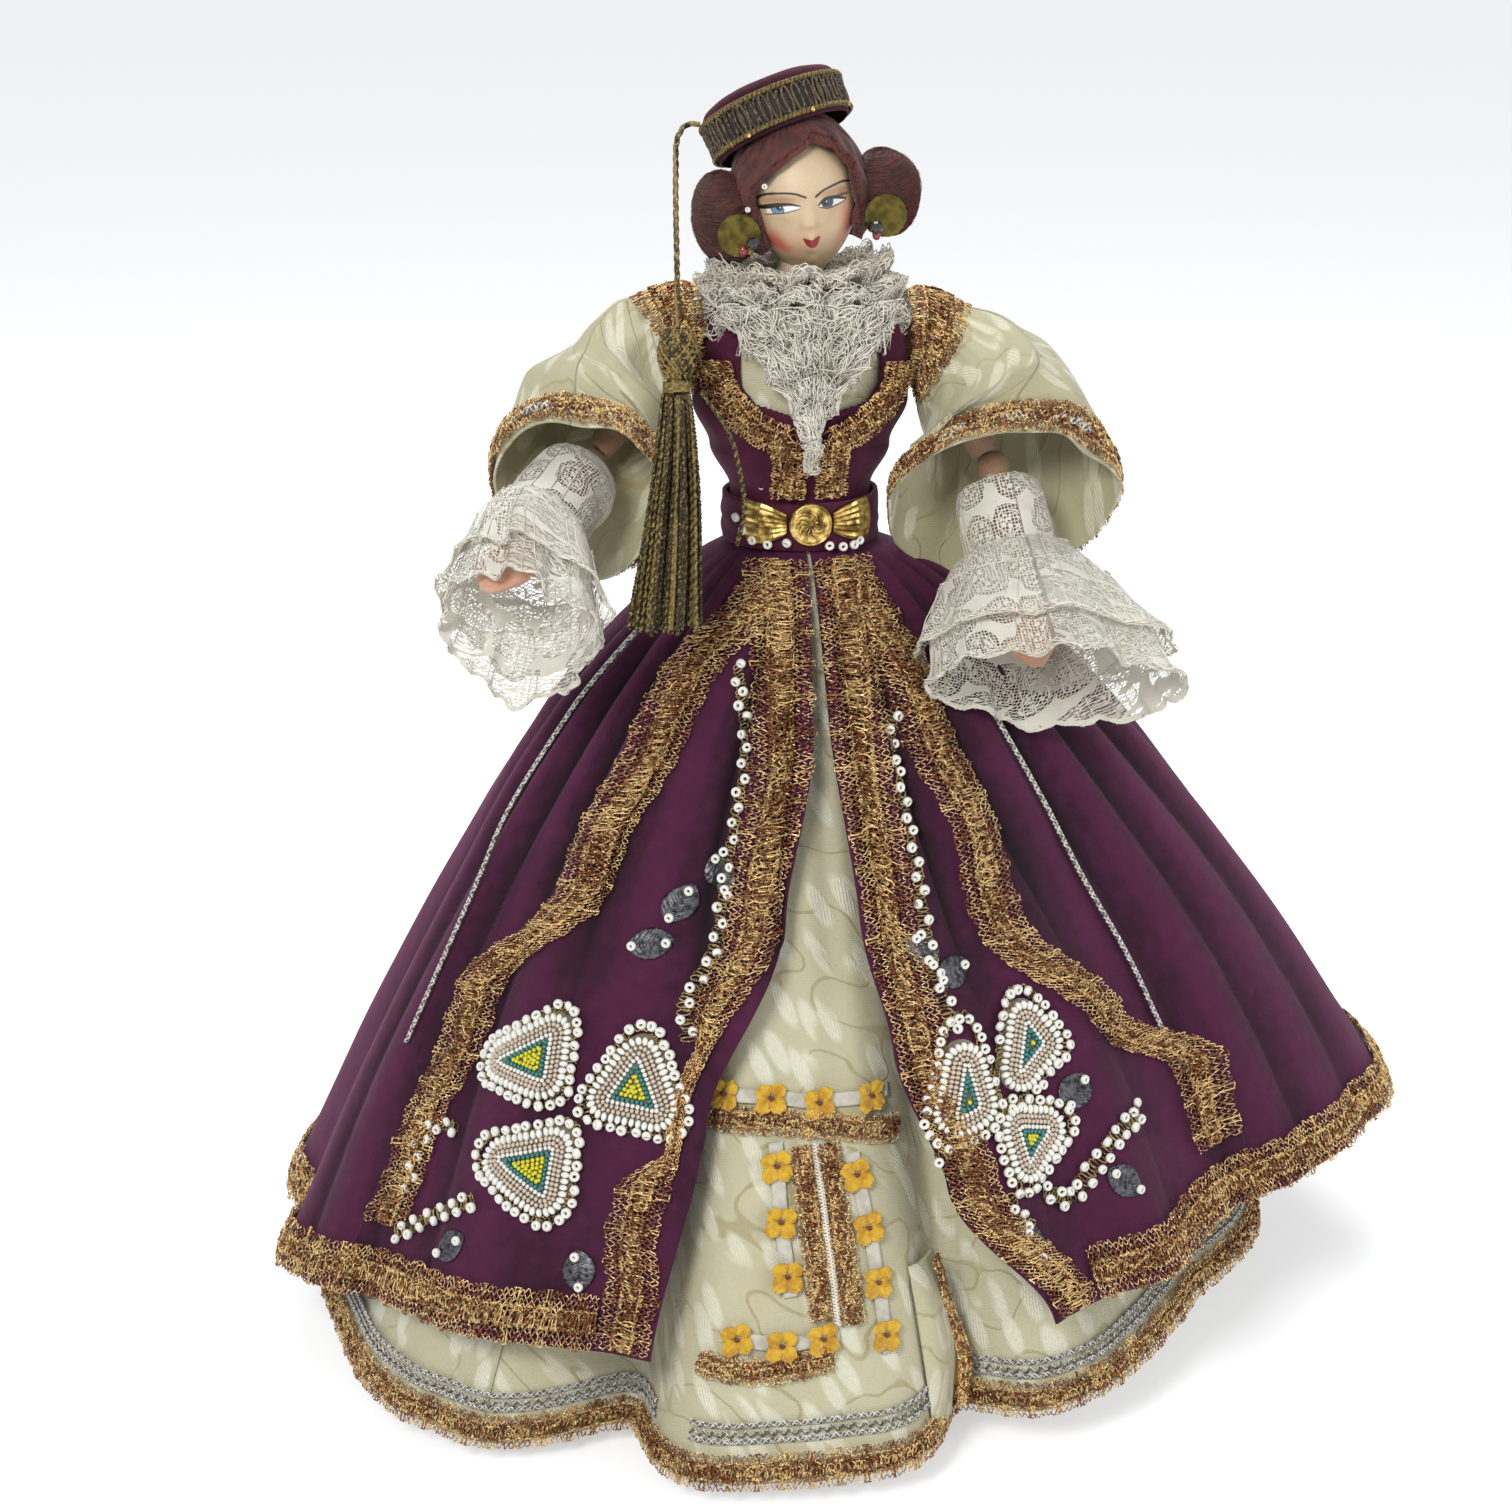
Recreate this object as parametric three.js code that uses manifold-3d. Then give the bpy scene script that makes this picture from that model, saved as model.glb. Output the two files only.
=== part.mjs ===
// A costume doll about 400 mm tall: a painted composition head, a stuffed body on a card cone, jointed arms,
// and a velvet court dress with metal lace over a brocade underskirt.
// Millimetres, +Z up. The doll faces -Y, so its right hand is on -X. The origin is on the floor, in the
// middle of the rim of the cone that the doll stands on.

import * as THREE from 'three';
import { mergeVertices } from 'three/addons/utils/BufferGeometryUtils.js';
import Module from 'manifold-3d';

const wasm = await Module();
wasm.setup();

// Clearances
const GAP = 0.3; // between pieces that touch
const CLOTH = 1.2; // thickness of velvet, brocade and cotton as solids
const LACE = 0.8; // thickness of a lace band
const CLOTH_GAP = 0.4; // between two layers of cloth

// Waist seam
const waistZ = 263;

// Cone and petticoat
const coneTopZ = waistZ - 13;
const coneBaseRadius = 100;
const coneTopRadius = 15.5;
const coneWall = 1.5;
const petticoatTopZ = coneTopZ - 6;
const petticoatHemZ = 7;
const petticoatFlare = 6; // its hem stands this far out from the foot of the cone
const petticoatHemRadius = coneBaseRadius + petticoatFlare;

// Torso: half widths and half depths of the stuffed body at heights above the waist seam
const flareDrop = 8; // the skirts hang straight for this far below the waist seam, under the belt
const torsoSections = [
  { up: -12.7, a: 17.5, b: 14.5 },
  { up: -3, a: 17.8, b: 15 },
  { up: 9, a: 18.5, b: 15.8 },
  { up: 22, a: 24.5, b: 19.5 },
  { up: 36, a: 30, b: 22 },
  { up: 50, a: 31.5, b: 20.5 },
  { up: 61, a: 31, b: 17 },
  { up: 67.5, a: 25, b: 13.5 },
  { up: 71, a: 14, b: 10.5 },
];
const torsoSides = 20;
const blouseFoot = 24; // above the waist seam
const blouseTop = 69;
const bodiceTop = 68;
const bodiceWall = 1.5;

// Neck and head
const neckRadius = 8;
const neckLength = 16;
const headHalfWidth = 17.2;
// How far the middle of each side roll and of each earring stands outside the head's side
const rollStandOut = { right: 6.1, left: 8.4 };
const earringStandOut = { right: 3.7, left: 6 };
const headHalfDepth = 19;
const headHalfHeight = 22.5;
const headRise = 15.5; // from the top of the neck socket to the centre of the head
const headYaw = 0; // degrees towards the doll's left
const headPitch = 15; // degrees down
const headRoll = -9.5; // degrees, the crown towards the doll's right
const hairThickness = 5;
const rollHalfWidth = 10.5;
const rollHalfHeight = 14;
const earringRadius = 6.5;

// Fez: its rim is centred at fezSeat in the head's own frame and it points along fezAxis
const fezSeat = [-1.6, 8.5, 16.6];
const fezAxis = [-0.199, 0.579, 0.791];
const fezRadius = 21;
const fezFlare = 0.5;
const fezHeight = 17.6;
const fezBandHeight = 11.4;
const fezBandThickness = 1.2;

// Tassel: the line of its cord and strands, from the fez down
const cordDiameter = 2.2;
const cordLine = [[-29.4, 7, 382.3], [-33.5, 7.5, 382], [-36.5, 5, 378.5], [-37.8, -1, 369],
  [-39.6, -18.2, 346.5],
  [-40.6, -29.5, 327.6]];
const strandLine = [[-41.6, -32.6, 310.2], [-42.3, -36.5, 304.2], [-43.5, -44, 291.2], [-45.2, -50, 276.2],
  [-46.6, -53, 260], [-48, -54.5, 244]];
const knotRadius = 5.9;
const knotLength = 15;
const knotLobes = 8;
const bindingRadius = 4;
const tasselHemRadius = 12;
const tasselStrands = 14;

// Arms. Places are measured from the shoulder joint; directions point out of the sleeve or the cuff.
const shoulderY = 2;
const shoulderBall = 6.2;
const shoulderPad = 10.4;
const elbowBall = 5.8;
const forearmLength = 44;
const wristRadius = 4.6;
const handLength = 23;
const handHalfWidth = 9.2;
const sleeveHeadRadius = 12.5;
const sleeveFullness = 1; // scales the width of the sleeves beyond the shoulder
const undersleeveRadius = 14.5;
const undersleeveLength = 40;
const cuffThickness = 1;
const arms = {
  right: {
    side: -1,
    shoulder: [-34, shoulderY, 58],
    elbow: [-32, -10, -39],
    forearm: [-0.51, -0.78, -0.36],
    sleeve: [
      [[0, 0, 0], [-1, 0, 0], 12.5, 12.5], [[-9, -1, -6], [-0.85, -0.1, -0.5], 14.5, 14.5],
      [[-19, -5, -14], [-0.7, -0.3, -0.65], 19, 19], [[-28, -12, -24], [-0.55, -0.65, -0.5], 23.5, 23.5],
      [[-33, -19, -37], [-0.4, -0.85, -0.35], 25.5, 25.5],
        [[-36, -24, -46], [-0.35, -0.88, -0.3], 25.5, 25.5],
    ],
    cuffStart: 35, // from the elbow
    cuff: [[-2.6, -12.7, -24.2], [-0.35, -0.85, -0.4], 23.5, 25],
  },
  left: {
    side: 1,
    shoulder: [36, shoulderY, 54],
    elbow: [24, -6, -41],
    forearm: [0.1, -0.605, -0.79],
    sleeve: [
      [[0, 0, 0], [1, 0, 0], 12.5, 12.5], [[8.5, -1, -7], [0.85, -0.1, -0.5], 15, 15],
      [[17, -4, -14], [0.65, -0.3, -0.7], 20, 20], [[23, -10, -26], [0.45, -0.6, -0.65], 26.5, 25],
      [[25, -14, -38], [0.15, -0.82, -0.5], 31, 27], [[25, -18, -50], [0.02, -0.88, -0.4], 33, 27],
    ],
    cuffStart: 30,
    cuff: [[4.7, -33.5, -18.5], [-0.15, -0.7, -0.7], 38, 24],
  },
};

// Skirts: hem radius and hem height at every 45 degrees, starting at the front and going to the doll's left
const underHemReach = [46, 37, 52, 50, 50, 50, 55, 57]; // beyond the foot of the cone
const underHemRadius = underHemReach.map((reach) => coneBaseRadius + reach);
const underHemZ = [8, 20, 30, 16, 6, 5, 8, 6];
const overHemReach = [47, 45, 97, 82, 70, 60, 68, 52];
const overHemRadius = overHemReach.map((reach) => coneBaseRadius + reach);
const overHemZ = [45, 50, 62, 48, 36, 32, 28, 42];
const flarePower = 0.82; // a skirt's radius grows with this power of the drop below the waist
const sideFullness = 0.14; // how much less that power is at the two sides
const laceWidth = 18;
const hemLaceWidth = 19;

// Belt and buckle
const beltWidth = 15;
const beltThickness = 2;
const buckleRise = 1.5; // above the middle of the belt
const buckleDiscRadius = 6.6;
const buckleDiscThickness = 1.8;
const buckleShellLength = 12.5;
const buckleShellHeight = 13.5;

// Materials
const paint = (color, roughness, metalness = 0) => new THREE.MeshStandardMaterial({ color, roughness,
  metalness });
const finish = {
  card: paint(0xb89f78, 0.9),
  cotton: paint(0xe8e2d4, 0.95),
  body: paint(0xe0c3a4, 0.9),
  velvet: paint(0x4e1c43, 0.85),
  brocade: paint(0xd6cfaf, 0.6),
  goldLace: paint(0xb88746, 0.4, 0.8),
  whiteLace: paint(0xe6e0d2, 0.9),
  face: paint(0xd9bd97, 0.45),
  hair: paint(0x3f1d1a, 0.8),
  fezVelvet: paint(0x401629, 0.85),
  fezBraid: paint(0x3b3028, 0.6, 0.3),
  tassel: paint(0x6f5f2d, 0.5, 0.5),
  brass: paint(0xb8913c, 0.35, 0.9),
  glass: paint(0x1e1e1e, 0.2),
  felt: paint(0xd8a886, 0.95),
  beads: paint(0xe9ebe6, 0.3),
};

const doll = new THREE.Group();
const deg = THREE.MathUtils.radToDeg;
const rad = THREE.MathUtils.degToRad;
const vec = (x, y, z) => new THREE.Vector3(x, y, z);

// Geometry helpers

// A closed body from points and triangles, with its faces turned outwards.
function bodyFrom(points, faces) {
  let volume = 0;
  for (let i = 0; i < faces.length; i += 3) {
    const [a, b, c] = [points[faces[i]], points[faces[i + 1]], points[faces[i + 2]]];
    volume += a.dot(vec().crossVectors(b, c));
  }
  if (volume < 0) faces.reverse();
  const geometry = new THREE.BufferGeometry().setFromPoints(points);
  geometry.setIndex(faces);
  return geometry;
}

// A body lofted through rings of points with a flat fan at each end, or joined end to start as a loop.
function loft(rings, loop = false) {
  const sides = rings[0].length;
  const points = rings.flat();
  const faces = [];
  const last = loop ? rings.length : rings.length - 1;
  for (let k = 0; k < last; k++) {
    const [low, high] = [k * sides, ((k + 1) % rings.length) * sides];
    for (let i = 0; i < sides; i++) {
      const j = (i + 1) % sides;
      faces.push(low + i, low + j, high + j, low + i, high + j, high + i);
    }
  }
  if (!loop) {
    for (const [k, flip] of [[0, true], [rings.length - 1, false]]) {
      const centre = rings[k].reduce((sum, p) => sum.add(p), vec(0, 0, 0)).divideScalar(sides);
      const hub = points.push(centre) - 1;
      for (let i = 0; i < sides; i++) {
        const j = (i + 1) % sides;
        faces.push(...(flip ? [k * sides + j, k * sides + i, hub] : [k * sides + i, k * sides + j, hub]));
      }
    }
  }
  return bodyFrom(points, faces);
}

// A sheet between two grids of points, outer[row][column] and inner[row][column], made of the cells that
// are kept and closed round their border.
function slab(outer, inner, keep = () => true) {
  const [rows, columns] = [outer.length - 1, outer[0].length - 1];
  const kept = (r, c) => r >= 0 && c >= 0 && r < rows && c < columns && keep(r, c);
  const points = [];
  const used = new Map();
  const at = (r, c, side) => {
    const key = `${r} ${c} ${side}`;
    if (!used.has(key)) used.set(key, points.push((side ? inner : outer)[r][c]) - 1);
    return used.get(key);
  };
  const faces = [];
  const wall = (a, b) => {
    faces.push(at(...a, 0), at(...b, 1), at(...b, 0), at(...a, 0), at(...a, 1), at(...b, 1));
  };
  for (let r = 0; r < rows; r++) {
    for (let c = 0; c < columns; c++) {
      if (!kept(r, c)) continue;
      const corners = [[r, c], [r, c + 1], [r + 1, c + 1], [r + 1, c]];
      for (const [i, j, k] of [[0, 1, 2], [0, 2, 3]]) {
        faces.push(...[i, j, k].map((n) => at(...corners[n], 0)));
        faces.push(...[k, j, i].map((n) => at(...corners[n], 1)));
      }
      const beside = [[r - 1, c], [r, c + 1], [r + 1, c], [r, c - 1]];
      beside.forEach((cell, i) => {
        if (!kept(...cell)) wall(corners[i], corners[(i + 1) % 4]);
      });
    }
  }
  return bodyFrom(points, faces);
}

// A ring of points round a centre, in the plane of two directions, whose radius is given by the angle.
function ringAt(centre, across, forward, sides, radiusAt) {
  return Array.from({ length: sides }, (_, i) => {
    const angle = (2 * Math.PI * i) / sides;
    const [a, b] = [].concat(radiusAt(angle));
    return centre.clone().addScaledVector(across, a * Math.sin(angle))
      .addScaledVector(forward, (b ?? a) * Math.cos(angle));
  });
}

// A level ellipse at height z; angle 0 is at the front and angles grow towards the doll's left.
function levelRing(z, a, b, sides, ripple = () => 0, y = 0) {
  return ringAt(vec(0, y, z), vec(1, 0, 0), vec(0, -1, 0), sides,
    (angle) => [a + ripple(angle), b + ripple(angle)]);
}

// Solids for joining and cutting
function solid(geometry, matrix = new THREE.Matrix4()) {
  const bare = geometry.clone();
  for (const name of ['normal', 'uv']) bare.deleteAttribute(name);
  bare.applyMatrix4(matrix);
  const merged = mergeVertices(bare, 1e-4);
  return new wasm.Manifold(new wasm.Mesh({
    numProp: 3,
    vertProperties: merged.attributes.position.array,
    triVerts: new Uint32Array(merged.index.array),
  }));
}

function geometryOf(manifold) {
  const mesh = manifold.getMesh();
  const geometry = new THREE.BufferGeometry();
  geometry.setAttribute('position', new THREE.BufferAttribute(new Float32Array(mesh.vertProperties), 3));
  geometry.setIndex(new THREE.BufferAttribute(new Uint32Array(mesh.triVerts), 1));
  return geometry;
}

const ball = (radius, centre, detail = 20) =>
  solid(new THREE.SphereGeometry(radius, detail, Math.round(detail * 0.6)),
    new THREE.Matrix4().setPosition(centre));

function cut(geometry, ...tools) {
  return geometryOf(tools.reduce((rest, tool) => rest.subtract(tool), solid(geometry)));
}

function add(parent, name, geometry, material) {
  const mesh = new THREE.Mesh(geometry, material);
  mesh.name = name;
  parent.add(mesh);
  return mesh;
}

// A value given at equal steps round the doll, read at any angle.
function aroundDoll(values, degrees) {
  const curve = new THREE.CatmullRomCurve3(values.map((value, i) => vec(i, value, 0)), true);
  const share = ((degrees % 360) + 360) % 360 / 360;
  return curve.getPoint(share).y;
}

// A value given by [where, value] pairs, read at any place by smooth steps between them.
function along(pairs, where) {
  if (where <= pairs[0][0]) return pairs[0][1];
  for (let i = 1; i < pairs.length; i++) {
    const [[from, start], [to, end]] = [pairs[i - 1], pairs[i]];
    if (where <= to) return THREE.MathUtils.lerp(start, end, THREE.MathUtils.smoothstep(where, from, to));
  }
  return pairs[pairs.length - 1][1];
}

// Cone and petticoat
function coneRadiusAt(z) {
  return THREE.MathUtils.mapLinear(z, 0, coneTopZ, coneBaseRadius, coneTopRadius);
}

function buildStand() {
  const cone = new THREE.LatheGeometry([
    new THREE.Vector2(coneBaseRadius - coneWall, 0),
    new THREE.Vector2(coneBaseRadius, 0),
    new THREE.Vector2(coneTopRadius, coneTopZ),
    new THREE.Vector2(coneTopRadius - coneWall, coneTopZ),
    new THREE.Vector2(coneBaseRadius - coneWall, 0),
  ], 24).rotateX(Math.PI / 2);
  add(doll, 'skirt_cone', cone, finish.card);

  const seat = coneRadiusAt(petticoatTopZ) + GAP;
  const petticoat = new THREE.LatheGeometry([
    new THREE.Vector2(seat, petticoatTopZ),
    new THREE.Vector2(petticoatHemRadius - CLOTH, petticoatHemZ),
    new THREE.Vector2(petticoatHemRadius, petticoatHemZ),
    new THREE.Vector2(seat + CLOTH, petticoatTopZ),
    new THREE.Vector2(seat, petticoatTopZ),
  ], 24).rotateX(Math.PI / 2);
  add(doll, 'petticoat', petticoat, finish.cotton);
}

// Torso layers: every garment on the body is the torso's own section plus an offset
function bodyRing(up, offset, ripple) {
  const pairs = (key) => torsoSections.map((s) => [s.up, s[key]]);
  return levelRing(waistZ + up, along(pairs('a'), up) + offset, along(pairs('b'), up) + offset,
    torsoSides, ripple);
}

function bodyLayer(from, to, inner, outer) {
  const ups = [from, ...torsoSections.map((s) => s.up).filter((up) => up > from + 2 && up < to - 1), to];
  const rings = ups.map((up) => bodyRing(up, outer));
  rings.push(...ups.reverse().map((up) => bodyRing(up, inner)));
  return loft(rings, true);
}

const bodyWidth = (up) => along(torsoSections.map((s) => [s.up, s.a]), up);
const bodyDepth = (up) => along(torsoSections.map((s) => [s.up, s.b]), up);

// A point on the front of the body, for a place across and up it and a height off its surface.
function onBody(x, up, offset) {
  const share = Math.min(Math.abs(x) / (bodyWidth(up) + offset), 0.98);
  return vec(x, -(bodyDepth(up) + offset) * Math.sqrt(1 - share ** 2), waistZ + up);
}

const blouseInner = CLOTH_GAP;
const bodiceInner = blouseInner + CLOTH + CLOTH_GAP;
const bodiceOuter = bodiceInner + bodiceWall;
const shoulderOf = (arm) => vec(...arm.shoulder).add(vec(0, 0, waistZ));
const armholeRadius = sleeveHeadRadius + GAP + LACE + CLOTH_GAP + 0.7;

function buildBody() {
  const top = waistZ + torsoSections[torsoSections.length - 1].up;
  const neckSeat = new THREE.CylinderGeometry(neckRadius + GAP, neckRadius + GAP, neckLength, 20)
    .rotateX(Math.PI / 2).translate(0, 0, top + neckLength / 6);
  const ups = [...torsoSections.map((s) => s.up), blouseFoot, blouseTop].sort((p, q) => p - q);
  let torso = solid(loft(ups.map((up) => bodyRing(up, 0))));
  torso = torso.subtract(solid(neckSeat));
  const armholes = [];
  for (const arm of [arms.right, arms.left]) {
    // A stump reaches across the armhole to the ball of the shoulder joint.
    const pivot = shoulderOf(arm);
    const stumpLength = armholeRadius + 2;
    const stump = new THREE.CylinderGeometry(shoulderBall - 2, shoulderBall - 2, stumpLength, 12)
      .rotateZ(Math.PI / 2).translate(pivot.x - arm.side * (3 + stumpLength / 2), pivot.y, pivot.z);
    armholes.push(ball(armholeRadius, pivot, 12));
    torso = torso.subtract(ball(armholeRadius, pivot, 12)).add(solid(stump))
      .subtract(ball(shoulderBall + GAP, pivot, 16));
  }
  add(doll, 'torso', geometryOf(torso), finish.body);

  const blouse = bodyLayer(blouseFoot, blouseTop, blouseInner, blouseInner + CLOTH);
  add(doll, 'blouse', cut(blouse, ...armholes), finish.brocade);

  const bodice = bodyLayer(0, bodiceTop, bodiceInner, bodiceOuter);
  const neckline = new THREE.Shape([
    [-23, 80], [-21, 44], [-17, 39], [-7, 36], [0, 25], [7, 36], [18, 39], [22, 44], [24, 80],
  ].map(([x, up]) => new THREE.Vector2(x, waistZ + up)));
  const opening = new THREE.ExtrudeGeometry(neckline, { depth: 60,
    bevelEnabled: false }).rotateX(Math.PI / 2);
  add(doll, 'bodice', cut(bodice, ...armholes, solid(opening)), finish.velvet);
}

// Lace sewn along the edges of the bodice: a band down the front and out along the neckline
const necklineWidth = 8.4;
const necklineRoute = [[-1, 9], [-1, 22], [-3, 31], [-12, 36], [-20, 43], [-23, 54], [-22, 63]];

function buildBodiceLace() {
  for (const arm of [arms.right, arms.left]) {
    const path = new THREE.CatmullRomCurve3(necklineRoute.map(([x, up]) => vec(x, up, 0)));
    const steps = 14;
    const rows = (offset) => Array.from({ length: steps + 1 }, (_, i) => {
      const place = path.getPoint(i / steps);
      const heading = path.getTangent(i / steps);
      return [0, 0.5, 1].map((share) => {
        const x = place.x - heading.y * necklineWidth * share - 0.4;
        return onBody(x * -arm.side, place.y + heading.x * necklineWidth * share, offset);
      });
    });
    const seat = bodiceOuter + CLOTH_GAP + 0.5;
    const armhole = ball(armholeRadius + 0.8, shoulderOf(arm), 20);
    const lace = cut(slab(rows(seat + LACE), rows(seat)), armhole);
    add(doll, `neckline_lace_${arm.side < 0 ? 'right' : 'left'}`, lace, finish.goldLace);
  }
}

function buildBelt() {
  const a = Math.max(bodyWidth(beltWidth / 2) + bodiceOuter, overWaist.a);
  const b = Math.max(bodyDepth(beltWidth / 2) + bodiceOuter, overWaist.b);
  const [inner, outer] = [GAP + 0.25, GAP + 0.25 + beltThickness];
  const [low, high] = [waistZ - beltWidth / 2, waistZ + beltWidth / 2];
  const ring = (z, offset) => levelRing(z, a + offset, b + offset, torsoSides);
  const belt = loft([ring(low, inner), ring(low, outer), ring(high, outer), ring(high, inner)], true);
  add(doll, 'belt', belt, finish.velvet);

  const face = -(b + outer + GAP);
  const disc = new THREE.CylinderGeometry(buckleDiscRadius, buckleDiscRadius, buckleDiscThickness, 24)
    .translate(0, face - buckleDiscThickness / 2, waistZ + buckleRise);
  add(doll, 'buckle_disc', disc, finish.brass);

  // Each wing of the buckle is a fan of ribs that widens away from the disc and follows the belt.
  const ribs = 6;
  for (const [side, name] of [[-1, 'right'], [1, 'left']]) {
    const grid = (lift) => Array.from({ length: 4 }, (_, r) => Array.from({ length: ribs * 2 + 1 },
      (_, c) => {
      const out = r / 3;
      const x = side * (buckleDiscRadius + GAP + 0.4 + out * buckleShellLength *
        (1 - 0.12 * ((c / ribs - 1) ** 2)));
      const z = waistZ + buckleRise + (c / ribs - 1) * (buckleShellHeight / 2) *
        (0.45 + 0.55 * Math.sin(out * Math.PI * 0.5));
      const curve = (b + outer) * Math.sqrt(Math.max(0.05, 1 - (x / (a + outer)) ** 2));
      const dome = lift * (0.9 + 0.9 * Math.sin(out * Math.PI * 0.8) + (c % 2) * 0.45);
      return vec(x, -(curve + GAP + 0.15 + dome), z);
    }));
    add(doll, `buckle_shell_${name}`, slab(grid(1), grid(0)), finish.brass);
  }
}

// Skirts. A skirt hangs from an ellipse at the waist to a hem whose radius and height change round the doll.
function skirtRadius(degrees, drop, waist, hemRadius) {
  const angle = rad(degrees);
  const start = 1 / Math.hypot(Math.sin(angle) / waist.a, Math.cos(angle) / waist.b);
  const power = flarePower - sideFullness * Math.sin(angle) ** 2;
  return start + (aroundDoll(hemRadius, degrees) - start) * Math.max(0, drop) ** power;
}

// Folds: where each lies (degrees), how far it stands out (mm at the hem) and its half width (degrees)
const overFolds = [
  [-14, 3, 6], [-30, -3, 5], [-46, 4, 7], [-64, -6, 6], [-79, 5, 7], [-93, -6, 6], [-107, 6, 8],
    [-124, -7, 7],
  [-141, 7, 8], [-159, -8, 7], [-176, 8, 8], [166, -8, 7], [149, 7, 8], [131, -8, 7], [112, 6, 9],
    [74, -5, 9],
  [57, -8, 8], [42, 4, 6], [31, -3, 5], [18, 3, 6],
];
const underFolds = [
  [-33, -34, 8], [15, -23, 6], [-60, 3, 7], [-80, -3, 8], [-100, 3, 8], [-124, -4, 9], [-150, 4, 10],
  [180, -4, 10], [150, 4, 10], [124, -4, 9], [100, 3, 8], [80, -3, 8], [58, -3, 7], [34, 3, 6],
];

function foldHeight(folds, degrees, drop) {
  return folds.reduce((sum, [centre, height, width]) => {
    const away = (((degrees - centre + 540) % 360) - 180) / width;
    return sum + height * Math.exp(-away * away);
  }, 0) * Math.max(0, drop) ** 1.1;
}

const underWaist = { a: torsoSections[1].a + 1 + GAP + CLOTH, b: torsoSections[1].b + 1 + GAP + CLOTH };
const overWaist = { a: underWaist.a + CLOTH_GAP + CLOTH, b: underWaist.b + CLOTH_GAP + CLOTH };
const flareZ = waistZ - flareDrop;

// A point on a skirt: drop 0 is where it starts to flare and 1 is its hem; below 0 it is in the waistband.
function skirtPoint(kind, degrees, drop, offset) {
  const under = kind === 'under';
  const [waist, radii, heights] = under ? [underWaist, underHemRadius, underHemZ] : [overWaist,
    overHemRadius, overHemZ];
  const radius = skirtRadius(degrees, drop, waist, radii)
    + foldHeight(under ? underFolds : overFolds, degrees, drop) + offset;
  const hemZ = aroundDoll(heights, degrees);
  const z = drop < 0 ? flareZ - drop * (flareDrop - GAP) : THREE.MathUtils.lerp(flareZ, hemZ, drop);
  const angle = rad(degrees);
  return vec(radius * Math.sin(angle), -radius * Math.cos(angle), z);
}

const skirtDrops = [-1, 0, 0.12, 0.34, 0.58, 0.78];

// How far down a skirt the hem band starts, for a band of a given width.
function bandStart(kind, degrees, width) {
  const [foot, middle] = [skirtPoint(kind, degrees, 1, 0), skirtPoint(kind, degrees, 0.9, 0)];
  return 1 - (0.1 * width) / foot.distanceTo(middle);
}

const grid = (kind, drops, columns, offset) =>
  drops.map((drop) => columns.map((at) => skirtPoint(kind, at(drop), typeof drop === 'number' ? drop : 0,
    offset)));

function buildUnderskirt() {
  const edges = [[-46, 46, 'front', 17], [46, 180, 'left', 15], [180, 314, 'right', 15]];
  const drops = [...skirtDrops, 0.9, 1];
  for (const [from, to, name, steps] of edges) {
    const columns = Array.from({ length: steps + 1 }, (_, i) =>
      () => THREE.MathUtils.lerp(from + 0.4, to - 0.4, i / steps));
    const sheet = slab(grid('under', drops, columns, 0), grid('under', drops, columns, -CLOTH));
    add(doll, `underskirt_${name}`, sheet, finish.brocade);
  }

  // The trim follows the same columns as the three widths of the underskirt, all the way round.
  const angles = edges.flatMap(([from, to, , steps]) =>
    Array.from({ length: steps + 1 }, (_, i) => THREE.MathUtils.lerp(from + 0.4, to - 0.4, i / steps)));
  const start = 0.945;
  const ring = (drop, offset) => angles.map((degrees) => skirtPoint('under', degrees, drop, offset));
  const [inner, outer] = [CLOTH_GAP + 0.3, CLOTH_GAP + 0.3 + LACE];
  const trim = loft([ring(start, inner), ring(start, outer), ring(0.997, outer), ring(0.997, inner)], true);
  add(doll, 'underskirt_trim', trim, finish.goldLace);
}

// The open front of the velvet skirt, and the outer edge of each front panel, by drop
const openingEdge = {
  right: [[0, -3], [0.2, -5], [0.45, -13], [0.7, -22], [1, -25]],
  left: [[0, 5], [0.3, 5], [0.6, 7.5], [0.8, 12], [1, 23]],
};
const panelEdge = {
  right: [[0, -40], [0.15, -53], [0.4, -55], [0.58, -69], [1, -70]],
  left: [[0, 40], [0.3, 38], [0.5, 37], [0.66, 52], [0.78, 63], [1, 61]],
};

// The room that each front panel and its lace take up, for what is sewn on over them
const panelSpace = {};

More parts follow.
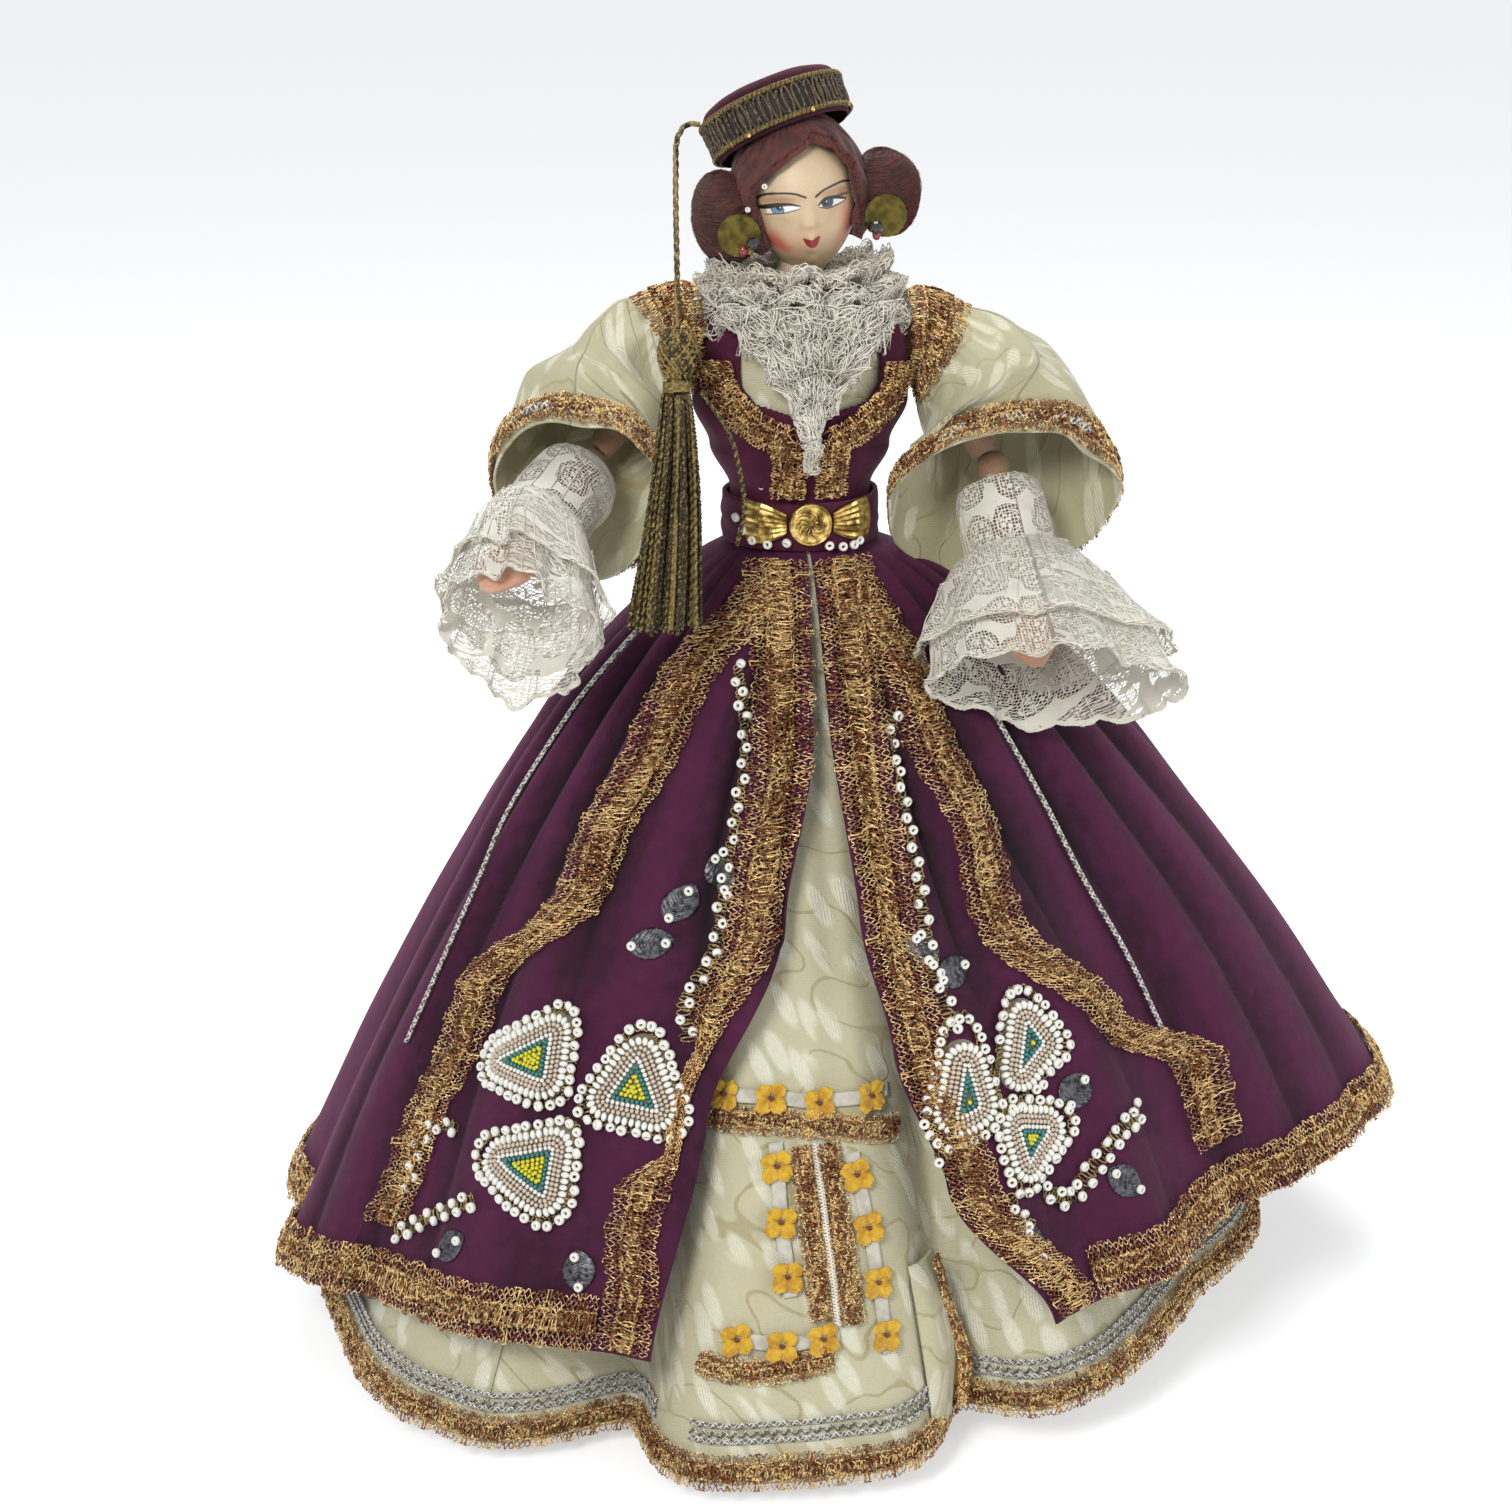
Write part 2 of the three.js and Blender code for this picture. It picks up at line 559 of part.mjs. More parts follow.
function buildVelvetSkirt() {
  const bands = 2;
  const middle = 4;
  for (const [side, name] of [[-1, 'right'], [1, 'left']]) {
    const width = (drop) => {
      const d = Math.max(0, drop);
      const [near, far] = [along(openingEdge[name], d), along(panelEdge[name], d)];
      return skirtPoint('over', near, d, 0).distanceTo(skirtPoint('over', far, d, 0));
    };
    const shares = (drop, extra) => {
      const band = Math.min((laceWidth + extra) / width(drop), 0.4);
      return [0, band / bands, band,
        ...Array.from({ length: middle - 1 }, (_, i) => THREE.MathUtils.lerp(band, 1 - band,
          (i + 1) / middle)),
        1 - band, 1 - band / bands, 1];
    };
    const columnsFor = (extra) => Array.from({ length: middle + 2 * bands + 1 }, (_, i) => (drop) => {
      const d = Math.max(0, drop);
      return THREE.MathUtils.lerp(along(openingEdge[name], d), along(panelEdge[name], d),
        shares(drop, extra)[i]);
    });
    const columns = columnsFor(0);
    const start = bandStart('over', side * 40, hemLaceWidth);
    const drops = [...skirtDrops, start, 1];
    const panel = slab(grid('over', drops, columns, 0), grid('over', drops, columns, -CLOTH));
    add(doll, `skirt_front_${name}`, panel, finish.velvet);

    // One band of lace runs down the opening, along the hem and up the outer edge of the panel.
    const rows = drops.slice(1);
    const onBand = (r, c) => r === rows.length - 2 || c < bands || c >= columns.length - 1 - bands;
    const lace = slab(grid('over', rows, columns, CLOTH_GAP + LACE),
      grid('over', rows, columns, CLOTH_GAP), onBand);
    add(doll, `skirt_lace_${name}`, lace, finish.goldLace);
    const depth = -laceWidth;
    panelSpace[name] = [
      solid(slab(grid('over', drops, columns, CLOTH_GAP), grid('over', drops, columns, depth))),
      solid(slab(grid('over', rows, columnsFor(GAP), CLOTH_GAP + LACE + GAP),
        grid('over', rows, columnsFor(GAP), depth),
        onBand)),
    ];
  }

  // The back width runs from one panel edge round the back to the other.
  const steps = 24;
  const seam = 0.7; // degrees between the panels
  const columns = Array.from({ length: steps + 1 }, (_, i) => (drop) => {
    const d = Math.max(0, drop);
    return THREE.MathUtils.lerp(along(panelEdge.left, d) + seam, 360 + along(panelEdge.right, d) - seam,
      i / steps);
  });
  const start = 0.915;
  const drops = [...skirtDrops, start, 1];
  add(doll, 'skirt_back', slab(grid('over', drops, columns, 0), grid('over', drops, columns, -CLOTH)),
    finish.velvet);
  const lace = slab(grid('over', [start, 1], columns, CLOTH_GAP + LACE),
    grid('over', [start, 1], columns, CLOTH_GAP));
  add(doll, 'skirt_lace_back', lace, finish.goldLace);
}

// Beaded medallions: rounded triangles in stepped rows of beads, sewn to the front panels
// How far the rows of beads stand off the velvet, from the rim to the middle
const medallionRows = [[1, -6], [1, 2.5], [0.93, 3], [0.72, 3.2], [0.5, 3.6], [0.2, 3.9]];
// Each one's place round the doll, drop, turn and radius
const medallions = {
  right: [[-52.5, 0.655, 28, 16.8], [-34.5, 0.665, -65, 16.8], [-46.5, 0.785, 160, 16.8]],
  left: [[18.4, 0.69, 75, 15.6], [31.8, 0.635, -20, 15.6], [29, 0.785, 180, 15.6]],
};

function buildMedallions() {
  const sides = 15;
  for (const side of ['right', 'left']) {
    medallions[side].forEach(([degrees, drop, turn, size], m) => {
      // The plate is laid out flat and then follows the folds of the panel under it.
      const middle = skirtPoint('over', degrees, drop, 0);
      const radius = Math.hypot(middle.x, middle.y);
      const fall = skirtPoint('over', degrees, drop + 0.05, 0).distanceTo(middle) / 0.05;
      const rings = medallionRows.map(([share, lift]) => Array.from({ length: sides }, (_, i) => {
        const angle = (2 * Math.PI * i) / sides;
        const r = size * share * (0.87 + 0.13 * Math.cos(3 * angle));
        const across = r * Math.cos(angle + rad(turn));
        const up = r * Math.sin(angle + rad(turn));
        return skirtPoint('over', degrees + deg(across / radius), drop - up / fall, lift);
      }));
      add(doll, `bead_medallion_${side}_${m + 1}`, cut(loft(rings), ...panelSpace[side]), finish.beads);
    });
  }
}

// Ruff and jabot
function buildLaceFront() {
  const neckZ = waistZ + torsoSections[torsoSections.length - 1].up;
  const sides = 40;
  const wave = (height, phase = 0) => (angle) => height * Math.sin(10 * angle + phase);
  const ruff = loft([
    levelRing(neckZ + 1.2, neckRadius + GAP, neckRadius + GAP, sides),
    levelRing(neckZ + 1.4, 25, 20, sides, wave(1.4)),
    levelRing(neckZ + 5.2, 28.5, 23.5, sides, wave(1.6, 1)),
    levelRing(neckZ + 7, 27, 22.5, sides, wave(1.4, 2)),
    levelRing(neckZ + 4, 18, 16, sides, wave(0.8, 2)),
    levelRing(neckZ + 2.4, neckRadius + GAP, neckRadius + GAP, sides),
  ], true);
  add(doll, 'lace_ruff', ruff, finish.whiteLace);

  const rows = 8;
  const jabotTop = neckZ - waistZ - 1.5;
  const jabotFoot = 20;
  const seat = bodiceOuter + CLOTH_GAP + 0.5 + LACE + CLOTH_GAP;
  const sheet = (lift) => Array.from({ length: rows }, (_, r) => {
    const share = r / (rows - 1);
    const up = THREE.MathUtils.lerp(jabotTop, jabotFoot, share);
    const half = along([[20, 1.5], [29, 6], [40, 14.5], [56, 24], [70, 28]], up);
    return Array.from({ length: 13 }, (_, c) => {
      const s = c / 6 - 1;
      const ripple = lift * (0.9 * Math.cos(c * Math.PI / 1.5 + r) + 2.4);
      const place = onBody(s * half, Math.min(up, 60), seat + 0.6 * Math.abs(s));
      return vec(place.x, place.y - ripple, waistZ + up - 1.5 * Math.abs(Math.sin(3 * s)));
    });
  });
  add(doll, 'lace_jabot', slab(sheet(1), sheet(0)), finish.whiteLace);
}

// Head, hair, fez and earrings, all in the head's own turned frame
function headSurface(across, up, scale = 1) {
  const ring = Math.cos(up);
  const dir = vec(Math.sin(across) * ring, -Math.cos(across) * ring, Math.sin(up));
  const jaw = up < 0 ? 1 - 0.3 * (Math.sin(-up) ** 1.6) : 1;
  const p = vec(dir.x * headHalfWidth * jaw, dir.y * headHalfDepth * (up < 0 ? 1 - 0.1 * Math.sin(-up) : 1),
    dir.z * headHalfHeight).multiplyScalar(scale);
  const bump = (at, height, size, rise) =>
    rise * Math.exp(-((across - at) ** 2) / (size * size) - ((up - height) ** 2) / (size * size * 0.9));
  if (scale === 1) {
    p.y -= bump(0, -0.3, 0.14, 2.6) + bump(0, -0.12, 0.11, 1.2) + bump(0, -0.62, 0.16, 1.1) +
      bump(0, -1.0, 0.24, 1.2);
    for (const eye of [-0.42, 0.42]) p.y += bump(eye, 0.02, 0.2, 0.9);
  }
  return p;
}

function headRings(scale, rows, sides) {
  return Array.from({ length: rows }, (_, k) => {
    const up = THREE.MathUtils.lerp(-1.45, 1.45, k / (rows - 1));
    return Array.from({ length: sides }, (_, i) => headSurface((2 * Math.PI * i) / sides, up, scale));
  });
}

function buildHead() {
  const neckTop = waistZ + torsoSections[torsoSections.length - 1].up + neckLength * 2 / 3;
  const neck = new THREE.CylinderGeometry(neckRadius - 0.5, neckRadius, neckLength - GAP, 20)
    .rotateX(Math.PI / 2).translate(0, 0, neckTop - (neckLength - GAP) / 2);
  add(doll, 'neck', neck, finish.body);

  const head = new THREE.Group();
  head.position.set(0, -2, neckTop + headRise);
  head.rotation.set(rad(headPitch), rad(headRoll), rad(headYaw), 'ZXY');
  doll.add(head);
  head.updateMatrixWorld(true);
  const toHead = head.matrixWorld.clone().invert();

  const socket = solid(new THREE.CylinderGeometry(neckRadius + 0.3, neckRadius + 0.3, neckLength, 20)
    .rotateX(Math.PI / 2).translate(0, 0, neckTop + GAP - neckLength / 2), toHead);
  add(head, 'head', cut(loft(headRings(1, 12, 22)), socket), finish.face);

  // Two rolls of hair over the ears, swept into a swirl
  const grown = (extra) => solid(loft(headRings(1 + extra / headHalfWidth, 9, 16)));
  const rolls = [];
  for (const [name, centre, size] of [['right', [-(headHalfWidth + rollStandOut.right), -2.5, 0], 1],
    ['left', [headHalfWidth + rollStandOut.left, -1.4, -1.5], 0.95]]) {
    const swirl = (extra) => loft(Array.from({ length: 8 }, (_, k) => {
      const up = THREE.MathUtils.lerp(-1.4, 1.4, k / 7);
      const across = Math.cos(up) * (rollHalfWidth * size + extra);
      const middle = vec(...centre).add(vec(0.6 * Math.cos(2 * up), 0,
        Math.sin(up) * (rollHalfHeight * size + extra)));
      return ringAt(middle, vec(1, 0, 0), vec(0, -1, 0), 14,
        (angle) => [across * (1 + 0.05 * Math.cos(3 * angle + 2 * up)),
          across * (1.14 + 0.05 * Math.cos(3 * angle + 2 * up))]);
    }));
    rolls.push(solid(swirl(GAP)));
    add(head, `hair_roll_${name}`, geometryOf(solid(swirl(0)).subtract(grown(0.9 + GAP))), finish.hair);
  }

  // Hair: a shell over the skull, cut away in front round the painted face.
  const face = new THREE.Shape();
  face.moveTo(5, 24.5);
  face.quadraticCurveTo(13, 22, 17, 13);
  face.lineTo(15.5, -50);
  face.lineTo(-15.5, -50);
  face.lineTo(-16, 13);
  face.quadraticCurveTo(-8, 21, 5, 24.5);
  const openFace = new THREE.ExtrudeGeometry(face, { depth: 60, bevelEnabled: false, curveSegments: 6 })
    .rotateX(Math.PI / 2);
  const nape = new THREE.BoxGeometry(80, 80, 40).translate(0, 0, -20 - 11);
  const hair = grown(hairThickness).subtract(grown(0.9)).subtract(solid(openFace)).subtract(solid(nape));
  const cap = rolls.reduce((rest, roll) => rest.subtract(roll), hair);
  add(head, 'hair_cap', geometryOf(cap.decompose().sort((p, q) => q.volume() - p.volume())[0]), finish.hair);

  buildFez(head, grown(hairThickness + GAP));
  buildEarrings(head);
}

function buildFez(head, hairSpace) {
  const hat = new THREE.Group();
  hat.position.set(...fezSeat);
  hat.quaternion.setFromUnitVectors(vec(0, 0, 1), vec(...fezAxis).normalize());
  hat.updateMatrix();
  head.add(hat);
  const sides = 26;
  const wall = (z) => fezRadius + fezFlare * (z / fezBandHeight);
  const ring = (radius, z) => levelRing(z, radius, radius, sides);
  const edge = fezBandHeight + 1.6;
  const crown = loft([ring(wall(0) - 0.6, 0), ring(wall(0.6), 0.6), ring(wall(edge), edge),
    ring(wall(edge) - 1.2, edge + 2), ring(fezRadius * 0.72, fezHeight - 1),
      ring(fezRadius * 0.3, fezHeight)]);
  const inHat = hairSpace.transform(hat.matrix.clone().invert().elements);
  add(hat, 'fez_crown', geometryOf(solid(crown).subtract(inHat)), finish.fezVelvet);

  const [low, high] = [0.8, 0.8 + fezBandHeight];
  const band = loft([
    ring(wall(low) + GAP, low), ring(wall(low) + GAP + fezBandThickness, low),
    ring(wall(high) + GAP + fezBandThickness, high), ring(wall(high) + GAP, high),
  ], true);
  add(hat, 'fez_band', band, finish.fezBraid);
}

// Each earring is a dished disc that lies against the roll of hair, with a black bead in it.
function buildEarrings(head) {
  for (const [side, name, centre] of [[-1, 'right', [-(headHalfWidth + earringStandOut.right), -16, 0]],
    [1, 'left', [headHalfWidth + earringStandOut.left, -15, -2.5]]]) {
    const dish = new THREE.LatheGeometry([
      new THREE.Vector2(0, 0), new THREE.Vector2(earringRadius * 0.6, 0.25),
        new THREE.Vector2(earringRadius, 1),
      new THREE.Vector2(earringRadius, 1.5), new THREE.Vector2(earringRadius * 0.6, 0.8),
        new THREE.Vector2(0, 0.6),
    ], 16).rotateX(Math.PI);
    const disc = add(head, `earring_disc_${name}`, dish, finish.brass);
    disc.position.set(...centre);
    disc.rotation.set(rad(-14), 0, rad(side * 6));
    const black = new THREE.SphereGeometry(2.1, 10, 6);
    const bead = add(head, `earring_bead_${name}`, black, finish.glass);
    bead.position.set(centre[0] - side * 3.4, centre[1] - 4.2, centre[2] - 1.5);
  }
}

// Tassel: a twisted cord, a woven knot, a binding and a skirt of strands
function buildTassel() {
  const line = new THREE.CatmullRomCurve3(cordLine.map((p) => vec(...p)));
  const section = new THREE.Shape(Array.from({ length: 8 }, (_, i) => {
    const angle = (Math.PI * i) / 4;
    return new THREE.Vector2((cordDiameter / 2) * Math.cos(angle), (cordDiameter / 2) * Math.sin(angle));
  }));
  const cord = new THREE.ExtrudeGeometry(section, { extrudePath: line, steps: 14, bevelEnabled: false });
  add(doll, 'tassel_cord', cord, finish.tassel);

  const end = vec(...cordLine[cordLine.length - 1]);
  const hang = vec(...strandLine[0]).sub(end).normalize();
  const { across, rise } = frameOf(hang);
  const turned = (start, stations, lobes, depth) => loft(stations.map(([d, r]) =>
    ringAt(start.clone().addScaledVector(hang, d), across, rise, 2 * knotLobes,
      (angle) => r * (1 + depth * Math.cos(lobes * angle)))));
  const knotStart = end.clone().addScaledVector(hang, GAP);
  const knot = Array.from({ length: 7 }, (_, k) => {
    const share = k / 6;
    return [share * knotLength, knotRadius * (0.42 + 0.58 * Math.sin(Math.PI * (0.12 + 0.8 * share)))];
  });
  add(doll, 'tassel_knot', turned(knotStart, knot, knotLobes, 0.05), finish.tassel);

  const bindStart = knotStart.clone().addScaledVector(hang, knotLength + GAP);
  const bindLength = 3.2;
  const binding = [[0, bindingRadius], [bindLength / 2, bindingRadius * 1.06], [bindLength, bindingRadius]];
  add(doll, 'tassel_binding', turned(bindStart, binding, knotLobes, 0), finish.tassel);

  const skirtStart = bindStart.clone().addScaledVector(hang, bindLength + GAP);
  const fall = new THREE.CatmullRomCurve3([skirtStart, ...strandLine.slice(2).map((p) => vec(...p))]);
  const skirt = loft(Array.from({ length: 7 }, (_, k) => {
    const share = k / 6;
    const radius = THREE.MathUtils.lerp(bindingRadius + 0.4, tasselHemRadius, share ** 0.9);
    const depth = 0.03 + 0.09 * share;
    const centre = fall.getPoint(share);
    if (k === 0) return ringAt(centre, across, rise, 28, () => radius);
    return levelRing(0, 1, 1, 28).map((p, i) => {
      const r = radius * (1 + depth * Math.cos((tasselStrands * 2 * Math.PI * i) / 28));
      return vec(p.x * r, p.y * r, 0).add(centre);
    });
  }));
  add(doll, 'tassel_skirt', skirt, finish.tassel);
}

// Arms
function frameOf(direction) {
  const out = direction.clone().normalize();
  const across = vec(0, 0, 1).cross(out).normalize();
  return { out, across, rise: vec().crossVectors(out, across) };
}

// A limb with its own centre line: stations give the distance along it and the two half widths.
function limb(start, direction, stations, sides = 16) {
  const { out, across, rise } = frameOf(direction);
  return loft(stations.map(([d, a, b]) => ringAt(start.clone().addScaledVector(out, d), across, rise,
    sides, () => [a, b ?? a])));
}

// A ring of the sleeve: where is 0 at the shoulder and 1 at the hem.
const sleeveSides = 24;
const sleeveRows = [0, 0.1, 0.2, 0.42, 0.65, 0.86, 1];

function sleeveRing(arm, where, offset) {
  const last = arm.sleeve.length - 1;
  const step = Math.min(Math.floor(where * last), last - 1);
  const share = where * last - step;
  const [low, high] = [arm.sleeve[step], arm.sleeve[step + 1]];
  const line = new THREE.CatmullRomCurve3(arm.sleeve.map(([centre]) => vec(...centre)));
  const { across, rise } = frameOf(vec(...low[1]).lerp(vec(...high[1]), share));
  const fullness = THREE.MathUtils.lerp(1, sleeveFullness, Math.min(1, where * 3));
  const half = (k) => THREE.MathUtils.lerp(low[k], high[k], share) * fullness + offset;
  const gather = (0.7 * Math.sin(Math.PI * Math.min(1, where * 1.6)) + 0.5 * where)
    * THREE.MathUtils.smoothstep(where, 0.08, 0.4);
  return ringAt(line.getPoint(where).add(shoulderOf(arm)), across, rise, sleeveSides, (angle) => {
    const fold = gather * Math.cos(7 * angle + 3 * where) + 1.2 * gather * Math.cos(3 * angle - 5 * where);
    return [half(2) + fold, half(3) + fold];
  });
}

function shell(rows, ring, thickness) {
  return loft([...rows.map((row) => ring(row, 0)), ...[...rows].reverse().map((row) => ring(row,
    -thickness))], true);
}

function buildArm(name) {
  const arm = arms[name];
  const shoulder = shoulderOf(arm);
  const elbow = shoulder.clone().add(vec(...arm.elbow));
  const forward = vec(...arm.forearm).normalize();
  const upper = elbow.clone().sub(shoulder);
  const reach = upper.length();

  // Upper arm: a ball in the stump's seat, a half round pad that fills the head of the sleeve, and the arm.
  const pad = ball(shoulderPad, shoulder, 12).trimByPlane([arm.side, 0, 0], arm.side * shoulder.x + 1);
  const bone = limb(shoulder, upper, [[-shoulderBall * 0.94, shoulderBall * 0.34],
    [-shoulderBall * 0.6, shoulderBall * 0.8],
    [0, shoulderBall], [8, shoulderBall - 1], [reach - 10, elbowBall - 0.6], [reach, elbowBall - 1.6]]);
  const upperArm = solid(bone).add(pad).subtract(ball(elbowBall + GAP, elbow, 16));
  add(doll, `upper_arm_${name}`, geometryOf(upperArm), finish.body);

  add(doll, `sleeve_${name}`, shell(sleeveRows, (row, t) => sleeveRing(arm, row, t), CLOTH), finish.brocade);
  const hem = sleeveRows.slice(-2);
  const trimSeat = CLOTH_GAP + 0.95 + LACE;
  add(doll, `sleeve_trim_${name}`, shell(hem, (row, t) => sleeveRing(arm, row, trimSeat + t), LACE),
    finish.goldLace);

  // Lace over the armhole seam, over the top of the shoulder and down its front and back
  const over = (ring) => Array.from({ length: 17 }, (_, i) => ring[(sleeveSides + i - 8) % sleeveSides]);
  const seam = (offset) => sleeveRows.slice(0, 3).map((row) => over(sleeveRing(arm, row, offset)));
  add(doll, `shoulder_lace_${name}`, slab(seam(GAP + LACE), seam(GAP)), finish.goldLace);

  const forearm = limb(elbow, forward, [[-elbowBall * 0.94, elbowBall * 0.34],
    [-elbowBall * 0.6, elbowBall * 0.8],
    [0, elbowBall], [4.5, elbowBall - 1.5], [13, elbowBall - 0.4], [forearmLength - GAP, wristRadius]]);
  add(doll, `forearm_${name}`, forearm, finish.body);

  const wrist = elbow.clone().addScaledVector(forward, forearmLength);
  const mitten = [[0, wristRadius, wristRadius * 0.85], [0.16, handHalfWidth * 0.68, 4.4],
    [0.42, handHalfWidth * 0.96, 5],
    [0.7, handHalfWidth, 4.6], [0.9, handHalfWidth * 0.74, 3.6], [1, handHalfWidth * 0.34, 1.8]];
  add(doll, `hand_${name}`, limb(wrist, forward, mitten.map(([d, a, b]) => [d * handLength, a, b]), 16),
    finish.felt);

  const seat = elbowBall - 1.45 + GAP;
  const tube = [[5, seat + CLOTH], [8, undersleeveRadius - 1.3], [13, undersleeveRadius],
    [undersleeveLength, undersleeveRadius]];
  const { across, rise } = frameOf(forward);
  const tubeRing = ([d, r], t) => ringAt(elbow.clone().addScaledVector(forward, d), across, rise, 16,
    () => r + t);
  add(doll, `undersleeve_${name}`, shell(tube, tubeRing, CLOTH), finish.whiteLace);

  // The cuff flares and droops from the undersleeve to its own hem.
  const [hemCentre, hemOut, hemWide, hemHigh] = arm.cuff;
  const from = elbow.clone().addScaledVector(forward, arm.cuffStart);
  const cuffHem = wrist.clone().add(vec(...hemCentre));
  const start = undersleeveRadius + GAP + cuffThickness;
  const cuffRing = (share, t) => {
    const bend = share ** 1.3;
    const centre = from.clone().addScaledVector(forward, 8 * share).lerp(cuffHem, bend);
    const basis = frameOf(forward.clone().lerp(vec(...hemOut).normalize(), share));
    return ringAt(centre, basis.across, basis.rise, 24, (angle) => {
      const wave = 1.5 * share * Math.sin(6 * angle) + share * Math.sin(4 * angle + 1);
      return [hemWide, hemHigh].map((half) => THREE.MathUtils.lerp(start, half, share ** 0.7) + wave + t);
    });
  };
  add(doll, `cuff_ruffle_${name}`, shell([0, 0.15, 0.42, 0.72, 1], cuffRing, cuffThickness),
    finish.whiteLace);
}

buildStand();
buildBody();
buildBodiceLace();
buildBelt();
buildUnderskirt();
buildVelvetSkirt();
buildMedallions();
buildLaceFront();
buildHead();
buildTassel();
buildArm('right');
buildArm('left');

// The part's origin is on the floor, in the middle of the doll's outline.
const outline = new THREE.Box3().setFromObject(doll, true);
const outlineMiddle = outline.getCenter(vec());
doll.position.set(-outlineMiddle.x, -outlineMiddle.y, -outline.min.z);

export default doll;
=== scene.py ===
# %% [markdown]
# # A costume doll in a velvet overskirt
#
# The real object is a souvenir doll about 400 mm tall. She wears a fez with a long tassel, a plum velvet
# bodice and open overskirt edged with gold lace, cream brocade sleeves and underskirt, and white lace cuffs.
# The solids of the doll come in first as a fixed frame. Everything soft is then built over them, in
# millimetres, from the same formulas that shaped the solids, only much finer.

# %% Load the frame
import math
import bpy
import numpy as np
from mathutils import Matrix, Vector


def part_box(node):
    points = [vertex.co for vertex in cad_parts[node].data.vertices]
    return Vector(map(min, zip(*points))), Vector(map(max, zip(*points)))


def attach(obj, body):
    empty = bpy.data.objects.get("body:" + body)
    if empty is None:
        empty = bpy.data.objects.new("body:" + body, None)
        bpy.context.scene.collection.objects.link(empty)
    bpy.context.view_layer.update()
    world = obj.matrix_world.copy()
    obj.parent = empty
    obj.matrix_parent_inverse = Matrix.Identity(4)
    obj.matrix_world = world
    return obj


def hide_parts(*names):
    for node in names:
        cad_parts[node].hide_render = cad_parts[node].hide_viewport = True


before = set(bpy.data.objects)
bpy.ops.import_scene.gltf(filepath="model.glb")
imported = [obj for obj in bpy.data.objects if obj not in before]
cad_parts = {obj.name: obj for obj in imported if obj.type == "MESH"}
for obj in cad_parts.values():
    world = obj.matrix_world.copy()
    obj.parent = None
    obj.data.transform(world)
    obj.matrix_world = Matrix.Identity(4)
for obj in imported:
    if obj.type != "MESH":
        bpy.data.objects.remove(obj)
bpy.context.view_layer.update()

# %% [markdown]
# The doll is modelled round her own upright axis. The neck is a plain cylinder on that axis, so its middle
# says where the axis stands in the frame. Sizes below are in millimetres from there.

# %% Find the doll's axis
MM = 0.001
neck_low, neck_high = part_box("neck")
AXIS = np.array([(neck_low.x + neck_high.x) / 2, (neck_low.y + neck_high.y) / 2, 0.0])
WAIST = 263.0
FLARE = WAIST - 8.0


def in_frame(points):
    """Millimetres round the doll's axis, as metres in the frame."""
    return np.asarray(points, float) * MM + AXIS


print("axis at", AXIS[:2].round(5))

# %% [markdown]
# The photograph looks down at the doll a little, from slightly to her right. The lens is long, as for a
# catalogue picture. The camera is made first.

# %% Camera
VIEW_AZIMUTH = math.radians(-8.0)
VIEW_DROP = math.radians(18.2)
EYE_AWAY, EYE_HEIGHT = 1090, 541
SENSOR = 36
PICTURE = 1512  # pixels across
FOCAL_PIXELS = 3607
SHIFT_PIXELS = -44
camera_data = bpy.data.cameras.new("camera")
camera = bpy.data.objects.new("camera", camera_data)
bpy.context.scene.collection.objects.link(camera)
camera.location = Vector(in_frame([EYE_AWAY * math.sin(VIEW_AZIMUTH), -EYE_AWAY * math.cos(VIEW_AZIMUTH),
                                   EYE_HEIGHT]))
camera.rotation_euler = (math.radians(90) - VIEW_DROP, 0, VIEW_AZIMUTH)
camera_data.sensor_width = SENSOR
camera_data.lens = SENSOR / PICTURE * FOCAL_PIXELS
camera_data.shift_x = SHIFT_PIXELS / PICTURE
bpy.context.scene.camera = camera
print("lens", round(camera_data.lens, 1), "mm")

# %% [markdown]
# Soft studio light: a large lamp in front on her right, a weaker one on her left, one from above, and an
# even pale world. The floor and the world are white to the camera and in reflections only, so the page
# stays white without more light falling on the doll.

# %% Light
def lamp(name, place, target, size, power):
    data = bpy.data.lights.new(name, "AREA")
    data.shape = "DISK"
    data.size = size
    data.energy = power
    light = bpy.data.objects.new(name, data)
    bpy.context.scene.collection.objects.link(light)
    light.location = place
    light.rotation_euler = (Vector(target) - Vector(place)).to_track_quat("-Z", "Y").to_euler()


lamp("key_lamp", (-0.75, -1.25, 1.15), (0, 0, 0.2), 0.55, 15.5)
lamp("fill_lamp", (1.2, -0.9, 0.6), (0, 0, 0.2), 0.9, 5.5)
lamp("top_lamp", (0.1, 0.5, 1.4), (0, 0, 0.2), 0.7, 8.0)
bpy.context.scene.view_settings.view_transform = "Standard"

# %% [markdown]
# Shader sums read best as sums. A Signal wraps one socket of a node tree, and an expression on signals adds
# the Math nodes for it, where | means the greater of two. A Finish is one material: its add method makes
# any other node from its type, its settings and the values or links of its sockets.

# %% A class for shader expressions
class Signal:
    def __init__(self, finish, socket):
        self.finish = finish
        self.socket = socket

    def maths(self, operation, *others):
        return self.finish.add("Math", {"operation": operation}, dict(enumerate((self, *others))))

    def out(self, name):
        """Another output of the same node."""
        return Signal(self.finish, self.socket.node.outputs[name])

    def between(self, low, high):
        """0 at low and below, 1 at high and above, smooth in the middle."""
        settings = {"interpolation_type": "SMOOTHSTEP"}
        return self.finish.add("MapRange", settings, {0: self, 1: low, 2: high, 3: 0.0, 4: 1.0})


def shown_by(operation):
    """A method for a sign of Python, such as +, that adds the Math node of an operation."""
    def method(self, *others):
        return self.maths(operation, *others)
    return method


